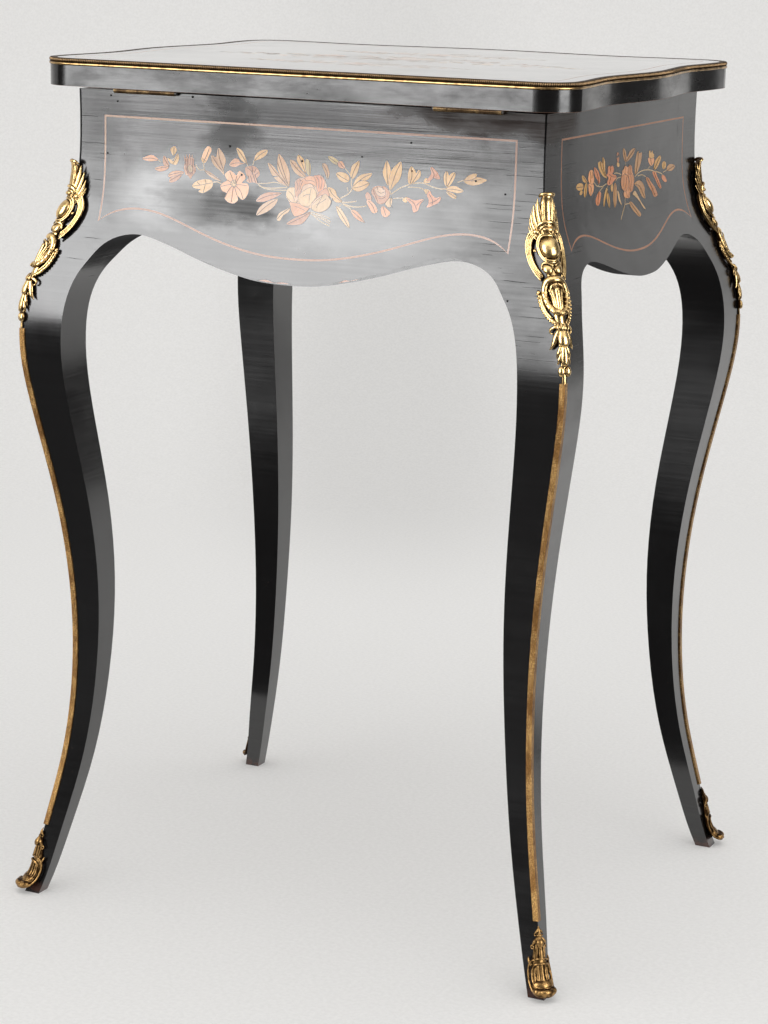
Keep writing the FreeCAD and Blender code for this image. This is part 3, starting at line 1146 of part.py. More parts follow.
strike_plate = cut(
    "strike_plate", fuse("StrikeSolid", [strike_base] + strike_loops), fuse("StrikeCuts", strike_windows + strike_holes))
strike_screws = group("strike_screws", lock_plate_screws(
    "strike_screw", STRIKE_SCREW_X, "Layout.loop_centre_y", UNDER, STRIKE_PLATE, True))
strike_seat = across_middle(
    "StrikeSeat", "Sizes.strike_length / 2 + Sizes.lock_fit", "Layout.strike_outer_y - Sizes.lock_fit",
    "Layout.strike_outer_y + Sizes.strike_width + Sizes.lock_fit", f"{UNDER} - Sizes.overrun",
    f"{UNDER} + {STRIKE_PLATE}",
)
lid_drilled = cut("LidDrilled", lid_core, fuse("LidCuts", [strike_seat] + strike_holes + lid_holes))
lid_panel = cut("lid_panel", lid_drilled, lid_beds)


# Gilt mounts on the corners of the legs

corner_curve = spline(corner_points(LONG, 1))
OUTWARD = Vector(DIAGONAL, DIAGONAL, 0)
SIDEWAYS = Vector(DIAGONAL, -DIAGONAL, 0)


def corner_spot(height):
    """The point of the back right corner at a height, found on the corner's own curve."""
    low, high = corner_curve.FirstParameter, corner_curve.LastParameter
    for _ in range(BISECTIONS):
        middle = (low + high) / 2
        if corner_curve.value(middle).z < height:
            low = middle
        else:
            high = middle
    out = corner_curve.value(low).x - size("half_length")
    return Vector(size("half_length") + out, size("half_depth") + out, height)


def mount_loft(shares, top, tall, wide, relief):
    """A body that wraps the corner: a bowed section at each station, joined from top to foot."""
    sections = []
    for drop_share, wide_share, relief_share in shares:
        corner = corner_spot(top - drop_share * tall)
        half = wide_share * wide / 2
        seat = corner - OUTWARD * (half + size("mount_root"))
        first, last = seat + SIDEWAYS * half, seat - SIDEWAYS * half
        front = corner + OUTWARD * (relief_share * relief)
        sections.append(Part.Wire([Part.Arc(first, front, last).toShape(), Part.LineSegment(last, first).toShape()]))
    return Part.makeLoft(sections, True, True)


def corner_mount():
    """Leaf, scrolls round a boss, pierced loop and husks, as one casting."""
    top, tall, wide, relief = size("mount_top"), size("mount_height"), size("mount_width"), size("mount_relief")
    body = mount_loft(MOUNT_SHARES, top, tall, wide, relief)
    spot = corner_spot(top - CABOCHON_SHARE * tall)
    stretch = FreeCAD.Matrix()
    stretch.scale(size("cabochon_relief"), size("cabochon_width") / 2, size("cabochon_height") / 2)
    boss = Part.makeSphere(1.0).transformGeometry(stretch)
    boss.Placement = Placement(spot + OUTWARD * relief, Rotation(LONG, OUTWARD))
    body = body.fuse(boss)
    slot_middle = corner_spot(top - MOUNT_SLOT_SHARE * tall)
    aside = MOUNT_SLOT_ASIDE_SHARE * wide / 2
    for side in (-1, 1):
        slot = Part.makeBox(2 * size("overrun"), size("mount_slot_width"), size("mount_slot_height"))
        slot.translate(Vector(-size("overrun"), -size("mount_slot_width") / 2, -size("mount_slot_height") / 2))
        slot.Placement = Placement(slot_middle + SIDEWAYS * (side * aside), Rotation(LONG, OUTWARD)).multiply(slot.Placement)
        body = body.cut(slot)
    return body


def sabot():
    """A shell up the corner of the foot under small husks, with its toe rolled outward."""
    tall = size("sabot_top") - size("sabot_bottom")
    body = mount_loft(SABOT_SHARES, size("sabot_top"), tall, size("sabot_width"), size("sabot_relief"))
    centre = corner_spot(size("toe_height")) + OUTWARD * size("toe_reach")
    toe = Part.makeCylinder(size("toe_radius"), size("toe_length"), centre - SIDEWAYS * (size("toe_length") / 2), SIDEWAYS)
    return body.fuse(toe)


strip_sides = []
for along, prefix in ((LONG, "Long"), (SHORT, "Short")):
    across = SHORT if along is LONG else LONG
    reach = REACH_Y if along is LONG else REACH_X
    section = shaped(f"Strip{prefix}Section", band(along, 1, -size("strip_thickness"), size("strip_face")))
    strip_sides.append(extruded(f"Strip{prefix}", section, across, reach, "0"))
strip_range = board("StripRange", ("0", "0", "Sizes.strip_bottom"), (REACH_X, REACH_Y, "Sizes.strip_top"))
corner_pieces = {
    "corner_mount": cut("corner_mount_back_right", shaped("CornerMountBlank", corner_mount()), leg_blank),
    "leg_strip": cut("leg_strip_back_right", common("StripBlank", strip_sides + [strip_range]), leg_blank),
    "sabot": cut("sabot_back_right", shaped("SabotBlank", sabot()), leg_blank),
}
mounts = []
for kind, back_right in corner_pieces.items():
    back_left = mirror(f"{kind}_back_left", back_right, LONG)
    mounts += [back_right, back_left]
    mounts += [mirror(f"{kind}_front_right", back_right, SHORT), mirror(f"{kind}_front_left", back_left, SHORT)]


# Check every feature, then write each named piece

apron_back.Label = "ApronBackUndrilled"
apron_back_drilled.Label = "apron_back"
NODES = [
    leg_back_left, leg_back_right, leg_front_left, leg_front_right,
    apron_back_drilled, apron_front, apron_left, apron_right,
    bottom_ledges, well_bottom, well_lining_back, well_lining_front, well_lining_left, well_lining_right,
    well_partition_left, well_partition_right, well_divider_left, well_divider_right,
    lid_panel, lid_moulding, lid_stringing, lid_marquetry, mirror_frame, mirror_glass,
    carcass_hinge_screws, lid_hinge_screws,
    lock_case, lock_bolt, key, escutcheon, strike_plate, lock_screws, strike_screws,
    stringing_back, stringing_front, stringing_left, stringing_right,
    marquetry_back, marquetry_front, marquetry_left, marquetry_right,
] + hinge_pieces + mounts

doc.recompute()
faults = [o.Name for o in doc.Objects if "Invalid" in o.State or "Error" in o.State]
for node in NODES:
    if node.Shape.isNull() or not node.Shape.isValid() or not node.Shape.Solids:
        faults.append(node.Label)
if faults:
    raise RuntimeError(f"not built: {faults}")

os.makedirs("parts", exist_ok=True)
for node in NODES:
    node.Shape.exportStep(f"parts/{node.Label}.step")
    print(f"{node.Label}: {len(node.Shape.Solids)} solids, {node.Shape.Volume:.0f} mm3")
print(len(NODES), "pieces")
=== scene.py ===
import json
import math

import bmesh
import bpy
import numpy as np
from mathutils import Matrix, Vector
from mathutils.bvhtree import BVHTree


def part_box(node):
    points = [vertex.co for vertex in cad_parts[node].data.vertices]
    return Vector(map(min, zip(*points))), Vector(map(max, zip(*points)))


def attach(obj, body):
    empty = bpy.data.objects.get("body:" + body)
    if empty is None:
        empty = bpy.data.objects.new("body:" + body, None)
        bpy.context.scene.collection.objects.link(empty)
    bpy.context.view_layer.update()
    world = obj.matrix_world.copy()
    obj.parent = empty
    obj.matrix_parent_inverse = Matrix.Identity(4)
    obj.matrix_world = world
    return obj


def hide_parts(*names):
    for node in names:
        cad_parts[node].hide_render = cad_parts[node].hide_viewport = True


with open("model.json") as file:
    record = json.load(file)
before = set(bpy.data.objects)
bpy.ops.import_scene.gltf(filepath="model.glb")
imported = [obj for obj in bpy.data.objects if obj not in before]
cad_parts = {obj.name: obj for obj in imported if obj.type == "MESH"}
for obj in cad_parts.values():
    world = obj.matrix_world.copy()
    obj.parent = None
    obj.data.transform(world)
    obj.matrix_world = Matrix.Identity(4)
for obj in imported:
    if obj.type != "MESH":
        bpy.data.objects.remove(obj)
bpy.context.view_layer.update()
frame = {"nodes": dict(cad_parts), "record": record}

# Looks of a small black marquetry dressing table with gilt mounts. Metres throughout, except
# where a table says millimetres. The back, with the hinges, is +Y and faces the camera.

MM = 0.001
NODES = frame["nodes"]
BACK_LEFT, BACK_RIGHT = (-1, 1), (1, 1)
CORNERS = {"back_left": BACK_LEFT, "back_right": BACK_RIGHT, "front_left": (-1, -1), "front_right": (1, -1)}
# Half sizes of the carcass at its top, from the corner post and its side
POST_SIDE = 0.046
HALF_LENGTH = float(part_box("leg_back_right")[0][0]) + POST_SIDE
HALF_DEPTH = float(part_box("leg_back_right")[0][1]) + POST_SIDE


# Node materials, built with short calls

class Finish:
    """A material whose nodes are added and joined by one short call each."""

    def __init__(self, name):
        self.material = bpy.data.materials.new(name)
        self.material.use_nodes = True
        self.tree = self.material.node_tree
        self.surface = self.tree.nodes["Principled BSDF"]

    def add(self, kind, inputs=None, out=0, **settings):
        node = self.tree.nodes.new(kind)
        for key, value in settings.items():
            setattr(node, key, value)
        for key, value in (inputs or {}).items():
            self.join(value, node.inputs[key])
        return node.outputs[out]

    def join(self, value, socket):
        if isinstance(value, bpy.types.NodeSocket):
            self.tree.links.new(value, socket)
        else:
            socket.default_value = value

    def place(self):
        return self.add("ShaderNodeTexCoord", out="Object")

    def attribute(self, name, out="Fac"):
        return self.add("ShaderNodeAttribute", out=out, attribute_name=name)

    def sums(self, operation, first, second=0.0, clamp=False):
        return self.add("ShaderNodeMath", {0: first, 1: second}, operation=operation, use_clamp=clamp)

    def stretch(self, vector, scale):
        return self.add("ShaderNodeVectorMath", {0: vector, 1: scale}, operation="MULTIPLY")

    def parts(self, vector):
        node = self.tree.nodes.new("ShaderNodeSeparateXYZ")
        self.join(vector, node.inputs[0])
        return node.outputs

    def noise(self, vector, scale, detail=3.0, roughness=0.55):
        inputs = {"Vector": vector, "Scale": scale, "Detail": detail, "Roughness": roughness}
        return self.add("ShaderNodeTexNoise", inputs, out=0)

    def cells(self, vector, scale, feature="F1", out="Distance"):
        return self.add("ShaderNodeTexVoronoi", {"Vector": vector, "Scale": scale}, out=out, feature=feature)

    def ease(self, value, low, high, start=0.0, end=1.0):
        inputs = {"Value": value, "From Min": low, "From Max": high, "To Min": start, "To Max": end}
        return self.add("ShaderNodeMapRange", inputs, interpolation_type="SMOOTHSTEP")

    def mix(self, share, first, second, blend="MIX"):
        node = self.tree.nodes.new("ShaderNodeMix")
        node.data_type = "RGBA"
        node.blend_type = blend
        self.join(share, node.inputs[0])
        self.join(first, node.inputs[6])
        self.join(second, node.inputs[7])
        return node.outputs[2]

    def bump(self, height, strength, distance, normal=None):
        inputs = {"Height": height, "Strength": strength, "Distance": distance}
        if normal is not None:
            inputs["Normal"] = normal
        return self.add("ShaderNodeBump", inputs)

    def finish(self, **inputs):
        for key, value in inputs.items():
            self.join(value, self.surface.inputs[key.replace("_", " ")])
        return self.material


def rgb(red, green, blue):
    return (red, green, blue, 1.0)


# Places on the back where the polish has gone dull: X, Z, half width, half height, strength; in metres
DULL_SPOTS = [
    (0.067, 0.685, 0.017, 0.02, 0.75), (0.02, 0.694, 0.055, 0.007, 0.3), (0.07, 0.616, 0.04, 0.011, 0.85),
    (0.042, 0.6135, 0.017, 0.003, 0.5), (-0.168, 0.697, 0.042, 0.008, 1.25), (-0.125, 0.7, 0.03, 0.005, 0.8),
    (-0.2, 0.6, 0.05, 0.1, 0.25), (-0.2, 0.53, 0.05, 0.05, 0.2), (0.19, 0.66, 0.02, 0.04, 0.25),
    (-0.2, 0.7, 0.045, 0.014, 0.9),
]
# Places on the back rubbed to a shine, in the same order
SHINE_SPOTS = [(0.129, 0.6205, 0.024, 0.015, 1.0), (-0.016, 0.617, 0.014, 0.011, 0.75),
               (-0.055, 0.602, 0.04, 0.014, 0.35)]
# The corner where the polish has gone brown, in the same order
BROWN_SPOTS = [(-0.165, 0.696, 0.055, 0.009, 1.0)]
CRACK_PITCH = 0.0043


def black_lacquer(name, roughness, crazing):
    """Ebonised veneer under old gloss: level hairline cracks at the posts, dull patches, brown wear."""
    f = Finish(name)
    place = f.place()
    x, y, height = f.parts(place)
    high_up = f.ease(height, 0.49, 0.56)
    drift = f.noise(f.stretch(place, (30.0, 30.0, 60.0)), 1.0, 4.0, 0.6)

    def spots(rows):
        total = 0.0
        for at_x, at_z, wide, tall, strength in rows:
            across = f.sums("DIVIDE", f.sums("SUBTRACT", x, at_x), wide)
            upward = f.sums("DIVIDE", f.sums("SUBTRACT", height, at_z), tall)
            reach = f.sums("SQRT", f.sums("ADD", f.sums("MULTIPLY", across, across),
                                          f.sums("MULTIPLY", upward, upward)))
            reach = f.sums("ADD", reach, f.ease(drift, 0.25, 0.75, -0.55, 0.55))
            total = f.sums("ADD", f.ease(reach, 0.2, 2.1, strength, 0.0), total)
        total = f.sums("MULTIPLY", total, f.ease(y, 0.1, 0.12))
        return f.sums("DIVIDE", f.sums("MULTIPLY", total, 1.7), f.sums("ADD", total, 0.8))

    streaks = f.noise(f.stretch(place, (9.0, 9.0, 520.0)), 1.0, 4.0, 0.6)
    upright = f.noise(f.stretch(place, (700.0, 700.0, 14.0)), 1.0, 3.0, 0.5)
    # Hairlines: one to a level cell, broken along its length
    waver = f.noise(f.stretch(place, (26.0, 26.0, 3.0)), 1.0, 2.0)
    level = f.sums("ADD", f.sums("DIVIDE", height, CRACK_PITCH), f.sums("MULTIPLY", waver, 0.5))
    cell = f.sums("FLOOR", level)
    chance = f.add("ShaderNodeTexWhiteNoise", {"W": cell}, noise_dimensions="1D")
    off = f.sums("ABSOLUTE", f.sums("SUBTRACT", f.sums("FRACT", level),
                                    f.sums("ADD", f.sums("MULTIPLY", chance, 0.6), 0.2)))
    hairline = f.ease(off, 0.02, 0.06, 1.0, 0.0)
    spread = f.add("ShaderNodeCombineXYZ", {"X": f.sums("MULTIPLY", x, 28.0),
                                            "Y": f.sums("MULTIPLY", y, 28.0),
                                            "Z": f.sums("MULTIPLY", cell, 7.3)})
    broken = f.ease(f.noise(spread, 1.0, 2.0), 0.5, 0.62)
    at_right = f.ease(x, -0.15, -0.182)
    at_left = f.sums("MULTIPLY", f.ease(x, 0.175, 0.19), f.ease(chance, 0.6, 0.62))
    cracks = f.sums("MULTIPLY", f.sums("MULTIPLY", hairline, broken), f.sums("MAXIMUM", at_right, at_left))
    cracks = f.sums("MULTIPLY", f.sums("MULTIPLY", cracks, high_up),
                    f.ease(y, 0.1, 0.12, 0.0, 0.75 * crazing))
    beyond_x = f.sums("SUBTRACT", f.sums("ABSOLUTE", x), HALF_LENGTH)
    beyond_y = f.sums("SUBTRACT", f.sums("ABSOLUTE", y), HALF_DEPTH)
    beside = f.sums("ABSOLUTE", f.sums("SUBTRACT", beyond_y, f.sums("ADD", beyond_x, 0.0009)))
    joint = f.sums("MULTIPLY", f.ease(beside, 0.0005, 0.001, 1.0, 0.0), f.ease(height, 0.62, 0.65))
    cracks = f.sums("MAXIMUM", cracks, joint)
    dull = f.noise(place, 14.0, 4.0, 0.6)
    specks = f.ease(f.cells(place, 160.0), 0.1, 0.04)
    specks = f.sums("MULTIPLY", specks, f.ease(f.noise(place, 30.0, 1.0), 0.6, 0.68))
    wear = f.ease(f.noise(f.stretch(place, (60.0, 60.0, 220.0)), 1.0, 5.0, 0.7), 0.68, 0.78)
    wear = f.sums("ADD", wear, spots(BROWN_SPOTS), clamp=True)
    colour = f.mix(wear, rgb(0.0065, 0.006, 0.0062), rgb(0.03, 0.017, 0.012))
    at_foot = f.sums("MULTIPLY", f.ease(height, 0.012, 0.002), f.ease(f.noise(place, 120.0, 3.0), 0.4, 0.6))
    colour = f.mix(at_foot, colour, rgb(0.07, 0.024, 0.014))
    colour = f.mix(cracks, colour, rgb(0.0015, 0.0013, 0.0013))
    colour = f.mix(f.sums("MULTIPLY", specks, 0.6), colour, rgb(0.1, 0.07, 0.05))
    smudge = f.sums("MULTIPLY", spots(DULL_SPOTS), f.ease(streaks, 0.3, 0.66, 1.12, 0.85))
    gloss = f.ease(dull, 0.3, 0.75, roughness * 0.85, roughness * 1.3)
    gloss = f.sums("MULTIPLY", gloss, f.ease(streaks, 0.3, 0.7, 0.9, 1.12))
    gloss = f.sums("ADD", gloss, f.sums("MULTIPLY", smudge, 0.12))
    gloss = f.sums("ADD", gloss, f.sums("MULTIPLY", cracks, 0.3), clamp=True)
    polish = f.sums("SUBTRACT", 1.0, f.sums("MULTIPLY", smudge, 0.66), clamp=True)
    polish = f.sums("ADD", polish, f.sums("MULTIPLY", spots(SHINE_SPOTS), 0.42))
    polish = f.sums("MULTIPLY", polish, f.ease(streaks, 0.3, 0.7, 0.95, 1.05))
    polish = f.sums("MULTIPLY", polish, f.sums("SUBTRACT", 0.5, f.sums("MULTIPLY", cracks, 0.42)))
    skin = f.sums("ADD", f.sums("MULTIPLY", streaks, high_up), f.sums("MULTIPLY", upright, 0.35))
    normal = f.bump(skin, 0.05 + 0.1 * crazing, 0.0003)
    normal = f.bump(f.sums("SUBTRACT", 1.0, cracks), 0.25, 0.0003, normal)
    return f.finish(Base_Color=colour, Roughness=gloss, Specular_IOR_Level=polish, Normal=normal, IOR=1.62)


def lid_lacquer():
    """The lid: gloss black on top, duller and mottled on its edge, plain wood underneath."""
    f = Finish("lid_lacquer")
    place = f.place()
    height = f.parts(place)[2]
    under = f.ease(height, 0.7074, 0.7072)
    on_edge = f.ease(height, 0.7268, 0.7262)
    waves = f.noise(f.stretch(place, (3.0, 3.0, 60.0)), 1.0, 3.0, 0.5)
    fine = f.noise(f.stretch(place, (40.0, 700.0, 40.0)), 1.0, 4.0, 0.6)
    dull = f.noise(place, 12.0, 4.0, 0.6)
    cloud = f.noise(f.stretch(place, (22.0, 22.0, 60.0)), 1.0, 4.0, 0.65)
    rubs = f.noise(f.stretch(place, (45.0, 45.0, 420.0)), 1.0, 3.0, 0.6)
    grain = f.noise(f.stretch(place, (6.0, 160.0, 6.0)), 1.0, 5.0, 0.6)
    wood = f.mix(grain, rgb(0.09, 0.035, 0.018), rgb(0.26, 0.12, 0.055))
    colour = f.mix(under, rgb(0.0085, 0.0078, 0.0078), wood)
    gloss = f.ease(dull, 0.3, 0.75, 0.06, 0.12)
    gloss = f.sums("ADD", gloss, f.sums("MULTIPLY", on_edge, f.ease(cloud, 0.3, 0.7, 0.08, 0.2)))
    gloss = f.sums("ADD", gloss, f.sums("MULTIPLY", under, 0.25))
    tone = f.sums("MULTIPLY", f.ease(cloud, 0.3, 0.7, 0.86, 0.58), f.ease(rubs, 0.3, 0.7, 1.08, 0.92))
    polish = f.sums("ADD", 1.0, f.sums("MULTIPLY", on_edge, f.sums("SUBTRACT", tone, 1.0)))
    polish = f.sums("MULTIPLY", polish, 0.5)
    normal = f.bump(f.sums("ADD", waves, f.sums("MULTIPLY", fine, 0.05)), 0.05, 0.0012)
    return f.finish(Base_Color=colour, Roughness=gloss, Specular_IOR_Level=polish, Normal=normal, IOR=1.62)


def gilt(name, bright, deep, roughness, soil):
    """Cast brass: bright where hands reach, brown in the hollows, with small casting pits."""
    f = Finish(name)
    place = f.place()
    crest = f.attribute("crest")
    patches = f.noise(place, 220.0, 4.0, 0.6)
    pits = f.noise(place, 1500.0, 2.0, 0.5)
    clean = f.sums("ADD", crest, f.ease(patches, 0.3, 0.75, -soil, soil * 0.4), clamp=True)
    colour = f.mix(f.ease(clean, 0.42, 0.92), deep, bright)
    colour = f.mix(f.ease(pits, 0.66, 0.8, 0.0, 0.45), colour, deep)
    gloss = f.ease(clean, 0.3, 0.8, roughness + 0.3, roughness)
    normal = f.bump(f.sums("ADD", f.sums("MULTIPLY", pits, 0.5), patches), 0.25, 0.0004)
    return f.finish(Base_Color=colour, Metallic=1.0, Roughness=gloss, Normal=normal)


def plain_brass(name, bright, deep, roughness, fine):
    """Sheet or drawn brass that has aged: brown blotches over dull yellow."""
    f = Finish(name)
    place = f.place()
    patches = f.noise(place, 90.0 * fine, 5.0, 0.65)
    grit = f.noise(place, 900.0 * fine, 3.0, 0.6)
    colour = f.mix(f.ease(patches, 0.35, 0.68), deep, bright)
    colour = f.mix(f.ease(grit, 0.5, 0.72, 0.0, 0.6), colour, deep)
    gloss = f.ease(grit, 0.35, 0.7, roughness, roughness + 0.22)
    normal = f.bump(grit, 0.35, 0.0003)
    return f.finish(Base_Color=colour, Metallic=1.0, Roughness=gloss, Normal=normal)


def granular_band():
    """The strip down the leg: a sanded ground in brown and yellow patches."""
    f = Finish("granular_band")
    place = f.place()
    grains = f.cells(place, 1100.0)
    beads = f.ease(grains, 0.15, 0.6, 1.0, 0.3)
    patches = f.noise(f.stretch(place, (120.0, 120.0, 45.0)), 1.0, 4.0, 0.6)
    colour = f.mix(f.ease(patches, 0.35, 0.65), rgb(0.34, 0.17, 0.05), rgb(0.85, 0.52, 0.19))
    colour = f.mix(f.sums("MULTIPLY", beads, 0.9), rgb(0.1, 0.045, 0.015), colour)
    normal = f.bump(beads, 0.8, 0.0004)
    return f.finish(Base_Color=colour, Metallic=0.9, Roughness=0.42, Normal=normal)


def lining_wood(name, dark, light, axis_scale, roughness):
    f = Finish(name)
    place = f.place()
    bent = f.noise(place, 6.0, 2.0)
    rings = f.stretch(f.add("ShaderNodeVectorMath", {0: place, 1: bent}, operation="ADD"), axis_scale)
    grain = f.noise(rings, 1.0, 6.0, 0.65)
    pores = f.noise(f.stretch(place, tuple(6.0 * s for s in axis_scale)), 1.0, 3.0, 0.6)
    colour = f.mix(f.ease(grain, 0.3, 0.7), dark, light)
    colour = f.mix(f.ease(pores, 0.62, 0.75, 0.0, 0.6), colour, dark)
    normal = f.bump(pores, 0.15, 0.0003)
    return f.finish(Base_Color=colour, Roughness=roughness, Normal=normal, IOR=1.5)


def inlay_line():
    """The stringing: a thin line, coppery at the right and below, and painted lighter at the top left as a
    painted sheen where the back catches the light.
    """
    f = Finish("inlay_line")
    place = f.place()
    x, _, height = f.parts(place)
    drift = f.noise(place, 60.0, 4.0, 0.6)
    nicks = f.noise(f.stretch(place, (500.0, 500.0, 500.0)), 1.0, 2.0)
    # Painted sheen: the line is lighter at the top left of the back, where the light falls on it
    painted_sheen = f.sums("MULTIPLY", f.ease(x, -0.08, 0.1), f.ease(height, 0.62, 0.66))
    copper = f.mix(drift, rgb(0.22, 0.07, 0.026), rgb(0.5, 0.21, 0.09))
    colour = f.mix(painted_sheen, copper, f.mix(drift, rgb(0.42, 0.19, 0.085), rgb(0.68, 0.38, 0.21)))
    colour = f.mix(f.ease(nicks, 0.62, 0.72, 0.0, 0.7), colour, rgb(0.08, 0.04, 0.03))
    return f.finish(Base_Color=colour, Roughness=0.25, IOR=1.62)


def marquetry_veneer():
    """Stained veneers and the lines drawn on them: each has its own tint, with a fine grain."""
    f = Finish("marquetry_veneer")
    place = f.place()
    tint = f.attribute("tint", "Color")
    grain = f.noise(f.stretch(place, (500.0, 500.0, 160.0)), 1.0, 3.0, 0.6)
    clouds = f.noise(place, 90.0, 3.0, 0.6)
    colour = f.mix(f.ease(grain, 0.35, 0.75, 0.0, 0.3), tint,
                   f.mix(1.0, tint, rgb(0.55, 0.4, 0.3), "MULTIPLY"))
    colour = f.mix(f.ease(clouds, 0.4, 0.75, 0.0, 0.35), colour,
                   f.mix(1.0, colour, rgb(0.6, 0.5, 0.45), "MULTIPLY"))
    on_lid = f.ease(f.parts(place)[2], 0.7, 0.72)
    gloss = f.sums("SUBTRACT", f.ease(clouds, 0.3, 0.7, 0.2, 0.3), f.sums("MULTIPLY", on_lid, 0.14))
    colour = f.mix(f.sums("MULTIPLY", on_lid, 0.45), colour, rgb(0.05, 0.03, 0.02))
    return f.finish(Base_Color=colour, Roughness=gloss, IOR=1.62)


def even_colour(name, colour, roughness, metallic=0.0, grain=300.0):
    f = Finish(name)
    cloud = f.noise(f.place(), grain, 4.0, 0.6)
    shade = f.mix(f.ease(cloud, 0.3, 0.7, 0.0, 0.5), rgb(*colour), rgb(*(0.55 * c for c in colour)))
    gloss = f.ease(cloud, 0.3, 0.7, roughness, roughness * 1.5)
    return f.finish(Base_Color=shade, Roughness=gloss, Metallic=metallic)


GILT_BRIGHT, GILT_DEEP = rgb(0.8, 0.56, 0.25), rgb(0.075, 0.034, 0.011)
FINISHES = {
    "black_lacquer": black_lacquer("black_lacquer", 0.17, 1.0),
    "lining_wood": lining_wood("lining_wood", rgb(0.1, 0.035, 0.016), rgb(0.3, 0.13, 0.06),
                               (10.0, 10.0, 130.0), 0.3),
    "secondary_wood": lining_wood("secondary_wood", rgb(0.2, 0.12, 0.06), rgb(0.42, 0.29, 0.17),
                                  (10.0, 120.0, 30.0), 0.6),
    "marquetry_veneer": marquetry_veneer(),
    "brass_line": inlay_line(),
    "gilt_brass": gilt("gilt_brass", GILT_BRIGHT, GILT_DEEP, 0.27, 0.25),
    "aged_brass": plain_brass("aged_brass", rgb(0.4, 0.27, 0.13), rgb(0.09, 0.055, 0.03), 0.35, 1.0),
    "screw_steel": even_colour("screw_steel", (0.35, 0.33, 0.31), 0.35, 1.0),
    "lock_steel": even_colour("lock_steel", (0.5, 0.48, 0.45), 0.28, 1.0),
    "mirror_glass": even_colour("mirror_glass", (0.88, 0.9, 0.9), 0.02, 1.0, 2.0),
}
SABOT_BRASS = gilt("sabot_brass", rgb(0.34, 0.2, 0.075), rgb(0.035, 0.016, 0.006), 0.36, 0.4)
MOULDING_BRASS = gilt("moulding_brass", rgb(0.46, 0.3, 0.13), rgb(0.035, 0.018, 0.008), 0.3, 0.35)
RIB_BRASS = gilt("rib_brass", rgb(0.26, 0.17, 0.09), rgb(0.025, 0.015, 0.009), 0.36, 0.2)
BAND = granular_band()
# Painted shade: the dark of the worm holes
HOLE_PAINTED_SHADE = even_colour("hole_painted_shade", (0.006, 0.005, 0.004), 0.8)

for row in frame["record"]["subparts"]:
    NODES[row["node"]].data.materials.clear()
    NODES[row["node"]].data.materials.append(FINISHES[row["material_slot"]])
NODES["lid_panel"].data.materials[0] = lid_lacquer()
for corner in CORNERS:
    NODES[f"leg_strip_{corner}"].data.materials[0] = BAND


# Meshes

def mesh_piece(name, points, faces, material, attributes=None):
    """A piece from points in metres; closed shells are turned to face outwards."""
    mesh = bpy.data.meshes.new(name)
    mesh.from_pydata([tuple(p) for p in points], [], [tuple(int(i) for i in face) for face in faces])
    for key, values in (attributes or {}).items():
        if np.ndim(values) == 2:
            layer = mesh.attributes.new(key, "FLOAT_COLOR", "POINT")
            layer.data.foreach_set("color", np.asarray(values, np.float32).ravel())
        else:
            layer = mesh.attributes.new(key, "FLOAT", "POINT")
            layer.data.foreach_set("value", np.asarray(values, np.float32))
    shell = bmesh.new()
    shell.from_mesh(mesh)
    bmesh.ops.recalc_face_normals(shell, faces=shell.faces)
    shell.to_mesh(mesh)
    shell.free()
    mesh.materials.append(material)
    mesh.polygons.foreach_set("use_smooth", [True] * len(mesh.polygons))
    piece = bpy.data.objects.new(name, mesh)
    bpy.context.scene.collection.objects.link(piece)
    return piece


def surface_of(*nodes):
    """A tree for finding where a line meets some CAD nodes taken together."""
    shell = bmesh.new()
    for node in nodes:
        shell.from_mesh(NODES[node].data)
    tree = BVHTree.FromBMesh(shell)
    shell.free()
    return tree


# Corner of the table, as the CAD leg has it

leg_surface = surface_of("leg_back_right")
LEG_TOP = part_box("leg_back_right")[1][2]
BESIDE = 0.00003
arris_heights = np.linspace(0.0005, LEG_TOP - 0.0005, 700)
arris_offsets = []
for height in arris_heights:
    start = Vector((HALF_LENGTH + 0.2 + BESIDE, HALF_DEPTH + 0.2, height))
    arris_offsets.append(leg_surface.ray_cast(start, Vector((-1, -1, 0)))[0].x - HALF_LENGTH)


def corner_offset(heights):
    return np.interp(heights, arris_heights, arris_offsets)


# Castings: laid out flat in millimetres as (across, height, relief), then wrapped on a corner

FOLD = math.pi / 4
FOLD_REACH = 2.4
fold_steps = np.linspace(0.0, 45.0, 451)
fold_angles = FOLD * np.tanh(fold_steps / FOLD_REACH)
fold_step = fold_steps[1]
fold_aside = np.concatenate([[0.0], np.cumsum(np.cos(fold_angles[:-1]) * fold_step)])
fold_back = np.concatenate([[0.0], np.cumsum(np.sin(fold_angles[:-1]) * fold_step)])


def curve_through(points, count, closed=False):
    """Even steps along a smooth curve through a few points."""
    points = np.array(points, float)
    if closed:
        ring = np.vstack([points[-1:], points, points[:2]])
        spans = len(points)
    else:
        ring = np.vstack([2 * points[:1] - points[1:2], points, 2 * points[-1:] - points[-2:-1]])
        spans = len(points) - 1
    share = np.linspace(0, spans, count + (1 if closed else 0))[:count]
    spot = np.minimum(share.astype(int), spans - 1)
    t = (share - spot)[:, None]
    a, b, c, d = (ring[spot + k] for k in range(4))
    square, cube = (2 * a - 5 * b + 4 * c - d) * t ** 2, (3 * b - a - 3 * c + d) * t ** 3
    return 0.5 * (2 * b + (c - a) * t + square + cube)


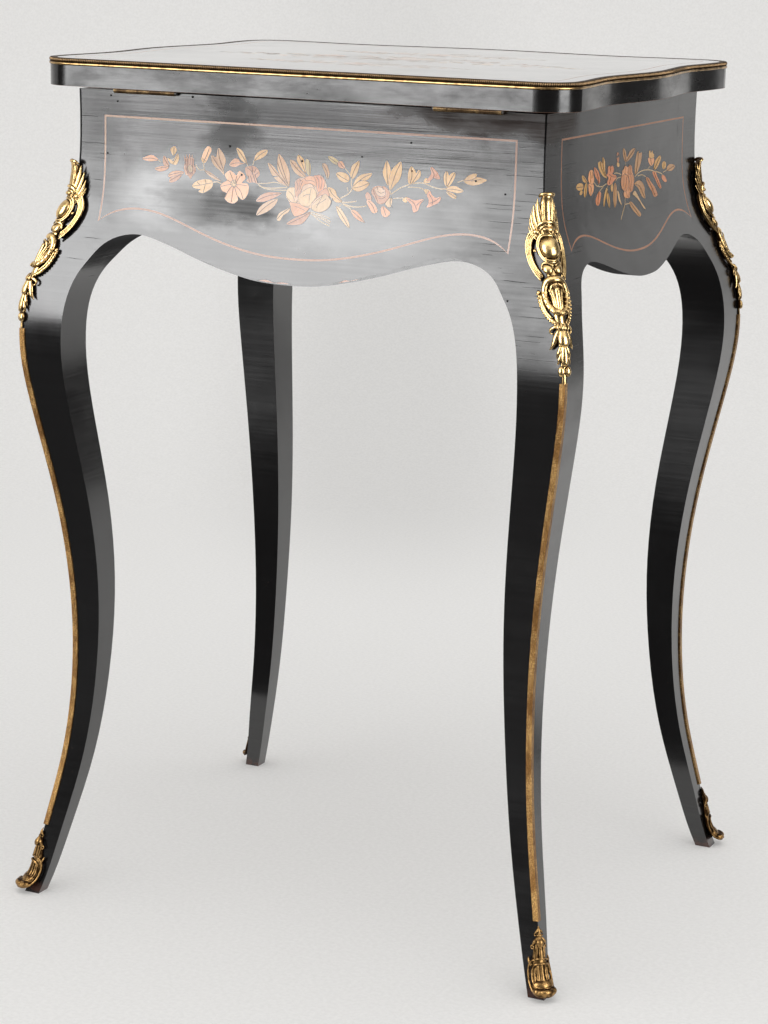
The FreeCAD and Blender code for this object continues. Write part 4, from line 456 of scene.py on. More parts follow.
class Casting:
    def __init__(self):
        self.points, self.crests, self.faces = [], [], []

    def add(self, points, crests, faces):
        start = len(self.points)
        self.points += [tuple(p) for p in points]
        self.crests += list(crests)
        self.faces += [tuple(start + i for i in face) for face in faces]

    def tube(self, path, radii, flat=1.0, sides=8, closed=False, count=None, ridge=0.0):
        """A rod along a curve; flat presses it, ridge draws its top to an edge, radii may vary."""
        count = count or max(5, 4 * len(path))
        line = curve_through(path, count, closed)
        radii = np.interp(np.linspace(0, 1, count), np.linspace(0, 1, len(radii)), radii)
        if closed:
            run = np.roll(line, -1, 0) - np.roll(line, 1, 0)
        else:
            run = np.gradient(line, axis=0)
        side = np.stack([run[:, 1], -run[:, 0], np.zeros(count)], 1)
        side /= np.linalg.norm(side, axis=1)[:, None] + 1e-9
        run /= np.linalg.norm(run, axis=1)[:, None] + 1e-9
        lift = np.cross(run, side)
        lift *= np.sign(lift[:, 2:3] + 1e-9)
        turns = np.linspace(0, 2 * math.pi, sides, endpoint=False)
        points, crests = [], []
        for k in range(count):
            for turn in turns:
                up = math.sin(turn)
                reach = up * flat * (1 + ridge * (1 - abs(math.cos(turn))) if up > 0 else 1)
                points.append(line[k] + radii[k] * (side[k] * math.cos(turn) + lift[k] * reach))
                crests.append(0.5 + 0.5 * up)
        faces = []
        for k in range(count if closed else count - 1):
            follow = (k + 1) % count
            for s in range(sides):
                t = (s + 1) % sides
                faces.append((k * sides + s, k * sides + t, follow * sides + t, follow * sides + s))
        if not closed:
            for k in (0, count - 1):
                outward = run[k] * (1 if k else -1) * radii[k] * 0.6
                points.append(line[k] + outward)
                crests.append(0.5)
                for s in range(sides):
                    faces.append((k * sides + s, k * sides + (s + 1) % sides, len(points) - 1))
        self.add(points, crests, faces)

    def pair(self, path, radii, **shape):
        for sign in (1, -1):
            self.tube([(sign * u, z, r) for u, z, r in path], radii, **shape)

    def ball(self, centre, radii, rings=7, sides=12):
        points, crests = [(centre[0], centre[1], centre[2] + radii[2])], [1.0]
        for k in range(1, rings):
            drop = math.pi * k / rings
            for s in range(sides):
                turn = 2 * math.pi * s / sides
                spot = (math.sin(drop) * math.cos(turn), math.sin(drop) * math.sin(turn), math.cos(drop))
                points.append(tuple(c + r * v for c, r, v in zip(centre, radii, spot)))
                crests.append(0.5 + 0.5 * math.cos(drop))
        points.append((centre[0], centre[1], centre[2] - radii[2]))
        crests.append(0.0)
        last = len(points) - 1
        faces = [(0, 1 + s, 1 + (s + 1) % sides) for s in range(sides)]
        for k in range(rings - 2):
            for s in range(sides):
                a, b = 1 + k * sides + s, 1 + k * sides + (s + 1) % sides
                faces.append((a, b, b + sides, a + sides))
        base = 1 + (rings - 2) * sides
        faces += [(base + s, base + (s + 1) % sides, last) for s in range(sides)]
        self.add(points, crests, faces)

    def balls(self, centre, radii, **shape):
        for sign in (1, -1):
            self.ball((sign * centre[0], centre[1], centre[2]), radii, **shape)

    def ring(self, centre, across, tall, radius, flat=1.0, count=28, sides=8):
        turns = np.linspace(0, 2 * math.pi, 12, endpoint=False)
        path = [(centre[0] + across * math.cos(t), centre[1] + tall * math.sin(t), centre[2]) for t in turns]
        self.tube(path, [radius, radius], flat=flat, closed=True, count=count, sides=sides)

    def wrapped(self, name, corner, material):
        """The casting on one corner of the table, in metres."""
        across, height, relief = np.array(self.points).T
        angle = FOLD * np.tanh(across / FOLD_REACH)
        aside = np.sign(across) * np.interp(np.abs(across), fold_steps, fold_aside)
        back = np.interp(np.abs(across), fold_steps, fold_back)
        out = (relief * np.cos(angle) - back) * MM
        side = (aside + relief * np.sin(angle)) * MM
        grown = corner_offset(height * MM)
        x = corner[0] * (HALF_LENGTH + grown + math.sqrt(0.5) * (out + side))
        y = corner[1] * (HALF_DEPTH + grown + math.sqrt(0.5) * (out - side))
        points = np.stack([x, y, height * MM], 1)
        return mesh_piece(name, points, self.faces, material, {"crest": self.crests})


def knee_mount():
    """Palmette with a rolled tip, hood, cabochon in reeded scrolls, wreath, beaded collar, husks, drop."""
    c = Casting()
    # Plate behind, which joins the parts
    c.tube([(0, 640, 0), (0, 622, 0), (0, 604, 0), (0, 582, 0), (0, 556, 0), (0, 532, 0), (0, 510, 0)],
           [2.5, 8, 6.5, 6, 5.5, 3.6, 2], flat=0.22, sides=12, count=30)
    # Palmette
    c.tube([(-3.4, 641.6, 4.0), (-1.8, 643.4, 5.6), (0, 643.9, 6.2), (1.8, 643.4, 5.6), (3.4, 641.6, 4.0)],
           [0.7, 1.4, 1.7, 1.4, 0.7], count=16)
    c.tube([(0, 614, 1.8), (0, 628, 2.4), (0, 637, 2.8), (0, 643, 5.0)], [2.4, 3.3, 3.1, 1.8], flat=0.7,
           ridge=0.5, count=18)
    leaves = [
        ((1.8, 615, 2.0), (4.2, 628, 2.6), (5.3, 640.0, 2.8), 2.4),
        ((3.8, 615, 1.8), (7.3, 624, 2.4), (8.8, 635.0, 2.4), 2.4),
        ((5.6, 614, 1.6), (9.6, 619, 2.2), (11.4, 628.5, 2.0), 2.1),
        ((7.4, 613, 1.4), (11.0, 616, 1.8), (13.2, 622.0, 1.6), 1.5),
    ]
    for root, middle, tip, width in leaves:
        c.pair([root, middle, tip], [width * 0.6, width, width * 0.85, 0.2], flat=0.65, ridge=0.45, count=14)
        for aside, drop in ((0.9, 3.0), (-0.7, 4.8)):
            line = [(p[0] + aside * s, p[1] - drop, p[2] + 1.1)
                    for p, s in zip((root, middle, tip), (0.5, 1, 1))]
            c.pair(line, [0.3, 0.6, 0.55, 0.15], count=10, sides=6)
    c.pair([(1.0, 619, 3.8), (1.5, 629, 4.4), (1.2, 638, 4.8)], [0.3, 0.6, 0.3], count=12, sides=6)
    # Hood over the cabochon
    c.tube([(-6.2, 616.4, 3.4), (-4.4, 620.2, 4.4), (0, 623.0, 5.4), (4.4, 620.2, 4.4), (6.2, 616.4, 3.4)],
           [0.9, 1.25, 1.35, 1.25, 0.9], count=18)
    c.tube([(-4.2, 616.0, 3.6), (-2.8, 618.4, 4.4), (0, 620.3, 5.0), (2.8, 618.4, 4.4), (4.2, 616.0, 3.6)],
           [0.6, 0.75, 0.6], count=16)
    c.ball((0, 617.4, 3.8), (2.8, 2.1, 2.6))
    # Cabochon in its rings
    c.ball((0, 603.8, 1.8), (5.9, 8.4, 5.8), rings=12, sides=20)
    c.ring((0, 603.8, 3.8), 6.7, 9.2, 0.8, count=36)
    c.ring((0, 603.8, 2.8), 8.1, 10.5, 1.05, count=36)
    # Reeded scrolls each side
    scroll = [(7.4, 617.2), (12.2, 614.8), (16.4, 608.8), (18.2, 601.0), (17.5, 592.4), (14.6, 585.4),
              (10.6, 579.8)]
    hub = np.array((3.0, 599.0))
    for share, radius, relief in ((1.0, 0.95, 2.6), (0.915, 0.6, 2.7), (0.84, 0.6, 2.7), (0.765, 0.8, 2.6)):
        path = [tuple(hub + (np.array(p) - hub) * share) + (relief,) for p in scroll]
        c.pair(path, [radius * 0.8, radius, radius, radius * 0.9], count=30)
    base = [tuple(hub + (np.array(p) - hub) * 0.88) + (1.0,) for p in scroll]
    c.pair(base, [1.8, 2.7, 2.7, 2.0], flat=0.5, count=26)
    c.balls((7.6, 615.0, 3.4), (2.3, 2.0, 2.0))
    c.balls((10.8, 601.0, 2.8), (1.35, 1.45, 1.6))
    # Lobes under the cabochon
    c.balls((3.7, 588.4, 1.8), (3.6, 4.2, 3.0), rings=8, sides=14)
    c.pair([(0.5, 591.4, 3.9), (3.4, 593.0, 3.9), (6.6, 591.2, 2.9), (7.8, 587.4, 2.0)],
           [0.5, 0.85, 0.85, 0.6], count=16)
    # Wreath: a thick ring bound with bands, a fluted tongue inside it
    c.ring((0, 569.6, 2.0), 9.4, 12.0, 2.5, count=44, sides=10)
    for degrees in (172, 192, 211, 231, 251, 270, 289, 309, 329, 348, 368):
        turn = math.radians(degrees)
        spot = (9.4 * math.cos(turn), 569.6 + 12.0 * math.sin(turn))
        along = (-9.4 * math.sin(turn), 12.0 * math.cos(turn))
        size = math.hypot(*along)
        across = (along[1] / size * 2.5, -along[0] / size * 2.5)
        c.tube([(spot[0] - across[0], spot[1] - across[1], 1.6), spot + (4.9,),
                (spot[0] + across[0], spot[1] + across[1], 1.6)], [0.5, 0.7, 0.5], count=9, sides=6)
    c.tube([(0, 557.4, 1.2), (0, 566, 1.9), (0, 575, 2.2)], [1.3, 1.3, 1.5], ridge=0.3, count=12)
    c.pair([(1.3, 557.6, 1.2), (1.8, 566, 1.7), (3.5, 575.4, 2.0)], [0.8, 0.9, 0.9], count=12)
    c.pair([(2.4, 558.4, 0.9), (3.0, 566, 1.2), (5.4, 573.4, 1.5)], [0.6, 0.7, 0.6], count=12)
    c.pair([(0.2, 578.6, 4.2), (2.4, 576.2, 3.8), (4.4, 571.6, 2.6)], [0.5, 0.75, 0.4], count=12)
    # Beaded collar round the lower half of the ring
    edge_of_collar = [(15.4, 569.4, 1.4), (15.0, 562.4, 1.6), (12.6, 556.2, 1.8), (8.8, 551.4, 2.0),
                      (4.0, 548.6, 2.4)]
    c.pair([(u - 0.6, z + 0.6, r - 0.9) for u, z, r in edge_of_collar], [1.3, 2.1, 2.1, 2.0, 1.4], flat=0.7,
           count=20)
    for u, z, relief in curve_through(edge_of_collar, 11):
        c.balls((u, z, relief), (1.15, 1.15, 1.3), rings=6, sides=8)
    c.pair([(12.9, 569.0, 1.4), (12.5, 563.0, 1.6), (10.2, 557.4, 1.9), (6.2, 553.0, 2.4)],
           [0.8, 1.0, 1.0, 0.7], count=16)
    c.balls((14.3, 570.8, 1.6), (1.6, 1.6, 1.5))
    # Knot and ribbon ends
    c.ball((0, 546.8, 1.8), (3.2, 2.4, 2.2))
    c.pair([(1.5, 547.4, 2.4), (5.4, 546.4, 2.6), (8.6, 544.2, 2.0), (8.9, 541.8, 1.6), (7.0, 541.4, 1.8)],
           [0.9, 1.15, 1.1, 0.9, 0.6], count=18)
    for u in (-2.2, -0.7, 0.7, 2.2):
        c.tube([(u, 549.8, 2.6), (u * 1.1, 546.8, 3.9), (u * 0.9, 544.4, 3.2)], [0.45, 0.65, 0.45], count=8,
               sides=6)
    # Bell husk
    c.tube([(0, 545, 1.8), (0, 539, 2.4), (0, 534.6, 2.4), (0, 532, 1.8)], [2.0, 3.3, 3.1, 0.8], flat=0.62,
           ridge=0.3,
           count=14, sides=10)
    c.pair([(2.2, 544.6, 1.4), (5.0, 538.6, 1.6), (7.6, 532.8, 1.6), (10.8, 529.2, 1.4)],
           [1.6, 2.4, 1.7, 0.3], flat=0.65,
           ridge=0.4, count=16)
    c.pair([(3.4, 542, 2.6), (5.6, 536.4, 2.8), (8.0, 531.6, 2.2)], [0.3, 0.6, 0.3], count=10, sides=6)
    # Lower husk
    c.tube([(0, 533, 1.6), (0, 526, 2.2), (0, 519.6, 2.0), (0, 517.2, 1.4)], [1.4, 2.2, 1.9, 0.4], flat=0.7,
           ridge=0.5, count=14)
    c.pair([(1.6, 532.6, 1.2), (3.6, 527.4, 1.6), (5.6, 523.2, 1.2)], [1.2, 1.6, 0.3], flat=0.7, ridge=0.4,
           count=12)
    c.pair([(1.6, 527.4, 1.4), (3.2, 522.4, 1.7), (4.9, 518.4, 1.2)], [1.2, 1.5, 0.3], flat=0.7, ridge=0.4,
           count=12)
    # Split drop, and the tail that meets the strip
    c.balls((2.2, 513.6, 1.3), (2.3, 4.3, 2.3), rings=8, sides=12)
    c.tube([(0, 512, 0.1), (0, 506, 0.1), (0, 501.6, 0.0)], [1.8, 2.2, 2.2], flat=0.4)
    return c


def foot_mount():
    """Small husks over a fluted neck, and a shell with a framed oval whose toe rolls outwards."""
    c = Casting()
    c.tube([(0, 53, 0), (0, 43, 0), (0, 34, 0), (0, 21, 0.4), (0, 10, 2.4)], [1.6, 3.6, 6.4, 9.4, 7.2],
           flat=0.3,
           sides=12, count=22)
    # Upper husk
    c.tube([(0, 57.4, 0.6), (0, 54.6, 1.5), (0, 51.4, 1.7)], [0.4, 0.9, 1.0])
    c.pair([(0.5, 55.4, 1.0), (1.7, 53.0, 1.6), (3.3, 51.3, 1.0)], [0.5, 0.8, 0.35])
    c.ball((0, 50.6, 1.6), (1.9, 1.1, 1.6))
    c.balls((2.6, 50.4, 1.3), (0.8, 0.8, 0.9))
    # Wider husk with a curl at each side
    c.tube([(0, 49.6, 1.8), (0, 46.0, 3.0), (0, 42.6, 2.8)], [1.0, 2.0, 1.5], ridge=0.3)
    c.pair([(0.9, 49.2, 1.6), (2.8, 46.0, 2.2), (5.0, 42.6, 1.6)], [0.7, 1.5, 0.6], ridge=0.3)
    for sign in (1, -1):
        c.ring((sign * 5.3, 40.9, 1.5), 1.1, 1.3, 0.6, count=14)
    # Fluted neck
    c.tube([(0, 42.0, 2.2), (0, 37.4, 2.6), (0, 32.8, 2.7)], [1.0, 1.1, 1.2], ridge=0.3)
    c.pair([(2.0, 42.0, 2.0), (2.1, 37.4, 2.2), (2.1, 33.0, 2.3)], [0.8, 0.9, 0.9])
    c.pair([(4.0, 41.8, 1.5), (3.8, 37.4, 1.6), (3.6, 33.0, 1.8)], [0.6, 0.8, 0.9])
    c.tube([(-3.4, 32.0, 2.2), (0, 32.8, 3.4), (3.4, 32.0, 2.2)], [0.7, 0.9, 0.7])
    # Shell: outer frame with an ear at each shoulder, inner frame, grooves
    rim = [(3.6, 31.4, 2.4), (6.8, 29.8, 2.2), (9.2, 25.6, 2.0), (10.0, 19.6, 2.4), (9.2, 13.4, 3.4),
           (6.6, 8.8, 5.2),
           (3.0, 6.6, 7.4), (0, 6.0, 8.6)]
    c.pair(rim, [0.8, 1.0, 1.1, 1.1, 1.2], count=30)
    c.pair([(7.2, 26.4, 2.0), (8.9, 29.8, 1.8), (9.5, 32.6, 1.2)], [1.1, 1.2, 0.4], count=12)
    oval = [(0, 29.2, 3.6), (3.8, 27.6, 3.3), (6.2, 22.6, 3.2), (6.0, 16.4, 4.2), (3.6, 12.4, 5.8),
            (0, 11.2, 7.0)]
    c.pair(oval, [0.85, 0.85], count=26)
    for u, high, low in ((0, 28.0, 12.4), (1.9, 27.4, 12.8), (3.8, 25.0, 14.2)):
        path = [(u, high, 2.7 - 0.12 * u), (u * 1.05, 0.5 * (high + low), 2.9 - 0.1 * u),
                (u * 0.95, low, 5.2 - 0.2 * u)]
        if u:
            c.pair(path, [0.7, 0.95, 0.8], count=14)
        else:
            c.tube(path, [0.7, 1.0, 0.9], count=14)
    # Toe: a small roll of lobes
    c.ball((0, 11.6, 3.4), (7.6, 5.6, 3.6), rings=9, sides=16)
    c.tube([(-4.6, 9.0, 5.6), (-2.8, 8.8, 7.6), (0, 8.8, 8.6), (2.8, 8.8, 7.6), (4.6, 9.0, 5.6)],
           [1.5, 2.5, 3.1, 2.5, 1.5], count=20, sides=12)
    c.ball((0, 9.6, 9.6), (1.7, 2.5, 2.6), rings=8, sides=12)
    c.balls((2.5, 9.4, 8.8), (1.3, 2.2, 2.2), rings=8, sides=12)
    c.balls((4.6, 9.2, 6.8), (1.1, 1.7, 1.7), rings=6, sides=10)
    return c


mount, foot = knee_mount(), foot_mount()
for corner, signs in CORNERS.items():
    for casting, node, material in ((mount, "corner_mount", FINISHES["gilt_brass"]),
                                    (foot, "sabot", SABOT_BRASS)):
        piece = casting.wrapped(f"{node}_{corner}_cast", signs, material)
        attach(piece, "carcass")
        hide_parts(f"{node}_{corner}")


# Gilt moulding round the lid

def moulding_outline(count):
    """The outer edge of the lid's moulding, found from the CAD moulding at mid height."""
    tree = surface_of("lid_moulding")
    low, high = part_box("lid_moulding")
    level = low[2] + 0.3 * (high[2] - low[2])
    middle = Vector((0.0, (low[1] + high[1]) / 2, level))
    spots = []
    for k in range(count):
        turn = 2 * math.pi * k / count
        ray = Vector((math.cos(turn), math.sin(turn), 0))
        hit = tree.ray_cast(middle + ray * 0.5, -ray)[0]
        spots.append((hit.x, hit.y))
    return np.array(spots)


outline = moulding_outline(1440)
steps = np.linalg.norm(np.roll(outline, -1, 0) - outline, axis=1)
travel = np.concatenate([[0.0], np.cumsum(steps)])
loop = np.vstack([outline, outline[:1]])
EDGE_COUNT = 900
places = np.linspace(0, travel[-1], EDGE_COUNT, endpoint=False)
edge = np.stack([np.interp(places, travel, loop[:, k]) for k in (0, 1)], 1)
for _ in range(3):
    edge = (np.roll(edge, 1, 0) + 2 * edge + np.roll(edge, -1, 0)) / 4
ahead = np.roll(edge, -1, 0) - np.roll(edge, 1, 0)
outward = np.stack([ahead[:, 1], -ahead[:, 0]], 1)
outward /= np.linalg.norm(outward, axis=1)[:, None]
MOULDING_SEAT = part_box("lid_moulding")[0][2]

# Section of the moulding in millimetres: out from the edge, up from its seat, and how bright
SECTION = [
    (-7.0, 0.0, 0.1), (-1.2, 0.0, 0.2), (-0.5, 0.25, 0.6), (-0.1, 0.75, 1.0), (0.0, 1.25, 1.0),
    (-0.25, 1.85, 0.9),
    (-0.8, 2.3, 0.4), (-1.5, 2.5, 0.0), (-1.9, 2.9, 0.0), (-1.7, 5.0, 0.0), (-2.4, 5.6, 0.1),
    (-6.2, 5.6, 0.3),
    (-7.0, 5.4, 0.3),
]


def ring_of(section):
    rows = []
    for out, up, _ in section:
        ring = edge + outward * (out * MM)
        rows.append(np.column_stack([ring, np.full(EDGE_COUNT, MOULDING_SEAT + up * MM)]))
    points = np.concatenate(rows)
    crests = np.repeat([bright for _, _, bright in section], EDGE_COUNT)
    faces = []
    for r in range(len(section)):
        s = (r + 1) % len(section)
        for k in range(EDGE_COUNT):
            n = (k + 1) % EDGE_COUNT
            faces.append((r * EDGE_COUNT + k, r * EDGE_COUNT + n, s * EDGE_COUNT + n, s * EDGE_COUNT + k))
    return points, crests, faces


def path_object(name, out, up):
    """A closed curve beside the lid's edge, for the node trees to follow."""
    curve = bpy.data.curves.new(name, "CURVE")
    curve.dimensions = "3D"
    line = curve.splines.new("POLY")
    line.points.add(EDGE_COUNT - 1)
    line.use_cyclic_u = True
    ring = edge + outward * (out * MM)
    for point, (x, y) in zip(line.points, ring):
        point.co = (x, y, MOULDING_SEAT + up * MM, 1.0)
    piece = bpy.data.objects.new(name, curve)
    bpy.context.scene.collection.objects.link(piece)
    return piece


def bead_tree():
    """Node tree: grains of one shape, evenly spaced along a curve and leaning with it."""
    tree = bpy.data.node_groups.new("beads_along_edge", "GeometryNodeTree")
    face = tree.interface
    face.new_socket("Geometry", in_out="INPUT", socket_type="NodeSocketGeometry")
    for name in ("Pitch", "Half Width", "Half Depth", "Half Height", "Lean"):
        face.new_socket(name, in_out="INPUT", socket_type="NodeSocketFloat")
    face.new_socket("Material", in_out="INPUT", socket_type="NodeSocketMaterial")
    face.new_socket("Geometry", in_out="OUTPUT", socket_type="NodeSocketGeometry")
    new, link = tree.nodes.new, tree.links.new
    source, result = new("NodeGroupInput"), new("NodeGroupOutput")
    resample = new("GeometryNodeResampleCurve")
    resample.mode = "LENGTH"
    grain = new("GeometryNodeMeshUVSphere")
    grain.inputs["Segments"].default_value = 8
    grain.inputs["Rings"].default_value = 5
    grain.inputs["Radius"].default_value = 1.0
    shape = new("ShaderNodeCombineXYZ")
    sized = new("GeometryNodeTransform")
    tilt = new("ShaderNodeCombineXYZ")
    height = new("GeometryNodeInputPosition")
    store = new("GeometryNodeStoreNamedAttribute")
    store.inputs["Name"].default_value = "crest"
    split = new("ShaderNodeSeparateXYZ")
    crest = new("ShaderNodeMapRange")
    tangent = new("GeometryNodeInputTangent")
    align = new("FunctionNodeAlignRotationToVector")
    align.axis = "X"
    align.pivot_axis = "Z"
    instances = new("GeometryNodeInstanceOnPoints")
    realize = new("GeometryNodeRealizeInstances")
    paint = new("GeometryNodeSetMaterial")
    smooth = new("GeometryNodeSetShadeSmooth")
    link(source.outputs["Geometry"], resample.inputs["Curve"])
    link(source.outputs["Pitch"], resample.inputs["Length"])
    for name, axis in (("Half Width", "X"), ("Half Depth", "Y"), ("Half Height", "Z")):
        link(source.outputs[name], shape.inputs[axis])
    link(source.outputs["Lean"], tilt.inputs["Y"])
    link(height.outputs[0], split.inputs[0])
    link(split.outputs["Y"], crest.inputs["Value"])
    crest.inputs["From Min"].default_value = 0.3
    crest.inputs["From Max"].default_value = -0.7
    link(grain.outputs["Mesh"], store.inputs["Geometry"])
    link(crest.outputs[0], store.inputs["Value"])
    link(store.outputs["Geometry"], sized.inputs["Geometry"])
    link(shape.outputs[0], sized.inputs["Scale"])
    link(tilt.outputs[0], sized.inputs["Rotation"])
    link(tangent.outputs[0], align.inputs["Vector"])
    link(resample.outputs[0], instances.inputs["Points"])
    link(sized.outputs[0], instances.inputs["Instance"])
    link(align.outputs[0], instances.inputs["Rotation"])
    link(instances.outputs[0], realize.inputs[0])
    link(realize.outputs[0], smooth.inputs[0])
    link(smooth.outputs[0], paint.inputs["Geometry"])
    link(source.outputs["Material"], paint.inputs["Material"])
    link(paint.outputs[0], result.inputs[0])
    return tree


BEADS = bead_tree()


def beads(name, path, sizes, material):
    """Run the node tree on a path and keep its result as a plain mesh."""
    modifier = path.modifiers.new("beads", "NODES")
    modifier.node_group = BEADS
    sockets = {item.name: item.identifier for item in BEADS.interface.items_tree if item.in_out == "INPUT"}
    for key, value in sizes.items():
        modifier[sockets[key]] = value
    modifier[sockets["Material"]] = material
    graph = bpy.context.evaluated_depsgraph_get()
    mesh = bpy.data.meshes.new_from_object(path.evaluated_get(graph), depsgraph=graph)
    path.modifiers.clear()
    bpy.data.objects.remove(path)
    piece = bpy.data.objects.new(name, mesh)
    bpy.context.scene.collection.objects.link(piece)
    return piece


points, crests, faces = ring_of(SECTION)
moulding_body = mesh_piece("lid_moulding_body", points, faces, MOULDING_BRASS, {"crest": crests})
ribs = beads("lid_moulding_ribs", path_object("rib_path", -1.35, 4.1),
             {"Pitch": 1.7 * MM, "Half Width": 0.72 * MM, "Half Depth": 1.2 * MM, "Half Height": 1.65 * MM,
              "Lean": 0.22}, RIB_BRASS)
for piece in (moulding_body, ribs):
    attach(piece, "lid")
    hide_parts("lid_moulding")


# Marquetry: traced as (across, up) in millimetres, the back and the left end as the photograph shows them

OCHRE, CREAM, PEACH = (0.78, 0.42, 0.1), (0.8, 0.5, 0.22), (0.7, 0.27, 0.08)
PINK, ROSE, ORANGE = (0.55, 0.2, 0.06), (0.75, 0.45, 0.25), (0.95, 0.42, 0.16)
TAN, SALMON, GREEN = (0.6, 0.3, 0.1), (0.75, 0.25, 0.08), (0.5, 0.33, 0.07)
STEM_TINT, LINE_TINT, EDGE_TINT = (0.62, 0.42, 0.2), (0.07, 0.025, 0.012), (0.03, 0.014, 0.008)

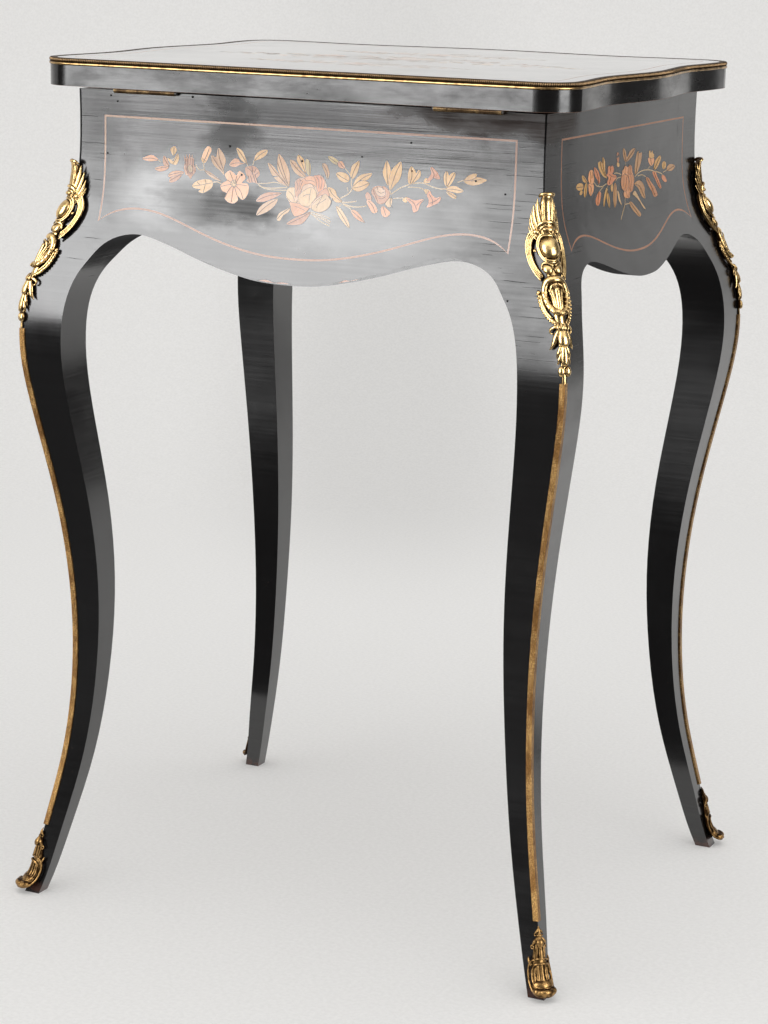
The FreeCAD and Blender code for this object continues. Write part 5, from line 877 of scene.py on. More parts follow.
# Veneers: tint, order from the bottom, outline
BACK_VENEERS = [
    (PEACH, 0, [(150, 649), (146.3, 651.2), (141.4, 652.7), (137.5, 651.7), (134.3, 648.9), (139.4, 647.6),
        (145.2, 647.5)]),
    (PEACH, 0, [(129.5, 652.6), (126.9, 651.3), (124.9, 647.8), (124, 644.8), (127, 643.8), (129.5, 645.5),
        (130.2, 649.2)]),
    (PEACH, 1, [(137.7, 641.6), (133.4, 643.7), (127.5, 644.4), (124, 644), (126.9, 641), (133.2, 639.6)]),
    (OCHRE, 0, [(123, 658.8), (119.1, 661.1), (116.9, 658.3), (118.1, 655.3), (120.4, 653.3),
                (122.4, 655.9)]),
    (OCHRE, 1, [(125.8, 651.1), (122.3, 650.1), (120.1, 648.7), (118.5, 652.4), (115.9, 655.3),
        (114.7, 651.4), (116.9, 646.2), (120.8, 646.2), (124.2, 648.1)]),
    (PINK, 0, [(109.9, 654.3), (108.3, 651.3), (107.6, 655.3), (106.1, 651.7), (104.9, 655.8), (103.5, 652),
        (102.5, 655.6), (101.6, 651.7), (100.6, 653.4), (100.7, 648), (98.8, 644.8), (99.2, 640.7),
        (101.6, 638), (103.3, 635.3), (105.9, 637.8), (108.1, 638.5), (109.4, 641.7), (110.1, 644.8),
        (109.2, 647.9), (109.8, 650.8)]),
    (CREAM, 1, [(106.2, 645), (104.1, 646.6), (101.9, 645.1), (101.5, 642.2), (103.6, 640.2),
                (105.7, 641.9)]),
    (PEACH, 0, [(124.8, 636.6), (121.5, 640.1), (115.8, 641.3), (109.9, 640.6), (112.2, 637.9),
        (118.5, 636.8), (122.3, 635.4)]),
    (PINK, 1, [(123.5, 631.7), (121.8, 635.8), (116.5, 637.3), (111.3, 639.1), (114, 634.8), (119.1, 631.7)]),
    (ORANGE, 1, [(93.3, 653.3), (91.6, 658.4), (88.3, 662.6), (84.9, 662.1), (84.2, 659), (86.2, 655.5),
        (88.5, 650.8), (91.2, 651.9)]),
    (OCHRE, 0, [(94.1, 652.6), (92.7, 653.9), (90, 652), (88.1, 651.3), (89.9, 649.2), (92.6, 649.2)]),
    (TAN, 0, [(84.6, 654.8), (82.9, 655.7), (80, 654.6), (79, 659.3), (77.7, 662.1), (74.6, 659.5),
        (71.3, 654.6), (70.8, 650.6), (72.2, 646.4), (72.2, 640.5), (75.9, 643.7), (80.3, 646.4),
        (83.7, 650.3)]),
    (TAN, 0, [(90.7, 643), (85.9, 642.3), (81, 639.7), (74, 635.4), (79.8, 636.2), (85.7, 638.8)]),
    (OCHRE, 0, [(101.5, 629.8), (97.9, 633.7), (91.3, 635.8), (84.8, 635.9), (82, 633.9), (82.7, 629.7),
        (86.7, 626.4), (91.3, 624.5), (95.1, 625.9), (93.4, 627.6), (97.9, 627.8)]),
    (OCHRE, 0, [(61, 662.9), (55.9, 661.4), (52.9, 656.7), (50.9, 650.9), (54.7, 652), (58.6, 655.9)]),
    (PEACH, 1, [(67.4, 649), (65.2, 652.6), (62.2, 654.5), (58.8, 653.8), (56.8, 651.6), (51.7, 651.3),
        (57, 649.7), (61.2, 647.6), (65, 647.5)]),
    (OCHRE, 0, [(44.4, 653.7), (43.5, 658), (38.9, 662.1), (32.6, 663), (33.2, 659.3), (37.8, 655.9),
        (42.5, 654)]),
    (ORANGE, 0, [(71.2, 641.3), (66.8, 644.5), (62.8, 642.7), (60.4, 641), (58.1, 644.6), (53.5, 642.6),
        (51.9, 639), (54.8, 635.2), (49.5, 634.7), (48.3, 629.8), (49.8, 624.7), (53.2, 621.6), (57, 623.6),
        (58.5, 624.7), (57.5, 621.1), (61.1, 618.3), (66.2, 618.9), (69.9, 621.8), (68.5, 625.9),
        (72.7, 627.5), (74.9, 631.3), (72.8, 634.2), (69.1, 636.3), (70.6, 638.9)]),
    (CREAM, 1, [(64.1, 636.2), (61.3, 636.8), (59.8, 634), (61.4, 631.3), (64.3, 632.1), (65.4, 634.1)]),
    (PINK, 0, [(52.5, 647.6), (48, 649.3), (43.1, 648.9), (39.7, 645.9), (39.1, 642.3), (41.8, 638.8),
        (39.7, 635.1), (44.4, 636.1), (48.4, 635.6), (51, 637), (49.6, 639.6), (51.8, 642.7)]),
    (TAN, 0, [(31.8, 652.8), (26.4, 650.2), (22.3, 645.4), (16.5, 640), (12.5, 635.2), (20.3, 637.2),
        (27.1, 642.5), (30.3, 648)]),
    (TAN, 1, [(22, 660.3), (17.1, 656.3), (13.2, 650), (11.3, 643.6), (12, 634.8), (17.7, 640.6), (22.4, 647),
        (23.2, 653.5)]),
    (PINK, 0, [(40.7, 621.6), (37.2, 626.2), (30.9, 629.1), (23.5, 629.6), (17.8, 629.2), (24, 625.1),
        (32, 621.8), (36.6, 621.1)]),
    (TAN, 1, [(38.4, 610.4), (37.8, 615.1), (33.6, 619.8), (27.5, 623), (21.1, 624.7), (22.4, 620),
        (26.5, 615.7), (31.6, 612.5)]),
    (CREAM, 0, [(19.6, 608.3), (18.3, 613.4), (13.4, 616.3), (8.9, 618.3), (10, 614.6), (14.2, 611.8),
        (16.4, 607.6)]),
    (TAN, 0, [(11.7, 656), (8, 655.9), (4.7, 653.3), (1.6, 649.5), (-2.3, 645.8), (-4.1, 642.6), (1.5, 643.4),
        (6.9, 646.4), (10.3, 650.9)]),
    (OCHRE, 1, [(4.2, 660.8), (0.4, 658.9), (-1.6, 655.7), (-2.3, 651.1), (-3.2, 646.2), (1, 650.1),
        (4.1, 653.9), (5.5, 657.2)]),
    (GREEN, 2, [(-2.5, 657.5), (-5.7, 656.9), (-7.3, 652.7), (-7.5, 648.1), (-6.8, 644.4), (-4.2, 646.2),
        (-2.6, 651.1)]),
    (TAN, 0, [(-17.8, 655.1), (-21.5, 654.7), (-23.5, 651.1), (-24.5, 647.8), (-22.9, 642.5), (-20.2, 647.9),
        (-18.3, 651.4)]),
    (ROSE, 3, [(6.6, 639.3), (3.7, 642.1), (-0.7, 642.9), (-4.4, 644.4), (-9.7, 644.4), (-12.7, 645.6),
        (-16, 646.1), (-19.8, 643.5), (-22.3, 638.5), (-23.8, 633.3), (-24.2, 628.1), (-21.1, 617.5),
        (-16.7, 616.4), (-12.1, 617.4), (-8.8, 619.1), (-6.3, 615.7), (-2.2, 613.5), (3.6, 611.8),
        (7.4, 615.6), (8.7, 619.4), (10.7, 623.2), (13.8, 627), (13.4, 631.6), (10.9, 634.5), (6.9, 634.8)]),
    (CREAM, 4, [(13.8, 628.8), (12.8, 633), (9.5, 634.5), (6.1, 634), (5.7, 628.8), (2.9, 623.7),
        (6.1, 622.1), (9.9, 623.8), (12.8, 626.2)]),
    (PINK, 4, [(6.3, 634), (6, 639.3), (3, 642), (1.2, 639.6), (1.8, 634.3), (0.2, 631.6), (2.6, 628.2),
        (3.2, 623.6), (5.4, 627.4)]),
    (PEACH, 5, [(1.4, 639.6), (-2.3, 642.8), (-5.9, 644.4), (-9.9, 644.3), (-12.2, 641.8), (-13.3, 636.6),
        (-9.4, 637.8), (-4.8, 638), (-1.1, 635.8), (-0.1, 631.8), (2, 634.3)]),
    (SALMON, 4, [(-9.7, 644.3), (-13.4, 645.6), (-16.5, 645.5), (-19.6, 642.9), (-20.7, 639), (-19.4, 634.3),
        (-15.8, 632), (-13.3, 635.3), (-12.5, 641)]),
    (CREAM, 6, [(2.5, 627.6), (-1.4, 631.9), (-6.3, 635), (-9.6, 635.4), (-12.7, 633.3), (-13.9, 628.7),
        (-11.3, 624.6), (-8.7, 621.1), (-4.2, 620.1), (0.7, 622.4)]),
    (PINK, 5, [(-15.8, 632), (-19.2, 634.3), (-22.3, 635.8), (-25.6, 630.8), (-24.3, 629.3), (-19.6, 630.3),
        (-13.9, 627.3), (-12.4, 628.6)]),
    (CREAM, 6, [(-10.1, 620.5), (-12.7, 624.1), (-16.8, 627.6), (-21.1, 631.2), (-24.3, 629.4),
        (-27.7, 625.1), (-25.3, 620.2), (-21.1, 617.3), (-16.7, 616.5), (-12, 617.7)]),
    (PEACH, 5, [(8.6, 619.3), (9.9, 622.6), (5.2, 622.4), (0.4, 621.9), (-4.3, 619.9), (-8.2, 619.1),
        (-5.6, 615.7), (-2.2, 613.5), (3.6, 611.8), (7.2, 615.5)]),
    (OCHRE, 2, [(-22.9, 636), (-26.6, 636.6), (-30.6, 634.4), (-32.4, 630.6), (-37.3, 626), (-32, 625.2),
        (-27.4, 628.2), (-24, 631.2)]),
    (PINK, 2, [(10.1, 605.3), (4.5, 610.1), (-3.5, 613.7), (-10.1, 616.3), (-6.2, 608.8), (-0.9, 605.5)]),
    (GREEN, 0, [(-22.6, 661), (-26.4, 661.2), (-30.3, 659.4), (-32.6, 657.5), (-31.9, 655), (-28, 655.5),
        (-24.6, 657.9)]),
    (PEACH, 1, [(-32.3, 657.5), (-35.5, 657.8), (-37.4, 655.2), (-38.3, 652.5), (-34, 652.5),
                (-31.6, 654.5)]),
    (OCHRE, 0, [(-30.3, 648), (-34.1, 649.5), (-39.4, 648.5), (-42.2, 646), (-42, 642.5), (-38.2, 641.3),
        (-33.7, 643), (-31.2, 645.6)]),
    (OCHRE, 0, [(-43.3, 650.9), (-44.3, 654.9), (-47.9, 657.8), (-50.6, 659.1), (-50.8, 654.7),
        (-49.1, 649.3), (-46.3, 645.1), (-44.3, 645), (-42.7, 647.6)]),
    (OCHRE, 0, [(-45.7, 639.2), (-48.2, 644.7), (-52.7, 648.4), (-57.8, 649.7), (-62.3, 650), (-60.3, 646.1),
        (-56.5, 643.8), (-51.4, 643.6), (-47.2, 638.6)]),
    (OCHRE, 1, [(-45.2, 637.6), (-50, 642.2), (-55.1, 643.8), (-60.1, 642.5), (-59.1, 639.4), (-54.8, 636.2),
        (-50.4, 634.9), (-46.7, 636)]),
    (OCHRE, 0, [(-71.7, 650.7), (-72.5, 655.3), (-74.6, 660.8), (-77.4, 657.6), (-78.7, 653.1),
        (-78.5, 647.2), (-76.8, 641.3), (-73.7, 645.5)]),
    (OCHRE, 1, [(-79, 638), (-77.1, 643.5), (-79, 652.7), (-83.2, 657.8), (-87.5, 660.6), (-88.5, 653.3),
        (-86.8, 646.7), (-83.1, 642.3)]),
    (CREAM, 0, [(-32.1, 621.9), (-35.6, 621.3), (-39.6, 617.6), (-44.8, 611.5), (-46.5, 606), (-40.7, 609.7),
        (-35.3, 615.2)]),
    (PEACH, 0, [(-45.4, 619.9), (-49.7, 620.2), (-54.5, 617.1), (-57.5, 613.5), (-59.3, 611.2),
        (-53.8, 612.5), (-48.9, 615.3)]),
    (PINK, 2, [(-62.5, 634.5), (-63.3, 638.5), (-67, 640.5), (-71.4, 640.4), (-74.5, 640.3), (-78.3, 636.8),
        (-78.6, 632.8), (-76.1, 628.8), (-71.8, 626.2), (-67.8, 627.6), (-65.3, 631.3)]),
    (ROSE, 3, [(-65.5, 637.8), (-70, 639.7), (-73.9, 637.8), (-74.9, 633.9), (-71.2, 632.3), (-67.3, 634)]),
    (PEACH, 1, [(-58.6, 627.7), (-61.2, 629.3), (-65.2, 626.9), (-68.6, 623.1), (-69, 619.9), (-65.3, 619),
        (-61.8, 622.6)]),
    (PEACH, 1, [(-71.9, 623.4), (-74.2, 625), (-79, 622), (-80.7, 620), (-78.9, 617.3), (-75.8, 616.5),
        (-72.9, 618.9)]),
    (PINK, 0, [(-57.2, 632.7), (-58.9, 635.2), (-61.8, 633.1), (-63, 629.3), (-59.8, 628.1), (-58, 630)]),
    (CREAM, 0, [(-75.3, 627.5), (-78.6, 631.6), (-81.2, 631.2), (-81.2, 627.3), (-80, 624.6),
                (-77.4, 624.8)]),
    (OCHRE, 0, [(-94.4, 644.4), (-93.7, 649.4), (-94.4, 654.4), (-96.5, 657.6), (-99.2, 655.7), (-100.8, 653),
        (-101.4, 652.9), (-102.7, 655.2), (-104.7, 654.4), (-105.1, 651.7), (-103.9, 648.8), (-100.4, 645.8),
        (-97.4, 643.7)]),
    (SALMON, 1, [(-110.1, 647.1), (-112.4, 650.5), (-114.1, 653.4), (-112.9, 656.7), (-114.5, 658.2),
        (-117.7, 655.8), (-120.3, 653.2), (-121.9, 649.4), (-119.1, 648.9), (-116, 649.5), (-113.2, 647.2)]),
    (OCHRE, 0, [(-107.6, 646), (-108.8, 648.9), (-110.6, 649.3), (-113.4, 647.9), (-113, 645.9),
        (-110.1, 645.3)]),
    (OCHRE, 0, [(-125.6, 645.8), (-124.7, 650.2), (-125.4, 654.1), (-127, 655.6), (-128.7, 654.3),
        (-129.4, 652.6), (-131.6, 654.6), (-134.3, 655), (-134.8, 652.5), (-133.2, 648.5), (-130.9, 645),
        (-128.2, 643.3), (-126.5, 644.7)]),
    (OCHRE, 0, [(-142.2, 649.5), (-145.5, 653.1), (-149.6, 655.1), (-153.3, 655.1), (-152.8, 653),
        (-157, 652.5), (-162, 650.9), (-159.4, 649), (-155.9, 647.2), (-150.6, 646), (-145.8, 646.5),
        (-142.9, 648)]),
    (OCHRE, 0, [(-126.6, 641.5), (-130.2, 644), (-135, 644.7), (-138.7, 643.5), (-142.5, 641.1),
        (-138.4, 639.2), (-134.7, 639.5), (-130.5, 640.1)]),
    (OCHRE, 1, [(-127.3, 640), (-130.5, 639.8), (-134.3, 638.5), (-136.5, 636.8), (-136.1, 634.7),
        (-132.6, 635.3), (-129.3, 637.4)]),
    (SALMON, 1, [(-111, 636.2), (-112.6, 639.1), (-114.1, 639.1), (-115.7, 636.5), (-119.3, 634.6),
        (-122.9, 635.5), (-123.3, 633.2), (-120.9, 630.2), (-116.8, 628.3), (-113.9, 626.8), (-111.4, 626.7),
        (-112.8, 629.2), (-112.8, 632.5)]),
    (OCHRE, 0, [(-108, 640.1), (-110.4, 640.8), (-113.6, 639.8), (-113, 637.7), (-110.3, 636.8),
        (-109, 638.3)]),
    (SALMON, 1, [(-93.6, 631.8), (-95.1, 633.1), (-97.5, 632.1), (-101.9, 631.5), (-106.7, 632.7),
        (-109, 632.1), (-106.9, 629.8), (-105.5, 627), (-104.6, 623.7), (-101.1, 621.8), (-99.4, 624),
        (-98.6, 627.2), (-95.9, 629.5)]),
    (OCHRE, 0, [(-90, 630.8), (-91.7, 632.8), (-94.4, 633.5), (-95.2, 631.9), (-94.1, 629.4), (-92, 629.1)]),
]
# Stems: width and points
BACK_STEMS = [
    (0.7, [(134.3, 648.9), (132.5, 647.6)]),
    (0.6, [(122.8, 648), (119.9, 651)]),
    (0.7, [(99, 647.3), (95.5, 643.4), (90.5, 643.5)]),
    (0.7, [(91.7, 649.1), (90.5, 643.5), (89.7, 642.5)]),
    (0.8, [(82, 633.9), (77.8, 634.5), (73.3, 632.7)]),
    (0.6, [(50.9, 650.9), (49.9, 648.4)]),
    (0.6, [(44.6, 653.9), (45.6, 649.7)]),
    (0.8, [(40.3, 635.3), (35.9, 632.9), (26.5, 632.7), (13.5, 634.1)]),
    (0.6, [(40.8, 635.6), (32.4, 636.2), (24, 637.5), (13.6, 635.1)]),
    (0.6, [(38.8, 633.7), (32.1, 631.7), (23.6, 631.4), (13.4, 631.9)]),
    (0.9, [(-44.3, 645), (-44.3, 640.5), (-45.1, 636.6), (-41.7, 632.2), (-35.4, 628.7)]),
    (0.7, [(-40.6, 637.7), (-41.9, 634.5)]),
    (0.8, [(-37.2, 625.7), (-42.3, 625.9), (-49.7, 627.2)]),
    (0.8, [(-37.3, 624.7), (-45.6, 622.9), (-53, 623), (-59.1, 624.2)]),
    (0.6, [(-38.1, 652.6), (-40.8, 650.1), (-42.7, 647.6)]),
    (0.7, [(-38.8, 623.8), (-44.3, 621.6), (-46, 619.8)]),
    (0.6, [(-36.6, 624), (-34.6, 621.9), (-33.5, 620.4)]),
    (0.8, [(-79.7, 634.5), (-85.5, 638.8), (-91.4, 641.8), (-99.7, 644.5), (-107.6, 645.1), (-115.6, 642.7),
        (-122.9, 641.6), (-127.1, 642.1)]),
    (0.7, [(-78.2, 638.1), (-79.9, 634.5)]),
    (0.6, [(-94.1, 641.3), (-104.2, 641.3), (-109.3, 639.7)]),
    (0.6, [(-82.1, 631.4), (-87.4, 632.2), (-91.5, 632.4)]),
    (0.6, [(-136.7, 647.7), (-142.2, 649.5)]),
    (0.6, [(-128.5, 642.5), (-127.7, 643.7)]),
    (0.6, [(-8.6, 615.2), (-18.8, 612.3), (-28.9, 608.2)]),
    (0.5, [(-9.8, 616.2), (-21.2, 614.3), (-28.1, 612.3)]),
    (0.6, [(-9.8, 615.6), (-19.5, 609.8), (-28.8, 606.4)]),
    (0.6, [(-10.9, 616.4), (-20.4, 613.1), (-29.2, 609.8)]),
]
# Engraved lines
BACK_LINES = [
    [(150, 649), (141.4, 649.9), (134.5, 648.9)],
    [(129.5, 651.7), (126.5, 647.3), (124.2, 644.5)],
    [(136.7, 641.5), (130.4, 642.9), (124.2, 644)],
    [(119.6, 659.8), (119.8, 653.6)],
    [(116.1, 654.2), (118.4, 649.5), (120.6, 646.5)],
    [(123.8, 637.1), (116.6, 639.2), (110.4, 640.4)],
    [(122.6, 632.6), (117.4, 635.8), (111.8, 638.6)],
    [(108.8, 650.9), (107.5, 641.8)],
    [(107.1, 651.8), (106.2, 639.4)],
    [(105.4, 652.3), (104.8, 638.2)],
    [(103.7, 652), (103, 638.3)],
    [(102.1, 651.7), (101.5, 639.3)],
    [(100.7, 650.5), (100.1, 641.4)],
    [(86.3, 661.3), (88.6, 655.4), (91.7, 649.8)],
    [(77.9, 661.4), (76.6, 653.6), (72.5, 643.9)],
    [(83.1, 654.5), (78.4, 648.5), (73, 643.1)],
    [(89.7, 642.7), (82.9, 639.6), (75, 635.9)],
    [(100.5, 629.7), (92.9, 631.1), (82.3, 633.6)],
    [(96.9, 633.3), (93.9, 631.1)],
    [(89.4, 635.6), (88.2, 632.1)],
    [(90.4, 625.1), (89.1, 631.4)],
    [(60.1, 662.2), (55.8, 657.3), (51.3, 651.2)],
    [(66.5, 649.3), (61.3, 650.8), (52.3, 651.3)],
    [(33.7, 662), (39.8, 658.2), (44.2, 653.9)],
    [(62, 633.9), (64.7, 639.5), (66.8, 643.5)],
    [(61.6, 634.3), (60, 640.6)],
    [(61.1, 633.9), (56.7, 640.8), (54.4, 642.2)],
    [(60.8, 633.4), (54.9, 633.5), (50.1, 633)],
    [(61, 632.7), (55.9, 628.5), (52.8, 622.2)],
    [(61.9, 632.3), (58.9, 625.1)],
    [(62.6, 632.2), (63.2, 625.6), (63.4, 619.1)],
    [(63.2, 632.6), (66.8, 628.7), (69.6, 622.8)],
    [(63.6, 633.4), (68.1, 632.7), (74.2, 631.1)],
    [(63.5, 634.2), (67.4, 636), (69.8, 637.1)],
    [(50.8, 647.7), (47, 645.5), (45, 642.3)],
    [(46.6, 649), (45.6, 645.6), (45.9, 642.3)],
    [(42.3, 647.4), (44.1, 644)],
    [(49.6, 641.2), (48, 636.4)],
    [(47.3, 641.4), (45.6, 636.2)],
    [(44.9, 641.9), (42.3, 636)],
    [(43.1, 642.5), (40.4, 635.7)],
    [(40.3, 644.3), (43.5, 642)],
    [(30.7, 652.2), (23.4, 644.5), (13.2, 635.7)],
    [(21.8, 659.3), (18, 648.9), (12.3, 635.8)],
    [(22.8, 653.1), (18.8, 644.8), (13.8, 637.7)],
    [(40.1, 622), (30.6, 626.1), (18.7, 629)],
    [(37.9, 611.1), (31.4, 617.5), (22, 624.2)],
    [(19.3, 608.6), (15.2, 613.4), (9.3, 617.9)],
    [(11.1, 655.4), (4.8, 649.3), (-3, 643.5)],
    [(3.9, 660.3), (0.4, 653.6), (-2.8, 646.8)],
    [(-5.9, 656.3), (-6.5, 645.1)],
    [(-18.3, 654.6), (-22.3, 648.3), (-23, 642.8)],
    [(-8.7, 634.7), (-7.8, 629.7), (-7.7, 623.1)],
    [(-16.4, 632.8), (-13.8, 627.4), (-9.8, 623.1)],
    [(-0.5, 639.7), (1, 635.7), (-0.3, 631.8)],
    [(-4.8, 638), (-8.5, 638.3), (-12.1, 635.1)],
    [(-2.3, 642.5), (-3.9, 640.6), (-8.4, 640.9), (-11.8, 639.8)],
    [(-12.7, 644.5), (-15.1, 641.3), (-15.4, 635.4)],
    [(-16.8, 644.7), (-18.1, 640.8), (-17.3, 634.9)],
    [(5.1, 639.4), (3.4, 635.5), (4.4, 631.5)],
    [(11.4, 631.1), (8.1, 628.6), (5.4, 624.2)],
    [(-14.4, 622.2), (-18.6, 624.5), (-22.8, 627.4)],
    [(4.8, 619.7), (0.2, 618.7), (-4.6, 617)],
    [(-1.8, 628), (-4.6, 629.5), (-8.4, 629.7)],
    [(-19.6, 630.4), (-17.1, 625), (-14.7, 619.7)],
    [(-24.8, 635.7), (-28.5, 631), (-36.4, 626.2)],
    [(-28.7, 628.4), (-26.4, 621.7)],
    [(8.5, 605.7), (-1, 610.5), (-9.2, 615.5)],
    [(-23, 660.8), (-27.9, 657.9), (-32.1, 655.5)],
    [(-32.8, 657.2), (-35.5, 654.4), (-37.9, 652.6)],
    [(-30.8, 647.9), (-35.8, 645.2), (-41.5, 642.8)],
    [(-50.3, 658.6), (-46.6, 651.8), (-44.3, 645.2)],
    [(-61.8, 649.6), (-54.2, 645.7), (-46.4, 639.3)],
    [(-59.6, 642.1), (-53.1, 639.1), (-45.8, 637.3)],
    [(-74.8, 660), (-75.4, 651.6), (-76.4, 642.5)],
    [(-87.2, 659.7), (-82.8, 650.3), (-79.2, 638.7)],
    [(-32.9, 621.3), (-39.7, 613.8), (-46, 606.5)],
    [(-46, 619.7), (-51.7, 616.3), (-58.8, 611.5)],
    [(-63.5, 638.1), (-65.4, 634), (-68.6, 628.4)],
    [(-67, 640.3), (-67.9, 637.4)],
    [(-71.4, 640.3), (-73, 637.8)],
    [(-68, 636.2), (-71, 635), (-74.2, 636.2)],
    [(-69.1, 631), (-72.1, 630.6), (-75.6, 632.7)],
    [(-60.6, 627.9), (-64.7, 624.3), (-67, 619.9)],
    [(-73.8, 624.2), (-77.2, 618)],
    [(-80.3, 633), (-79.7, 627.8), (-82, 624.6)],
    [(-96.3, 656.9), (-97.4, 650.7), (-96.1, 644.3)],
    [(-103.7, 654.4), (-100.8, 649.3), (-97.4, 644.1)],
    [(-113.9, 657.2), (-116.5, 652.4), (-115.7, 649.6)],
    [(-127, 655.3), (-127, 649.2), (-127.9, 643.9)],
    [(-134.1, 654.5), (-131.2, 649.5), (-128.4, 643.9)],
    [(-142.6, 649.1), (-148.6, 650.1), (-153.3, 652.8), (-152.8, 653)],
    [(-148.6, 649.5), (-156.9, 651.1)],
    [(-127.3, 641.5), (-133.4, 642), (-141.9, 641.1)],
    [(-127.8, 639.8), (-131.8, 638.1), (-136.2, 635.7)],
    [(-113.1, 636.9), (-116.5, 632.2), (-116.1, 628.9)],
    [(-113.6, 629.8), (-118.3, 631.8), (-122.6, 634.8)],
    [(-95.1, 631.9), (-100.3, 629), (-103.2, 624.3)],
    [(-102.9, 627.5), (-105.6, 630.4), (-108.4, 632)],
]
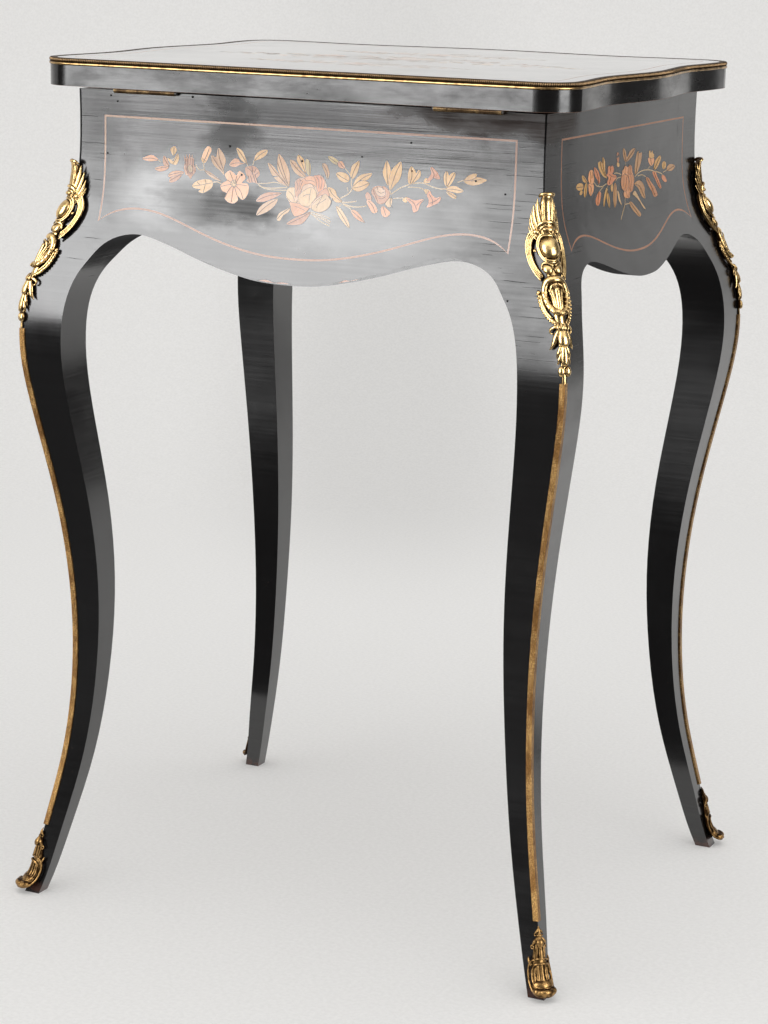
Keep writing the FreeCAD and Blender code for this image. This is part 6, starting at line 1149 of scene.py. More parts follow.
END_VENEERS = [
    (OCHRE, 0, [(107.4, 642.8), (105, 645.2), (98.8, 645.8), (93.4, 644.5), (92, 641.5), (96.1, 639.5),
        (103.7, 640.2)]),
    (OCHRE, 1, [(99.2, 639.2), (96, 639.8), (94.1, 638.5), (95.9, 636.3), (99.5, 636), (100.9, 637.3)]),
    (OCHRE, 0, [(95.3, 651), (91.1, 650.7), (85.6, 647.3), (83.3, 645.1), (88, 644.9), (93.4, 646.8)]),
    (OCHRE, 0, [(88, 644), (84.1, 644), (84.3, 640.2), (86.4, 635.7), (89.6, 633.3), (91.9, 635.1),
        (91.4, 639.1)]),
    (ORANGE, 1, [(79.4, 653.2), (75.5, 654.3), (71.2, 652.8), (70.6, 649.6), (69, 646.5), (70.7, 643.1),
        (75.5, 642.9), (80.1, 644.5), (82.1, 647.6), (80.9, 650.4)]),
    (ORANGE, 0, [(81, 643.4), (75.4, 643.5), (70.3, 641.9), (70.3, 638.4), (72.2, 635.7), (77.3, 633.5),
        (80.4, 635.8), (81.5, 640)]),
    (SALMON, 0, [(69.2, 655), (66, 655.2), (59.5, 651.6), (56.3, 647.2), (55.9, 643.6), (58.8, 641.5),
        (61.9, 644.7), (67.5, 649.3)]),
    (OCHRE, 0, [(60.6, 658.7), (55.1, 659.5), (51, 657.4), (51.2, 661.5), (49.3, 662.2), (45.4, 658.7),
        (44.6, 653.3), (44.2, 649.7), (40.2, 644.7), (49, 646.6), (56.3, 651.3), (59.7, 655.1)]),
    (SALMON, 1, [(38.6, 653.4), (34.6, 654.3), (32.1, 653.2), (28.9, 654.1), (25.5, 651.8), (26.2, 648.9),
        (28.7, 647), (21.3, 645.5), (20, 643), (25.6, 641.1), (29.9, 639), (38.1, 638.6), (41.1, 641.2),
        (37.7, 644.5), (42.6, 647.2), (39.3, 648.7)]),
    (SALMON, 0, [(59.4, 635.7), (55.6, 634.8), (55.3, 631.8), (59, 626.9), (63, 624.6), (67.4, 625.6),
        (67.9, 629.4), (63.8, 633.2)]),
    (OCHRE, 0, [(42.3, 637.2), (40.2, 634.6), (44.2, 630.8), (47.8, 625.3), (51.5, 622.4), (52, 625.1),
        (49.1, 630.7), (45.9, 634.5)]),
    (OCHRE, 1, [(41.5, 634.7), (37.8, 630.3), (37.2, 624.9), (40, 620.4), (42.4, 623.6), (43.7, 629)]),
    (OCHRE, 0, [(32.3, 639.3), (28.2, 638.9), (27.8, 635.3), (30.8, 632.5), (33.3, 635.2)]),
    (TAN, 0, [(23.2, 639.7), (20, 635.8), (20.7, 629.9), (23.7, 623.1), (28.5, 619.7), (29.8, 623.6),
        (29, 629.5), (26.7, 635.2)]),
    (CREAM, 0, [(18.9, 632.7), (15.5, 630.7), (14.4, 625.8), (12.4, 620.5), (15.7, 622.3), (18.4, 626.2)]),
    (PINK, 1, [(19.1, 663.2), (16.8, 663.9), (14, 661.6), (13.7, 657.4), (15.2, 655.1), (18.3, 656.6),
        (19.7, 660.3)]),
    (OCHRE, 0, [(17.9, 656), (14.1, 655.1), (12.8, 652.6), (15.6, 651.5), (19, 653.3)]),
    (TAN, 0, [(4.9, 666.3), (-0.3, 664.1), (-4.1, 658.4), (-10.6, 662.8), (-18, 664.5), (-22.9, 663.8),
        (-20.1, 660.3), (-12.7, 656.6), (-1.8, 654.4), (3.4, 657.8), (5.7, 662.2)]),
    (TAN, 0, [(-27.7, 660.9), (-31.2, 660.9), (-32.5, 659.3), (-37.3, 659.9), (-39.1, 658.2), (-37.7, 653.4),
        (-34.4, 648.8), (-28.4, 643.8), (-23.2, 642.4), (-22, 646.8), (-23.1, 652.7), (-25.4, 657.4)]),
    (OCHRE, 1, [(-55.6, 658.8), (-58.5, 659.8), (-60.1, 657.5), (-63.5, 659.5), (-65.1, 656.9),
        (-67.6, 656.1), (-67.1, 653), (-56.8, 653.5)]),
    (ORANGE, 0, [(-53.7, 653.4), (-59.5, 653.9), (-67.8, 652.3), (-68, 649.2), (-64.1, 646.8), (-59.7, 646.8),
        (-55.3, 649.6)]),
    (OCHRE, 0, [(-70.3, 649.7), (-76.4, 652.6), (-83.5, 653.6), (-84.5, 650.4), (-79.2, 645.9), (-72.9, 643),
        (-67.6, 643.1), (-68.5, 646.7)]),
    (OCHRE, 0, [(-89.1, 647.6), (-93.6, 647.9), (-97.2, 646.3), (-97.2, 643.2), (-92.6, 641.1),
        (-88.7, 642.3), (-87.3, 645.2)]),
    (TAN, 0, [(-101.7, 643.5), (-109.1, 644.5), (-119.1, 642.4), (-117.1, 640), (-110.6, 638.4),
        (-100.6, 639.2), (-98.9, 641.2)]),
    (SALMON, 0, [(-86.8, 637.2), (-92.1, 636.1), (-96.2, 633.3), (-98, 630.6), (-92.8, 630.1), (-87.9, 632.4),
        (-85.6, 634.8)]),
    (SALMON, 0, [(-64, 641.5), (-71.1, 641.3), (-74.3, 637.6), (-79.7, 632.2), (-83.2, 626.9), (-79.8, 625.7),
        (-74.7, 629.5), (-69.5, 634.9), (-65.5, 638.3)]),
    (PEACH, 0, [(-47.9, 637.9), (-54.8, 637), (-58.7, 633.9), (-65.8, 629.7), (-69.9, 625.6), (-72, 621.1),
        (-63.3, 620.4), (-59.8, 624.7), (-55, 628.7), (-50.6, 632.8)]),
    (TAN, 0, [(-20.7, 634.7), (-26.1, 636.7), (-33.9, 636.7), (-40.3, 633.7), (-43.8, 629.7), (-42.6, 625.5),
        (-42.5, 621), (-36.2, 622.5), (-31.8, 627.1), (-27.7, 631.1)]),
    (CREAM, 1, [(-14.7, 627.1), (-20.4, 629.3), (-25.4, 625.9), (-30.7, 619.9), (-35.4, 615.9),
        (-38.5, 612.6), (-34, 613.6), (-29.8, 618.2), (-24, 622.3), (-19, 624.9)]),
    (TAN, 0, [(-4.7, 621.1), (-9.9, 621.2), (-15.7, 617.7), (-21.8, 613.5), (-25.9, 609.5), (-21.1, 607.7),
        (-15.9, 609.9), (-8.9, 614.7), (-5.2, 618.6)]),
    (ORANGE, 3, [(6.3, 647.8), (3, 649.4), (-1.1, 651.8), (-5.4, 649.9), (-11.2, 651.6), (-15.5, 649.1),
        (-16.9, 644.7), (-19.7, 640.9), (-20.1, 636.6), (-17.6, 632), (-14.4, 629.2), (-9.1, 628.5),
        (-7.2, 625.1), (-1.9, 624.6), (4.3, 626.1), (5.9, 629.2), (4.6, 630.9), (9.1, 633.7), (10.4, 638.6),
        (8.9, 642.7), (7.2, 644.9)]),
    (PEACH, 4, [(7.2, 643.1), (3, 644.6), (-3.7, 643.4), (-7.2, 640.1), (-6.2, 634.8), (-1.3, 631),
        (4.5, 631.2), (9, 634.3), (9.7, 639.1)]),
    (PEACH, 4, [(-7.1, 643.7), (-14.7, 643.7), (-19.1, 639.7), (-19, 634.9), (-14.6, 629.8), (-10.3, 629.6),
        (-7.7, 633.4), (-9.2, 638.1)]),
    (ORANGE, 5, [(-0.3, 651.5), (-5, 649.8), (-5.4, 645.7), (-2, 644.2), (3.3, 646.4), (3, 649.1)]),
    (PEACH, 5, [(-7.4, 649.4), (-11.8, 651.2), (-15.6, 648.8), (-15.9, 644.8), (-12.1, 643.3),
                (-7.4, 644.9)]),
]
END_STEMS = [
    (0.8, [(69.1, 643.9), (63.7, 640.5), (52.6, 638.9), (42, 640.4)]),
    (0.7, [(49.5, 638.4), (57, 636.1), (58.7, 635.3)]),
    (0.8, [(24.6, 647.2), (18, 647), (8.9, 645)]),
    (0.7, [(21.5, 640.7), (17.2, 642.8), (9.8, 643)]),
    (0.9, [(-22.2, 640.7), (-32.6, 643.5), (-44.8, 644.3), (-57, 643.4), (-69.3, 641.4), (-83.4, 638.7),
        (-88.6, 636.7)]),
    (0.7, [(-29.1, 640.7), (-39.4, 640.8), (-48, 638.5)]),
    (0.6, [(-52.7, 644.6), (-58.8, 646.7)]),
    (0.6, [(-89.7, 638.8), (-99.8, 640.2)]),
    (0.6, [(-1, 654.5), (-1.1, 651.8)]),
    (0.9, [(2.8, 625.4), (5.8, 620.2), (12.9, 615), (20.7, 609.5)]),
    (0.7, [(5, 620.2), (-0.1, 620.3), (-6.7, 620)]),
    (0.6, [(58, 641.5), (60.5, 640.2)]),
    (0.6, [(39.7, 638.4), (41.2, 636.5)]),
]
END_LINES = [
    [(105.9, 642.7), (93.5, 642.2)],
    [(92.6, 650.2), (84.8, 645.2)],
    [(85.6, 643.8), (89.4, 634)],
    [(77.8, 653.1), (76.2, 648.8), (77, 643.7)],
    [(73.1, 652.7), (73.3, 647.4)],
    [(79.4, 642.1), (75.7, 639.5), (77.4, 634.4)],
    [(67.6, 654.6), (61.9, 649.4), (58.5, 642.1)],
    [(49.6, 661.4), (48.3, 652.4), (41, 645)],
    [(55.9, 658.9), (52.4, 652.8), (45, 646.8)],
    [(33.8, 653.6), (32.8, 649.4)],
    [(36, 647.3), (29.5, 645), (21.3, 644)],
    [(32.8, 644.6), (36.3, 639.6)],
    [(59.5, 635.1), (64.3, 625.3)],
    [(41, 634.7), (50.8, 622.9)],
    [(40.3, 634), (40.2, 621)],
    [(23, 638.5), (27.9, 620.2)],
    [(4, 665.7), (-1.8, 655)],
    [(-21.5, 663.5), (-11.7, 659.1), (-2.6, 654.9)],
    [(-30, 660.4), (-29.1, 652.3), (-24.9, 642.9)],
    [(-59.5, 653.6), (-61.5, 647.3)],
    [(-83.1, 653), (-75.6, 648), (-68.5, 643.3)],
    [(-92.7, 647.6), (-91.7, 641.5)],
    [(-117.3, 642.2), (-100.6, 639.5)],
    [(-67.5, 640.6), (-80.8, 626.2)],
    [(-50.4, 637.1), (-58.9, 630.3), (-66.1, 620.7)],
    [(-23.2, 634.5), (-32.9, 631.3), (-41.1, 621.7)],
    [(-7, 620.6), (-15.3, 614.1), (-21.4, 608.2)],
    [(3, 644), (3.3, 639.2), (5.6, 634.6)],
    [(-2.8, 642.3), (-1.4, 636.4), (2.7, 631.9)],
    [(-12.1, 642.7), (-13.4, 637.8), (-10.5, 630.8)],
    [(-1.1, 650.9), (-0.7, 644.9)],
    [(-11.3, 650.6), (-11.8, 644)],
    [(-0.3, 630.5), (-2.3, 625.5)],
    [(-7.6, 629.2), (-3.8, 625.1)],
    [(-5.4, 643.9), (-8.4, 638.2), (-6.1, 630)],
]

# Veneers are cut along level lines this far apart; lifts and widths are in millimetres
LEVEL_STEP = 3.0
VENEER_LIFT, ORDER_LIFT, VENEER_SINK = 0.05, 0.03, -0.2
STEM_LIFT, DRAWN_LIFT, EDGE_LIFT = 0.06, 0.28, 0.012
DRAWN_WIDTH, EDGE_WIDTH = 0.34, 0.3
# Share of each lift on the lid, which is flat and seen at a low angle
LID_RISE = 0.2
# Where lines towards a panel start, and how far off the panels lie from there: along X, Y and Z, in metres
LINE_START, LINE_START_ABOVE = 0.5, 1.5
FAR_OFF = (0.28, 0.31, 0.77)


def face_point(tree, axis, side, across, height):
    """Where a straight line from outside meets a panel, or else its nearest edge, and the way it faces."""
    start, ray = Vector((across, height, LINE_START_ABOVE)), Vector((0, 0, -1))
    if axis == 1:
        start, ray = Vector((across, side * LINE_START, height)), Vector((0, -side, 0))
    elif axis == 0:
        start, ray = Vector((side * LINE_START, across, height)), Vector((-side, 0, 0))
    spot, normal, _, _ = tree.ray_cast(start, ray)
    if spot is None:
        spot, normal, _, _ = tree.find_nearest(start + ray * FAR_OFF[axis])
    return spot, normal


class Inlay:
    """Thin veneers and lines laid on a panel; axis and side say which way the panel faces."""

    def __init__(self, tree, axis, side):
        self.tree, self.axis, self.side = tree, axis, side
        self.rise = MM * (LID_RISE if axis == 2 else 1.0)
        self.points, self.faces, self.tints = [], [], []

    def lay(self, spots, lift, tint):
        """Puts points at a height over the panel and returns the number of the first."""
        first = len(self.points)
        for u, z in spots:
            spot, normal = face_point(self.tree, self.axis, self.side, u * MM, z * MM)
            self.points.append(spot + normal * (lift * self.rise))
            self.tints.append(tuple(tint) + (1.0,))
        return first

    def veneer(self, outline, order, tint):
        """A flat piece with a smooth outline, cut along level lines so that it follows the bow."""
        ring = curve_through(outline, 4 * len(outline), closed=True)
        shell = bmesh.new()
        shell.faces.new([shell.verts.new((u, z, 0)) for u, z in ring])
        for level in np.arange(ring[:, 1].min() + LEVEL_STEP / 2, ring[:, 1].max(), LEVEL_STEP):
            parts = shell.verts[:] + shell.edges[:] + shell.faces[:]
            bmesh.ops.bisect_plane(shell, geom=parts, plane_co=(0, level, 0), plane_no=(0, 1, 0))
        bmesh.ops.triangulate(shell, faces=shell.faces[:])
        shell.verts.index_update()
        spots = [(v.co.x, v.co.y) for v in shell.verts]
        sheet = [tuple(v.index for v in face.verts) for face in shell.faces]
        rim = [tuple(v.index for v in edge.verts) for edge in shell.edges if edge.is_boundary]
        shell.free()
        lift = VENEER_LIFT + ORDER_LIFT * order
        top, low = self.lay(spots, lift, tint), self.lay(spots, VENEER_SINK, tint)
        self.faces += [tuple(top + i for i in face) for face in sheet]
        self.faces += [tuple(low + i for i in reversed(face)) for face in sheet]
        self.faces += [(top + a, top + b, low + b, low + a) for a, b in rim]
        self.ribbon(outline, EDGE_WIDTH, lift + EDGE_LIFT, EDGE_TINT, closed=True)

    def ribbon(self, line, width, lift, tint, closed=False, steps=4):
        """A narrow strip along a smooth line; the width may be a list that runs along it."""
        path = curve_through(line, steps * len(line), closed)
        ahead = np.roll(path, -1, 0) - np.roll(path, 1, 0) if closed else np.gradient(path, axis=0)
        ahead /= np.linalg.norm(ahead, axis=1)[:, None] + 1e-9
        count = len(path)
        widths = np.interp(np.linspace(0, 1, count), np.linspace(0, 1, np.size(width)), np.ravel(width))
        aside = np.stack([-ahead[:, 1], ahead[:, 0]], 1) * widths[:, None] / 2
        first = self.lay(path + aside, lift, tint)
        self.lay(path - aside, lift, tint)
        self.lay(path - aside, VENEER_SINK, tint)
        self.lay(path + aside, VENEER_SINK, tint)
        for k in range(count if closed else count - 1):
            n = (k + 1) % count
            for r in range(4):
                a, b = first + r * count, first + (r + 1) % 4 * count
                self.faces.append((a + k, a + n, b + n, b + k))
        if not closed:
            for k in (0, count - 1):
                self.faces.append(tuple(first + r * count + k for r in range(4)))

    def spray(self, veneers, stems, lines, seed, shift=(0.0, 0.0), scale=1.0, middle=(0.0, 0.0)):
        """A whole spray, moved and scaled about its middle; tints drift a little from piece to piece."""
        dice = np.random.default_rng(seed)

        def place(points):
            return (np.array(points) - middle) * scale + shift

        for tint, order, outline in veneers:
            self.veneer(place(outline), order, np.clip(np.array(tint) * (1 + dice.normal(0, 0.06)), 0, 1))
        for width, line in stems:
            self.ribbon(place(line), width * scale, STEM_LIFT, STEM_TINT)
        for line in lines:
            self.ribbon(place(line), DRAWN_WIDTH * scale, DRAWN_LIFT, LINE_TINT)

    def built(self, name, mover):
        piece = mesh_piece(name, self.points, self.faces, FINISHES["marquetry_veneer"],
                           {"tint": np.array(self.tints)})
        piece.data.set_sharp_from_angle(angle=math.radians(30))
        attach(piece, mover)


# The CAD inlays fill their beds in black; the sprays lie on them and on the panel
PANELS = {side: surface_of(f"apron_{side}", f"marquetry_{side}", f"stringing_{side}")
          for side in ("back", "front", "left", "right")}
for side, axis, sign in (("back", 1, 1), ("front", 1, -1), ("left", 0, -1), ("right", 0, 1)):
    NODES[f"marquetry_{side}"].data.materials[0] = FINISHES["black_lacquer"]
    inlay = Inlay(PANELS[side], axis, sign)
    if axis == 1:
        inlay.spray(BACK_VENEERS, BACK_STEMS, BACK_LINES, 3)
    else:
        inlay.spray(END_VENEERS, END_STEMS, END_LINES, 5)
    inlay.built(f"marquetry_{side}_spray", "carcass")
SPRAY_MIDDLE = (0.0, 636.0)
NODES["lid_marquetry"].data.materials[0] = NODES["lid_panel"].data.materials[0]
inlay = Inlay(surface_of("lid_panel", "lid_marquetry"), 2, 1)
inlay.spray(BACK_VENEERS, BACK_STEMS, BACK_LINES, 4, (0.0, 0.0), 1.1, SPRAY_MIDDLE)
inlay.spray(END_VENEERS, END_STEMS, END_LINES, 6, (0.0, 80.0), 0.9, SPRAY_MIDDLE)
inlay.spray(END_VENEERS, END_STEMS, END_LINES, 6, (0.0, -80.0), 0.9, SPRAY_MIDDLE)
inlay.built("lid_marquetry_spray", "lid")


# Along the lower edge of the back: a dark rim of painted shadow where the underside lies in shade, and two
# chips of bare wood

# The first tint is painted shadow for the band along the lower edge, and also the dark rim round each chip
SHADOW_AND_CHIP_RIM_TINT, CHIP_TINT = (0.006, 0.005, 0.005), (0.5, 0.2, 0.09)
SHADOW_LIFT, CHIP_RIM_WIDTH, CHIP_RIM_LIFT = 0.02, 0.8, 0.1
# The painted shadow rim starts this far above the edge, in steps this long along it
SHADOW_START, SHADOW_STEP = 0.25, 3.0
# Levels between which the lower edge is looked for, and the step, in metres
FOOT_LOW, FOOT_HIGH, FOOT_STEP = 0.53, 0.66, 0.0005
# Width of the painted shadow rim along the edge, both in millimetres
SHADOW_RIM = [(130, 0.4), (60, 0.7), (30, 1.3), (10, 1.7), (-12, 1.2), (-30, 1.9), (-60, 2.3), (-80, 2.2),
              (-110, 2.8),
              (-130, 2.7), (-142, 1.5), (-150, 0.5)]
# Chips: where along the edge, and how high above it each corner stands
CHIPS = [[(27, 0.5), (14, 0.4), (-3, 0.5), (-1, 1.7), (5, 2.0), (11, 1.3), (18, 2.4), (24, 1.4)],
         [(-42, 0.5), (-54, 0.4), (-65, 0.6), (-61, 1.8), (-56, 1.3), (-52, 2.6), (-47, 1.5)]]


def apron_foot(x):
    """Height of the back apron's lower edge in millimetres."""
    inward = Vector((0, -1, 0))
    heights = np.arange(FOOT_LOW, FOOT_HIGH, FOOT_STEP)
    met = [z for z in heights if PANELS["back"].ray_cast(Vector((x * MM, LINE_START, z)), inward)[0]]
    return min(met) / MM


dice = np.random.default_rng(11)
shade_and_chips = Inlay(PANELS["back"], 1, 1)
rim_x = np.arange(SHADOW_RIM[0][0], SHADOW_RIM[-1][0], -SHADOW_STEP)
rim_widths = np.interp(-rim_x, [-x for x, _ in SHADOW_RIM], [w for _, w in SHADOW_RIM])
rim_widths = rim_widths * dice.uniform(0.75, 1.2, len(rim_x))
rim_line = [(x, apron_foot(x) + SHADOW_START + w / 2) for x, w in zip(rim_x, rim_widths)]
# Painted shadow: a dark band along the lower edge stands in for the shaded underside
shade_and_chips.ribbon(rim_line, rim_widths, SHADOW_LIFT, SHADOW_AND_CHIP_RIM_TINT, steps=2)
for chip in CHIPS:
    outline = [(x, apron_foot(x) + up) for x, up in chip]
    shade_and_chips.veneer(outline, 0, CHIP_TINT)
    shade_and_chips.ribbon(outline, CHIP_RIM_WIDTH, CHIP_RIM_LIFT, SHADOW_AND_CHIP_RIM_TINT, closed=True)
shade_and_chips.built("apron_back_shadow_and_chips", "carcass")


# Worm holes in the back, drawn as dark matte plugs whose dark is painted shade in place of the holes' depth;
# as X, Z and radius in millimetres

WORM_HOLES = [
    (180, 699.5, 0.8), (173.5, 695, 0.7), (102, 702, 1.0), (183.5, 652, 0.7), (67, 664, 1.0),
    (55.5, 641.5, 0.8),
    (0.5, 656, 0.9), (-53, 662.5, 0.7), (-96, 676, 0.8), (-97.3, 654, 0.7), (-152.5, 649.5, 0.8),
    (-178, 641, 0.8),
    (-186.5, 656.5, 0.8), (-193, 562, 0.8),
]
# Half the apron's seen length and the depths between which a hole runs, in millimetres
APRON_HALF, HOLE_MOUTH, HOLE_END = 164, 0.34, -0.3
HOLE_SIDES = 12
holes = []
hole_faces = []
for x, z, radius in WORM_HOLES:
    leg = "leg_back_right" if x > 0 else "leg_back_left"
    tree = PANELS["back"] if abs(x) < APRON_HALF else surface_of(leg)
    spot, normal = face_point(tree, 1, 1, x * MM, z * MM)
    aside = Vector((1, 0, 0))
    up = normal.cross(aside).normalized()
    start = len(holes)
    for lift in (HOLE_MOUTH, HOLE_END):
        for k in range(HOLE_SIDES):
            turn = 2 * math.pi * k / HOLE_SIDES
            reach = radius * (1 + 0.12 * math.sin(3 * turn + x)) * MM
            rim = aside * (reach * math.cos(turn)) + up * (reach * math.sin(turn))
            holes.append(spot + rim + normal * (lift * MM))
    hole_faces.append(tuple(start + k for k in range(HOLE_SIDES)))
    hole_faces.append(tuple(start + HOLE_SIDES + k for k in reversed(range(HOLE_SIDES))))
    for k in range(HOLE_SIDES):
        n = (k + 1) % HOLE_SIDES
        hole_faces.append((start + k, start + n, start + HOLE_SIDES + n, start + HOLE_SIDES + k))
# The plugs' dark colour is painted shade for the inside of each hole
worm_holes = mesh_piece("worm_holes", holes, hole_faces, HOLE_PAINTED_SHADE)
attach(worm_holes, "carcass")


# Floor, backdrop and light

CAMERA_EMISSION, GLOSSY_EMISSION = 0.27, 0.62
# Middle and half sizes of the table's painted shadow on the backdrop, and how dark it is
TABLE_SHADOW_FAR, TABLE_SHADOW_DEEP, TABLE_SHADOW_WIDE, TABLE_SHADOW_LEVEL = 1.75, 0.95, 0.36, 0.86


def backdrop_finish():
    """Pale paper, with a faint painted shadow of the table where the table stands before it; clear from
    outside.
    """
    f = Finish("backdrop")
    place = f.place()
    weave = f.noise(f.stretch(place, (260.0, 260.0, 260.0)), 1.0, 3.0, 0.7)
    x, y, _ = f.parts(place)
    reach = f.sums("ADD", f.sums("MULTIPLY", x, FAR.x), f.sums("MULTIPLY", y, FAR.y))
    aside = f.sums("ADD", f.sums("MULTIPLY", x, ASIDE.x), f.sums("MULTIPLY", y, ASIDE.y))
    # Painted shadow: the paper is darkened where the table's shadow falls on it
    deep = f.sums("DIVIDE", f.sums("SUBTRACT", reach, TABLE_SHADOW_FAR), TABLE_SHADOW_DEEP)
    wide = f.sums("DIVIDE", aside, TABLE_SHADOW_WIDE)
    away = f.sums("SQRT", f.sums("ADD", f.sums("MULTIPLY", deep, deep), f.sums("MULTIPLY", wide, wide)))
    level = f.ease(away, 0.2, 1.0, TABLE_SHADOW_LEVEL, 1.0)
    colour = f.mix(f.ease(weave, 0.3, 0.7), rgb(0.68, 0.676, 0.668), rgb(0.73, 0.726, 0.718))
    shade = f.add("ShaderNodeCombineXYZ", {"X": level, "Y": level, "Z": level})
    colour = f.add("ShaderNodeVectorMath", {0: colour, 1: shade}, operation="MULTIPLY")
    f.finish(Base_Color=colour, Roughness=0.9)
    path = f.tree.nodes.new("ShaderNodeLightPath")
    seen = f.sums("MAXIMUM", path.outputs["Is Camera Ray"], path.outputs["Is Transmission Ray"])
    # Its faces are turned away from the table
    turned = f.tree.nodes.new("ShaderNodeNewGeometry")
    f.join(turned.outputs["Backfacing"], f.surface.inputs["Alpha"])
    f.join(colour, f.surface.inputs["Emission Color"])
    mirrored = f.sums("MULTIPLY", path.outputs["Is Glossy Ray"], GLOSSY_EMISSION)
    glow = f.sums("MAXIMUM", f.sums("MULTIPLY", seen, CAMERA_EMISSION), mirrored)
    f.join(glow, f.surface.inputs["Emission Strength"])
    return f.material


# The backdrop rises behind the table as the camera sees it, and ends beside it
VIEW_AZIMUTH = math.radians(205.92)
FAR = Vector((-math.sin(VIEW_AZIMUTH), math.cos(VIEW_AZIMUTH), 0))
ASIDE = Vector((-FAR.y, FAR.x, 0))
BACKDROP_REACH, BACKDROP_BEND, BACKDROP_TOP = 2.4, 1.0, 4.5
BACKDROP_SIDES = (-2.55, 5.0)
FLOOR_FRONT = -5.0
turns = np.linspace(0.0, math.pi / 2, 20)
sweep = [(FLOOR_FRONT, 0.0)]
sweep += [(BACKDROP_REACH - BACKDROP_BEND * (1 - math.sin(a)), BACKDROP_BEND * (1 - math.cos(a)))
          for a in turns]
sweep.append((BACKDROP_REACH, BACKDROP_TOP))
drop = [FAR * reach + ASIDE * side + Vector((0, 0, height)) for reach, height in sweep
        for side in BACKDROP_SIDES]
drop_faces = [(2 * k, 2 * k + 1, 2 * k + 3, 2 * k + 2) for k in range(len(sweep) - 1)]
backdrop_mesh = bpy.data.meshes.new("backdrop")
backdrop_mesh.from_pydata(drop, [], drop_faces)
backdrop_mesh.materials.append(backdrop_finish())
backdrop_mesh.polygons.foreach_set("use_smooth", [True] * len(backdrop_mesh.polygons))
backdrop = bpy.data.objects.new("backdrop", backdrop_mesh)
bpy.context.scene.collection.objects.link(backdrop)

WORLD_STRENGTH, WORLD_SEEN = 0.78, 0.85
world = bpy.data.worlds.new("room")
world.use_nodes = True
bpy.context.scene.world = world
tree = world.node_tree
background = tree.nodes["Background"]
path = tree.nodes.new("ShaderNodeLightPath")
seen = tree.nodes.new("ShaderNodeMath")
seen.operation = "MAXIMUM"
tree.links.new(path.outputs["Is Camera Ray"], seen.inputs[0])
tree.links.new(path.outputs["Is Glossy Ray"], seen.inputs[1])
level = tree.nodes.new("ShaderNodeMapRange")
level.inputs["To Min"].default_value = WORLD_STRENGTH
level.inputs["To Max"].default_value = WORLD_SEEN
tree.links.new(seen.outputs[0], level.inputs["Value"])
tree.links.new(level.outputs[0], background.inputs["Strength"])
background.inputs["Color"].default_value = (1.0, 0.99, 0.975, 1.0)


CARD_GLOW = 0.035


def dark_card(name, points, faces):
    """A dark studio card that only reflections see: it keeps the black lacquer black."""
    f = Finish(name)
    f.finish(Base_Color=rgb(0.02, 0.02, 0.022), Roughness=0.9)
    f.join(rgb(1.0, 1.0, 1.0), f.surface.inputs["Emission Color"])
    f.join(CARD_GLOW, f.surface.inputs["Emission Strength"])
    mesh = bpy.data.meshes.new(name)
    mesh.from_pydata(points, [], faces)
    mesh.materials.append(f.material)
    card = bpy.data.objects.new(name, mesh)
    bpy.context.scene.collection.objects.link(card)
    card.visible_camera = card.visible_diffuse = card.visible_shadow = card.visible_transmission = False


def polar(azimuth, reach, height):
    turn = math.radians(azimuth)
    return (reach * math.cos(turn), reach * math.sin(turn), height)


# Dark cards stand round the side away from the backdrop, and lie on the floor there
CARD_START, CARD_END, CARD_REACH, CARD_TOP = 20.0, 243.0, 3.4, 4.0
FLOOR_CARD_START, FLOOR_CARD_END, FLOOR_CARD_NEAR, FLOOR_CARD_HEIGHT = 10.0, 225.0, 0.62, 0.004
swings = np.linspace(CARD_START, CARD_END, 40)
ring = [polar(a, CARD_REACH, z) for a in swings for z in (0.0, CARD_TOP)]
ring_faces = [(2 * k, 2 * k + 1, 2 * k + 3, 2 * k + 2) for k in range(len(swings) - 1)]
dark_card("dark_card_wall", ring, ring_faces)
swings = np.linspace(FLOOR_CARD_START, FLOOR_CARD_END, 40)
ring = [polar(a, r, FLOOR_CARD_HEIGHT) for a in swings for r in (FLOOR_CARD_NEAR, CARD_REACH)]
dark_card("dark_card_floor", ring, ring_faces)


def window(name, azimuth, distance, foot, top, width, radiance):
    """A tall soft window that gloss and metal show; it leaves plain surfaces at their own colour."""
    light = bpy.data.lights.new(name, "AREA")
    light.shape = "RECTANGLE"
    light.size, light.size_y = width, top - foot
    light.energy = radiance * math.pi * width * (top - foot)
    lamp = bpy.data.objects.new(name, light)
    lamp.location = polar(azimuth, distance, (foot + top) / 2)
    facing = Vector((-lamp.location.x, -lamp.location.y, 0.0))
    lamp.rotation_euler = facing.to_track_quat("-Z", "Y").to_euler()
    lamp.visible_camera = lamp.visible_diffuse = False
    bpy.context.scene.collection.objects.link(lamp)


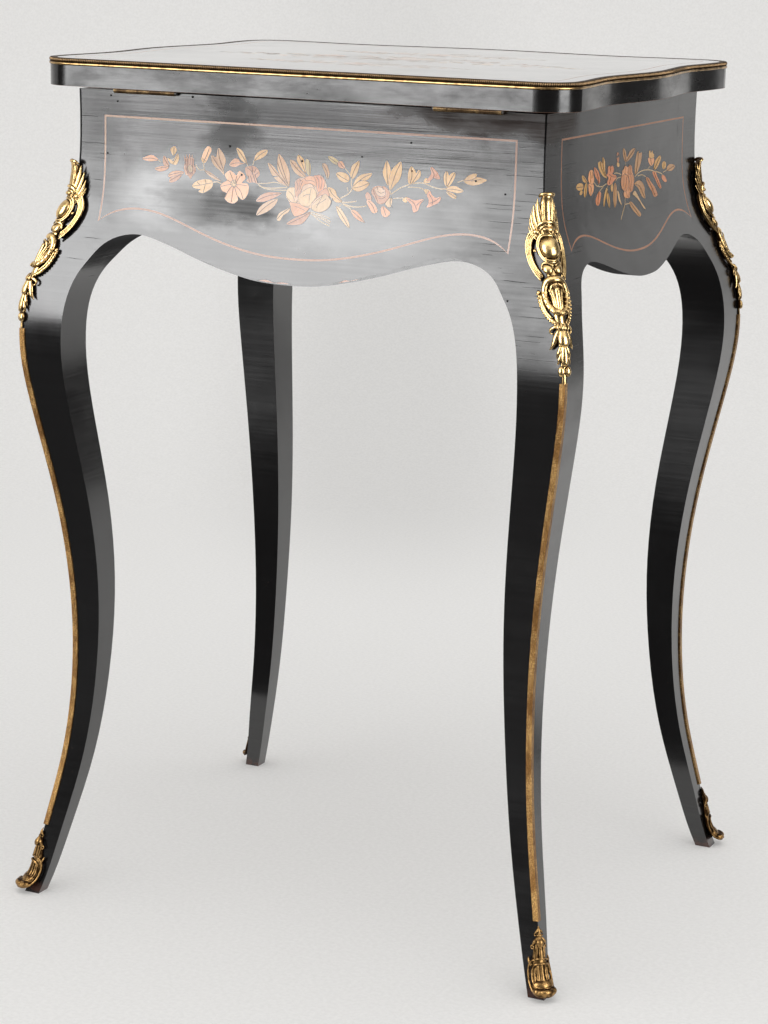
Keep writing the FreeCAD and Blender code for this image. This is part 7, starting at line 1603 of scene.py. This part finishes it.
def soft_light(name, azimuth, distance, height, size, power):
    light = bpy.data.lights.new(name, "AREA")
    light.size = size
    light.energy = power
    lamp = bpy.data.objects.new(name, light)
    lamp.location = polar(azimuth, distance, height)
    lamp.rotation_euler = (Vector((0, 0, 0.5)) - lamp.location).to_track_quat("-Z", "Y").to_euler()
    bpy.context.scene.collection.objects.link(lamp)


# Two dark cards under the aprons keep the inner faces of the front legs black
LEG_CARD_Y, LEG_CARD_TOP = -0.1, 0.545
for name, start, end in (("dark_card_leg_right", 0.16, 0.34), ("dark_card_leg_left", -0.24, -0.06)):
    corners = [(x, LEG_CARD_Y, z) for x, z in ((start, 0.01), (end, 0.01), (end, LEG_CARD_TOP),
                                               (start, LEG_CARD_TOP))]
    dark_card(name, corners, [(0, 1, 2, 3)])

window("window_back", 64.0, 2.05, 0.5, 2.5, 1.35, 9.0)
window("window_side", 165.0, 2.3, 0.35, 2.3, 1.2, 8.0)
soft_light("overhead", 120.0, 0.7, 2.6, 2.0, 12.0)


# Camera, fitted to the photograph

CAMERA = Vector((-0.98971, 2.04622, 0.86158))
YAW, PITCH, ROLL = 3.5939, 0.22867, 0.01967
FOCAL_PX = 2632.04
CENTRE_PX = (383.3, 512.2)
FRAME_PX = (768, 1024)
SENSOR_MM = 36.0

back = Vector((math.sin(YAW) * math.cos(PITCH), -math.cos(YAW) * math.cos(PITCH), math.sin(PITCH)))
forward = -back
level_right = forward.cross(Vector((0, 0, 1))).normalized()
level_up = level_right.cross(forward)
right = math.cos(ROLL) * level_right + math.sin(ROLL) * level_up
up = math.cos(ROLL) * level_up - math.sin(ROLL) * level_right
camera_data = bpy.data.cameras.new("camera")
camera_data.sensor_width = SENSOR_MM
camera_data.lens = FOCAL_PX * SENSOR_MM / FRAME_PX[1]
camera_data.shift_x = (FRAME_PX[0] / 2 - CENTRE_PX[0]) / FRAME_PX[1]
camera_data.shift_y = (CENTRE_PX[1] - FRAME_PX[1] / 2) / FRAME_PX[1]
camera_data.clip_start, camera_data.clip_end = 0.05, 60.0
camera = bpy.data.objects.new("camera", camera_data)
camera.matrix_world = Matrix.Translation(CAMERA) @ Matrix((right, up, back)).transposed().to_4x4()
bpy.context.scene.collection.objects.link(camera)
bpy.context.scene.camera = camera
bpy.context.scene.view_settings.view_transform = "Standard"
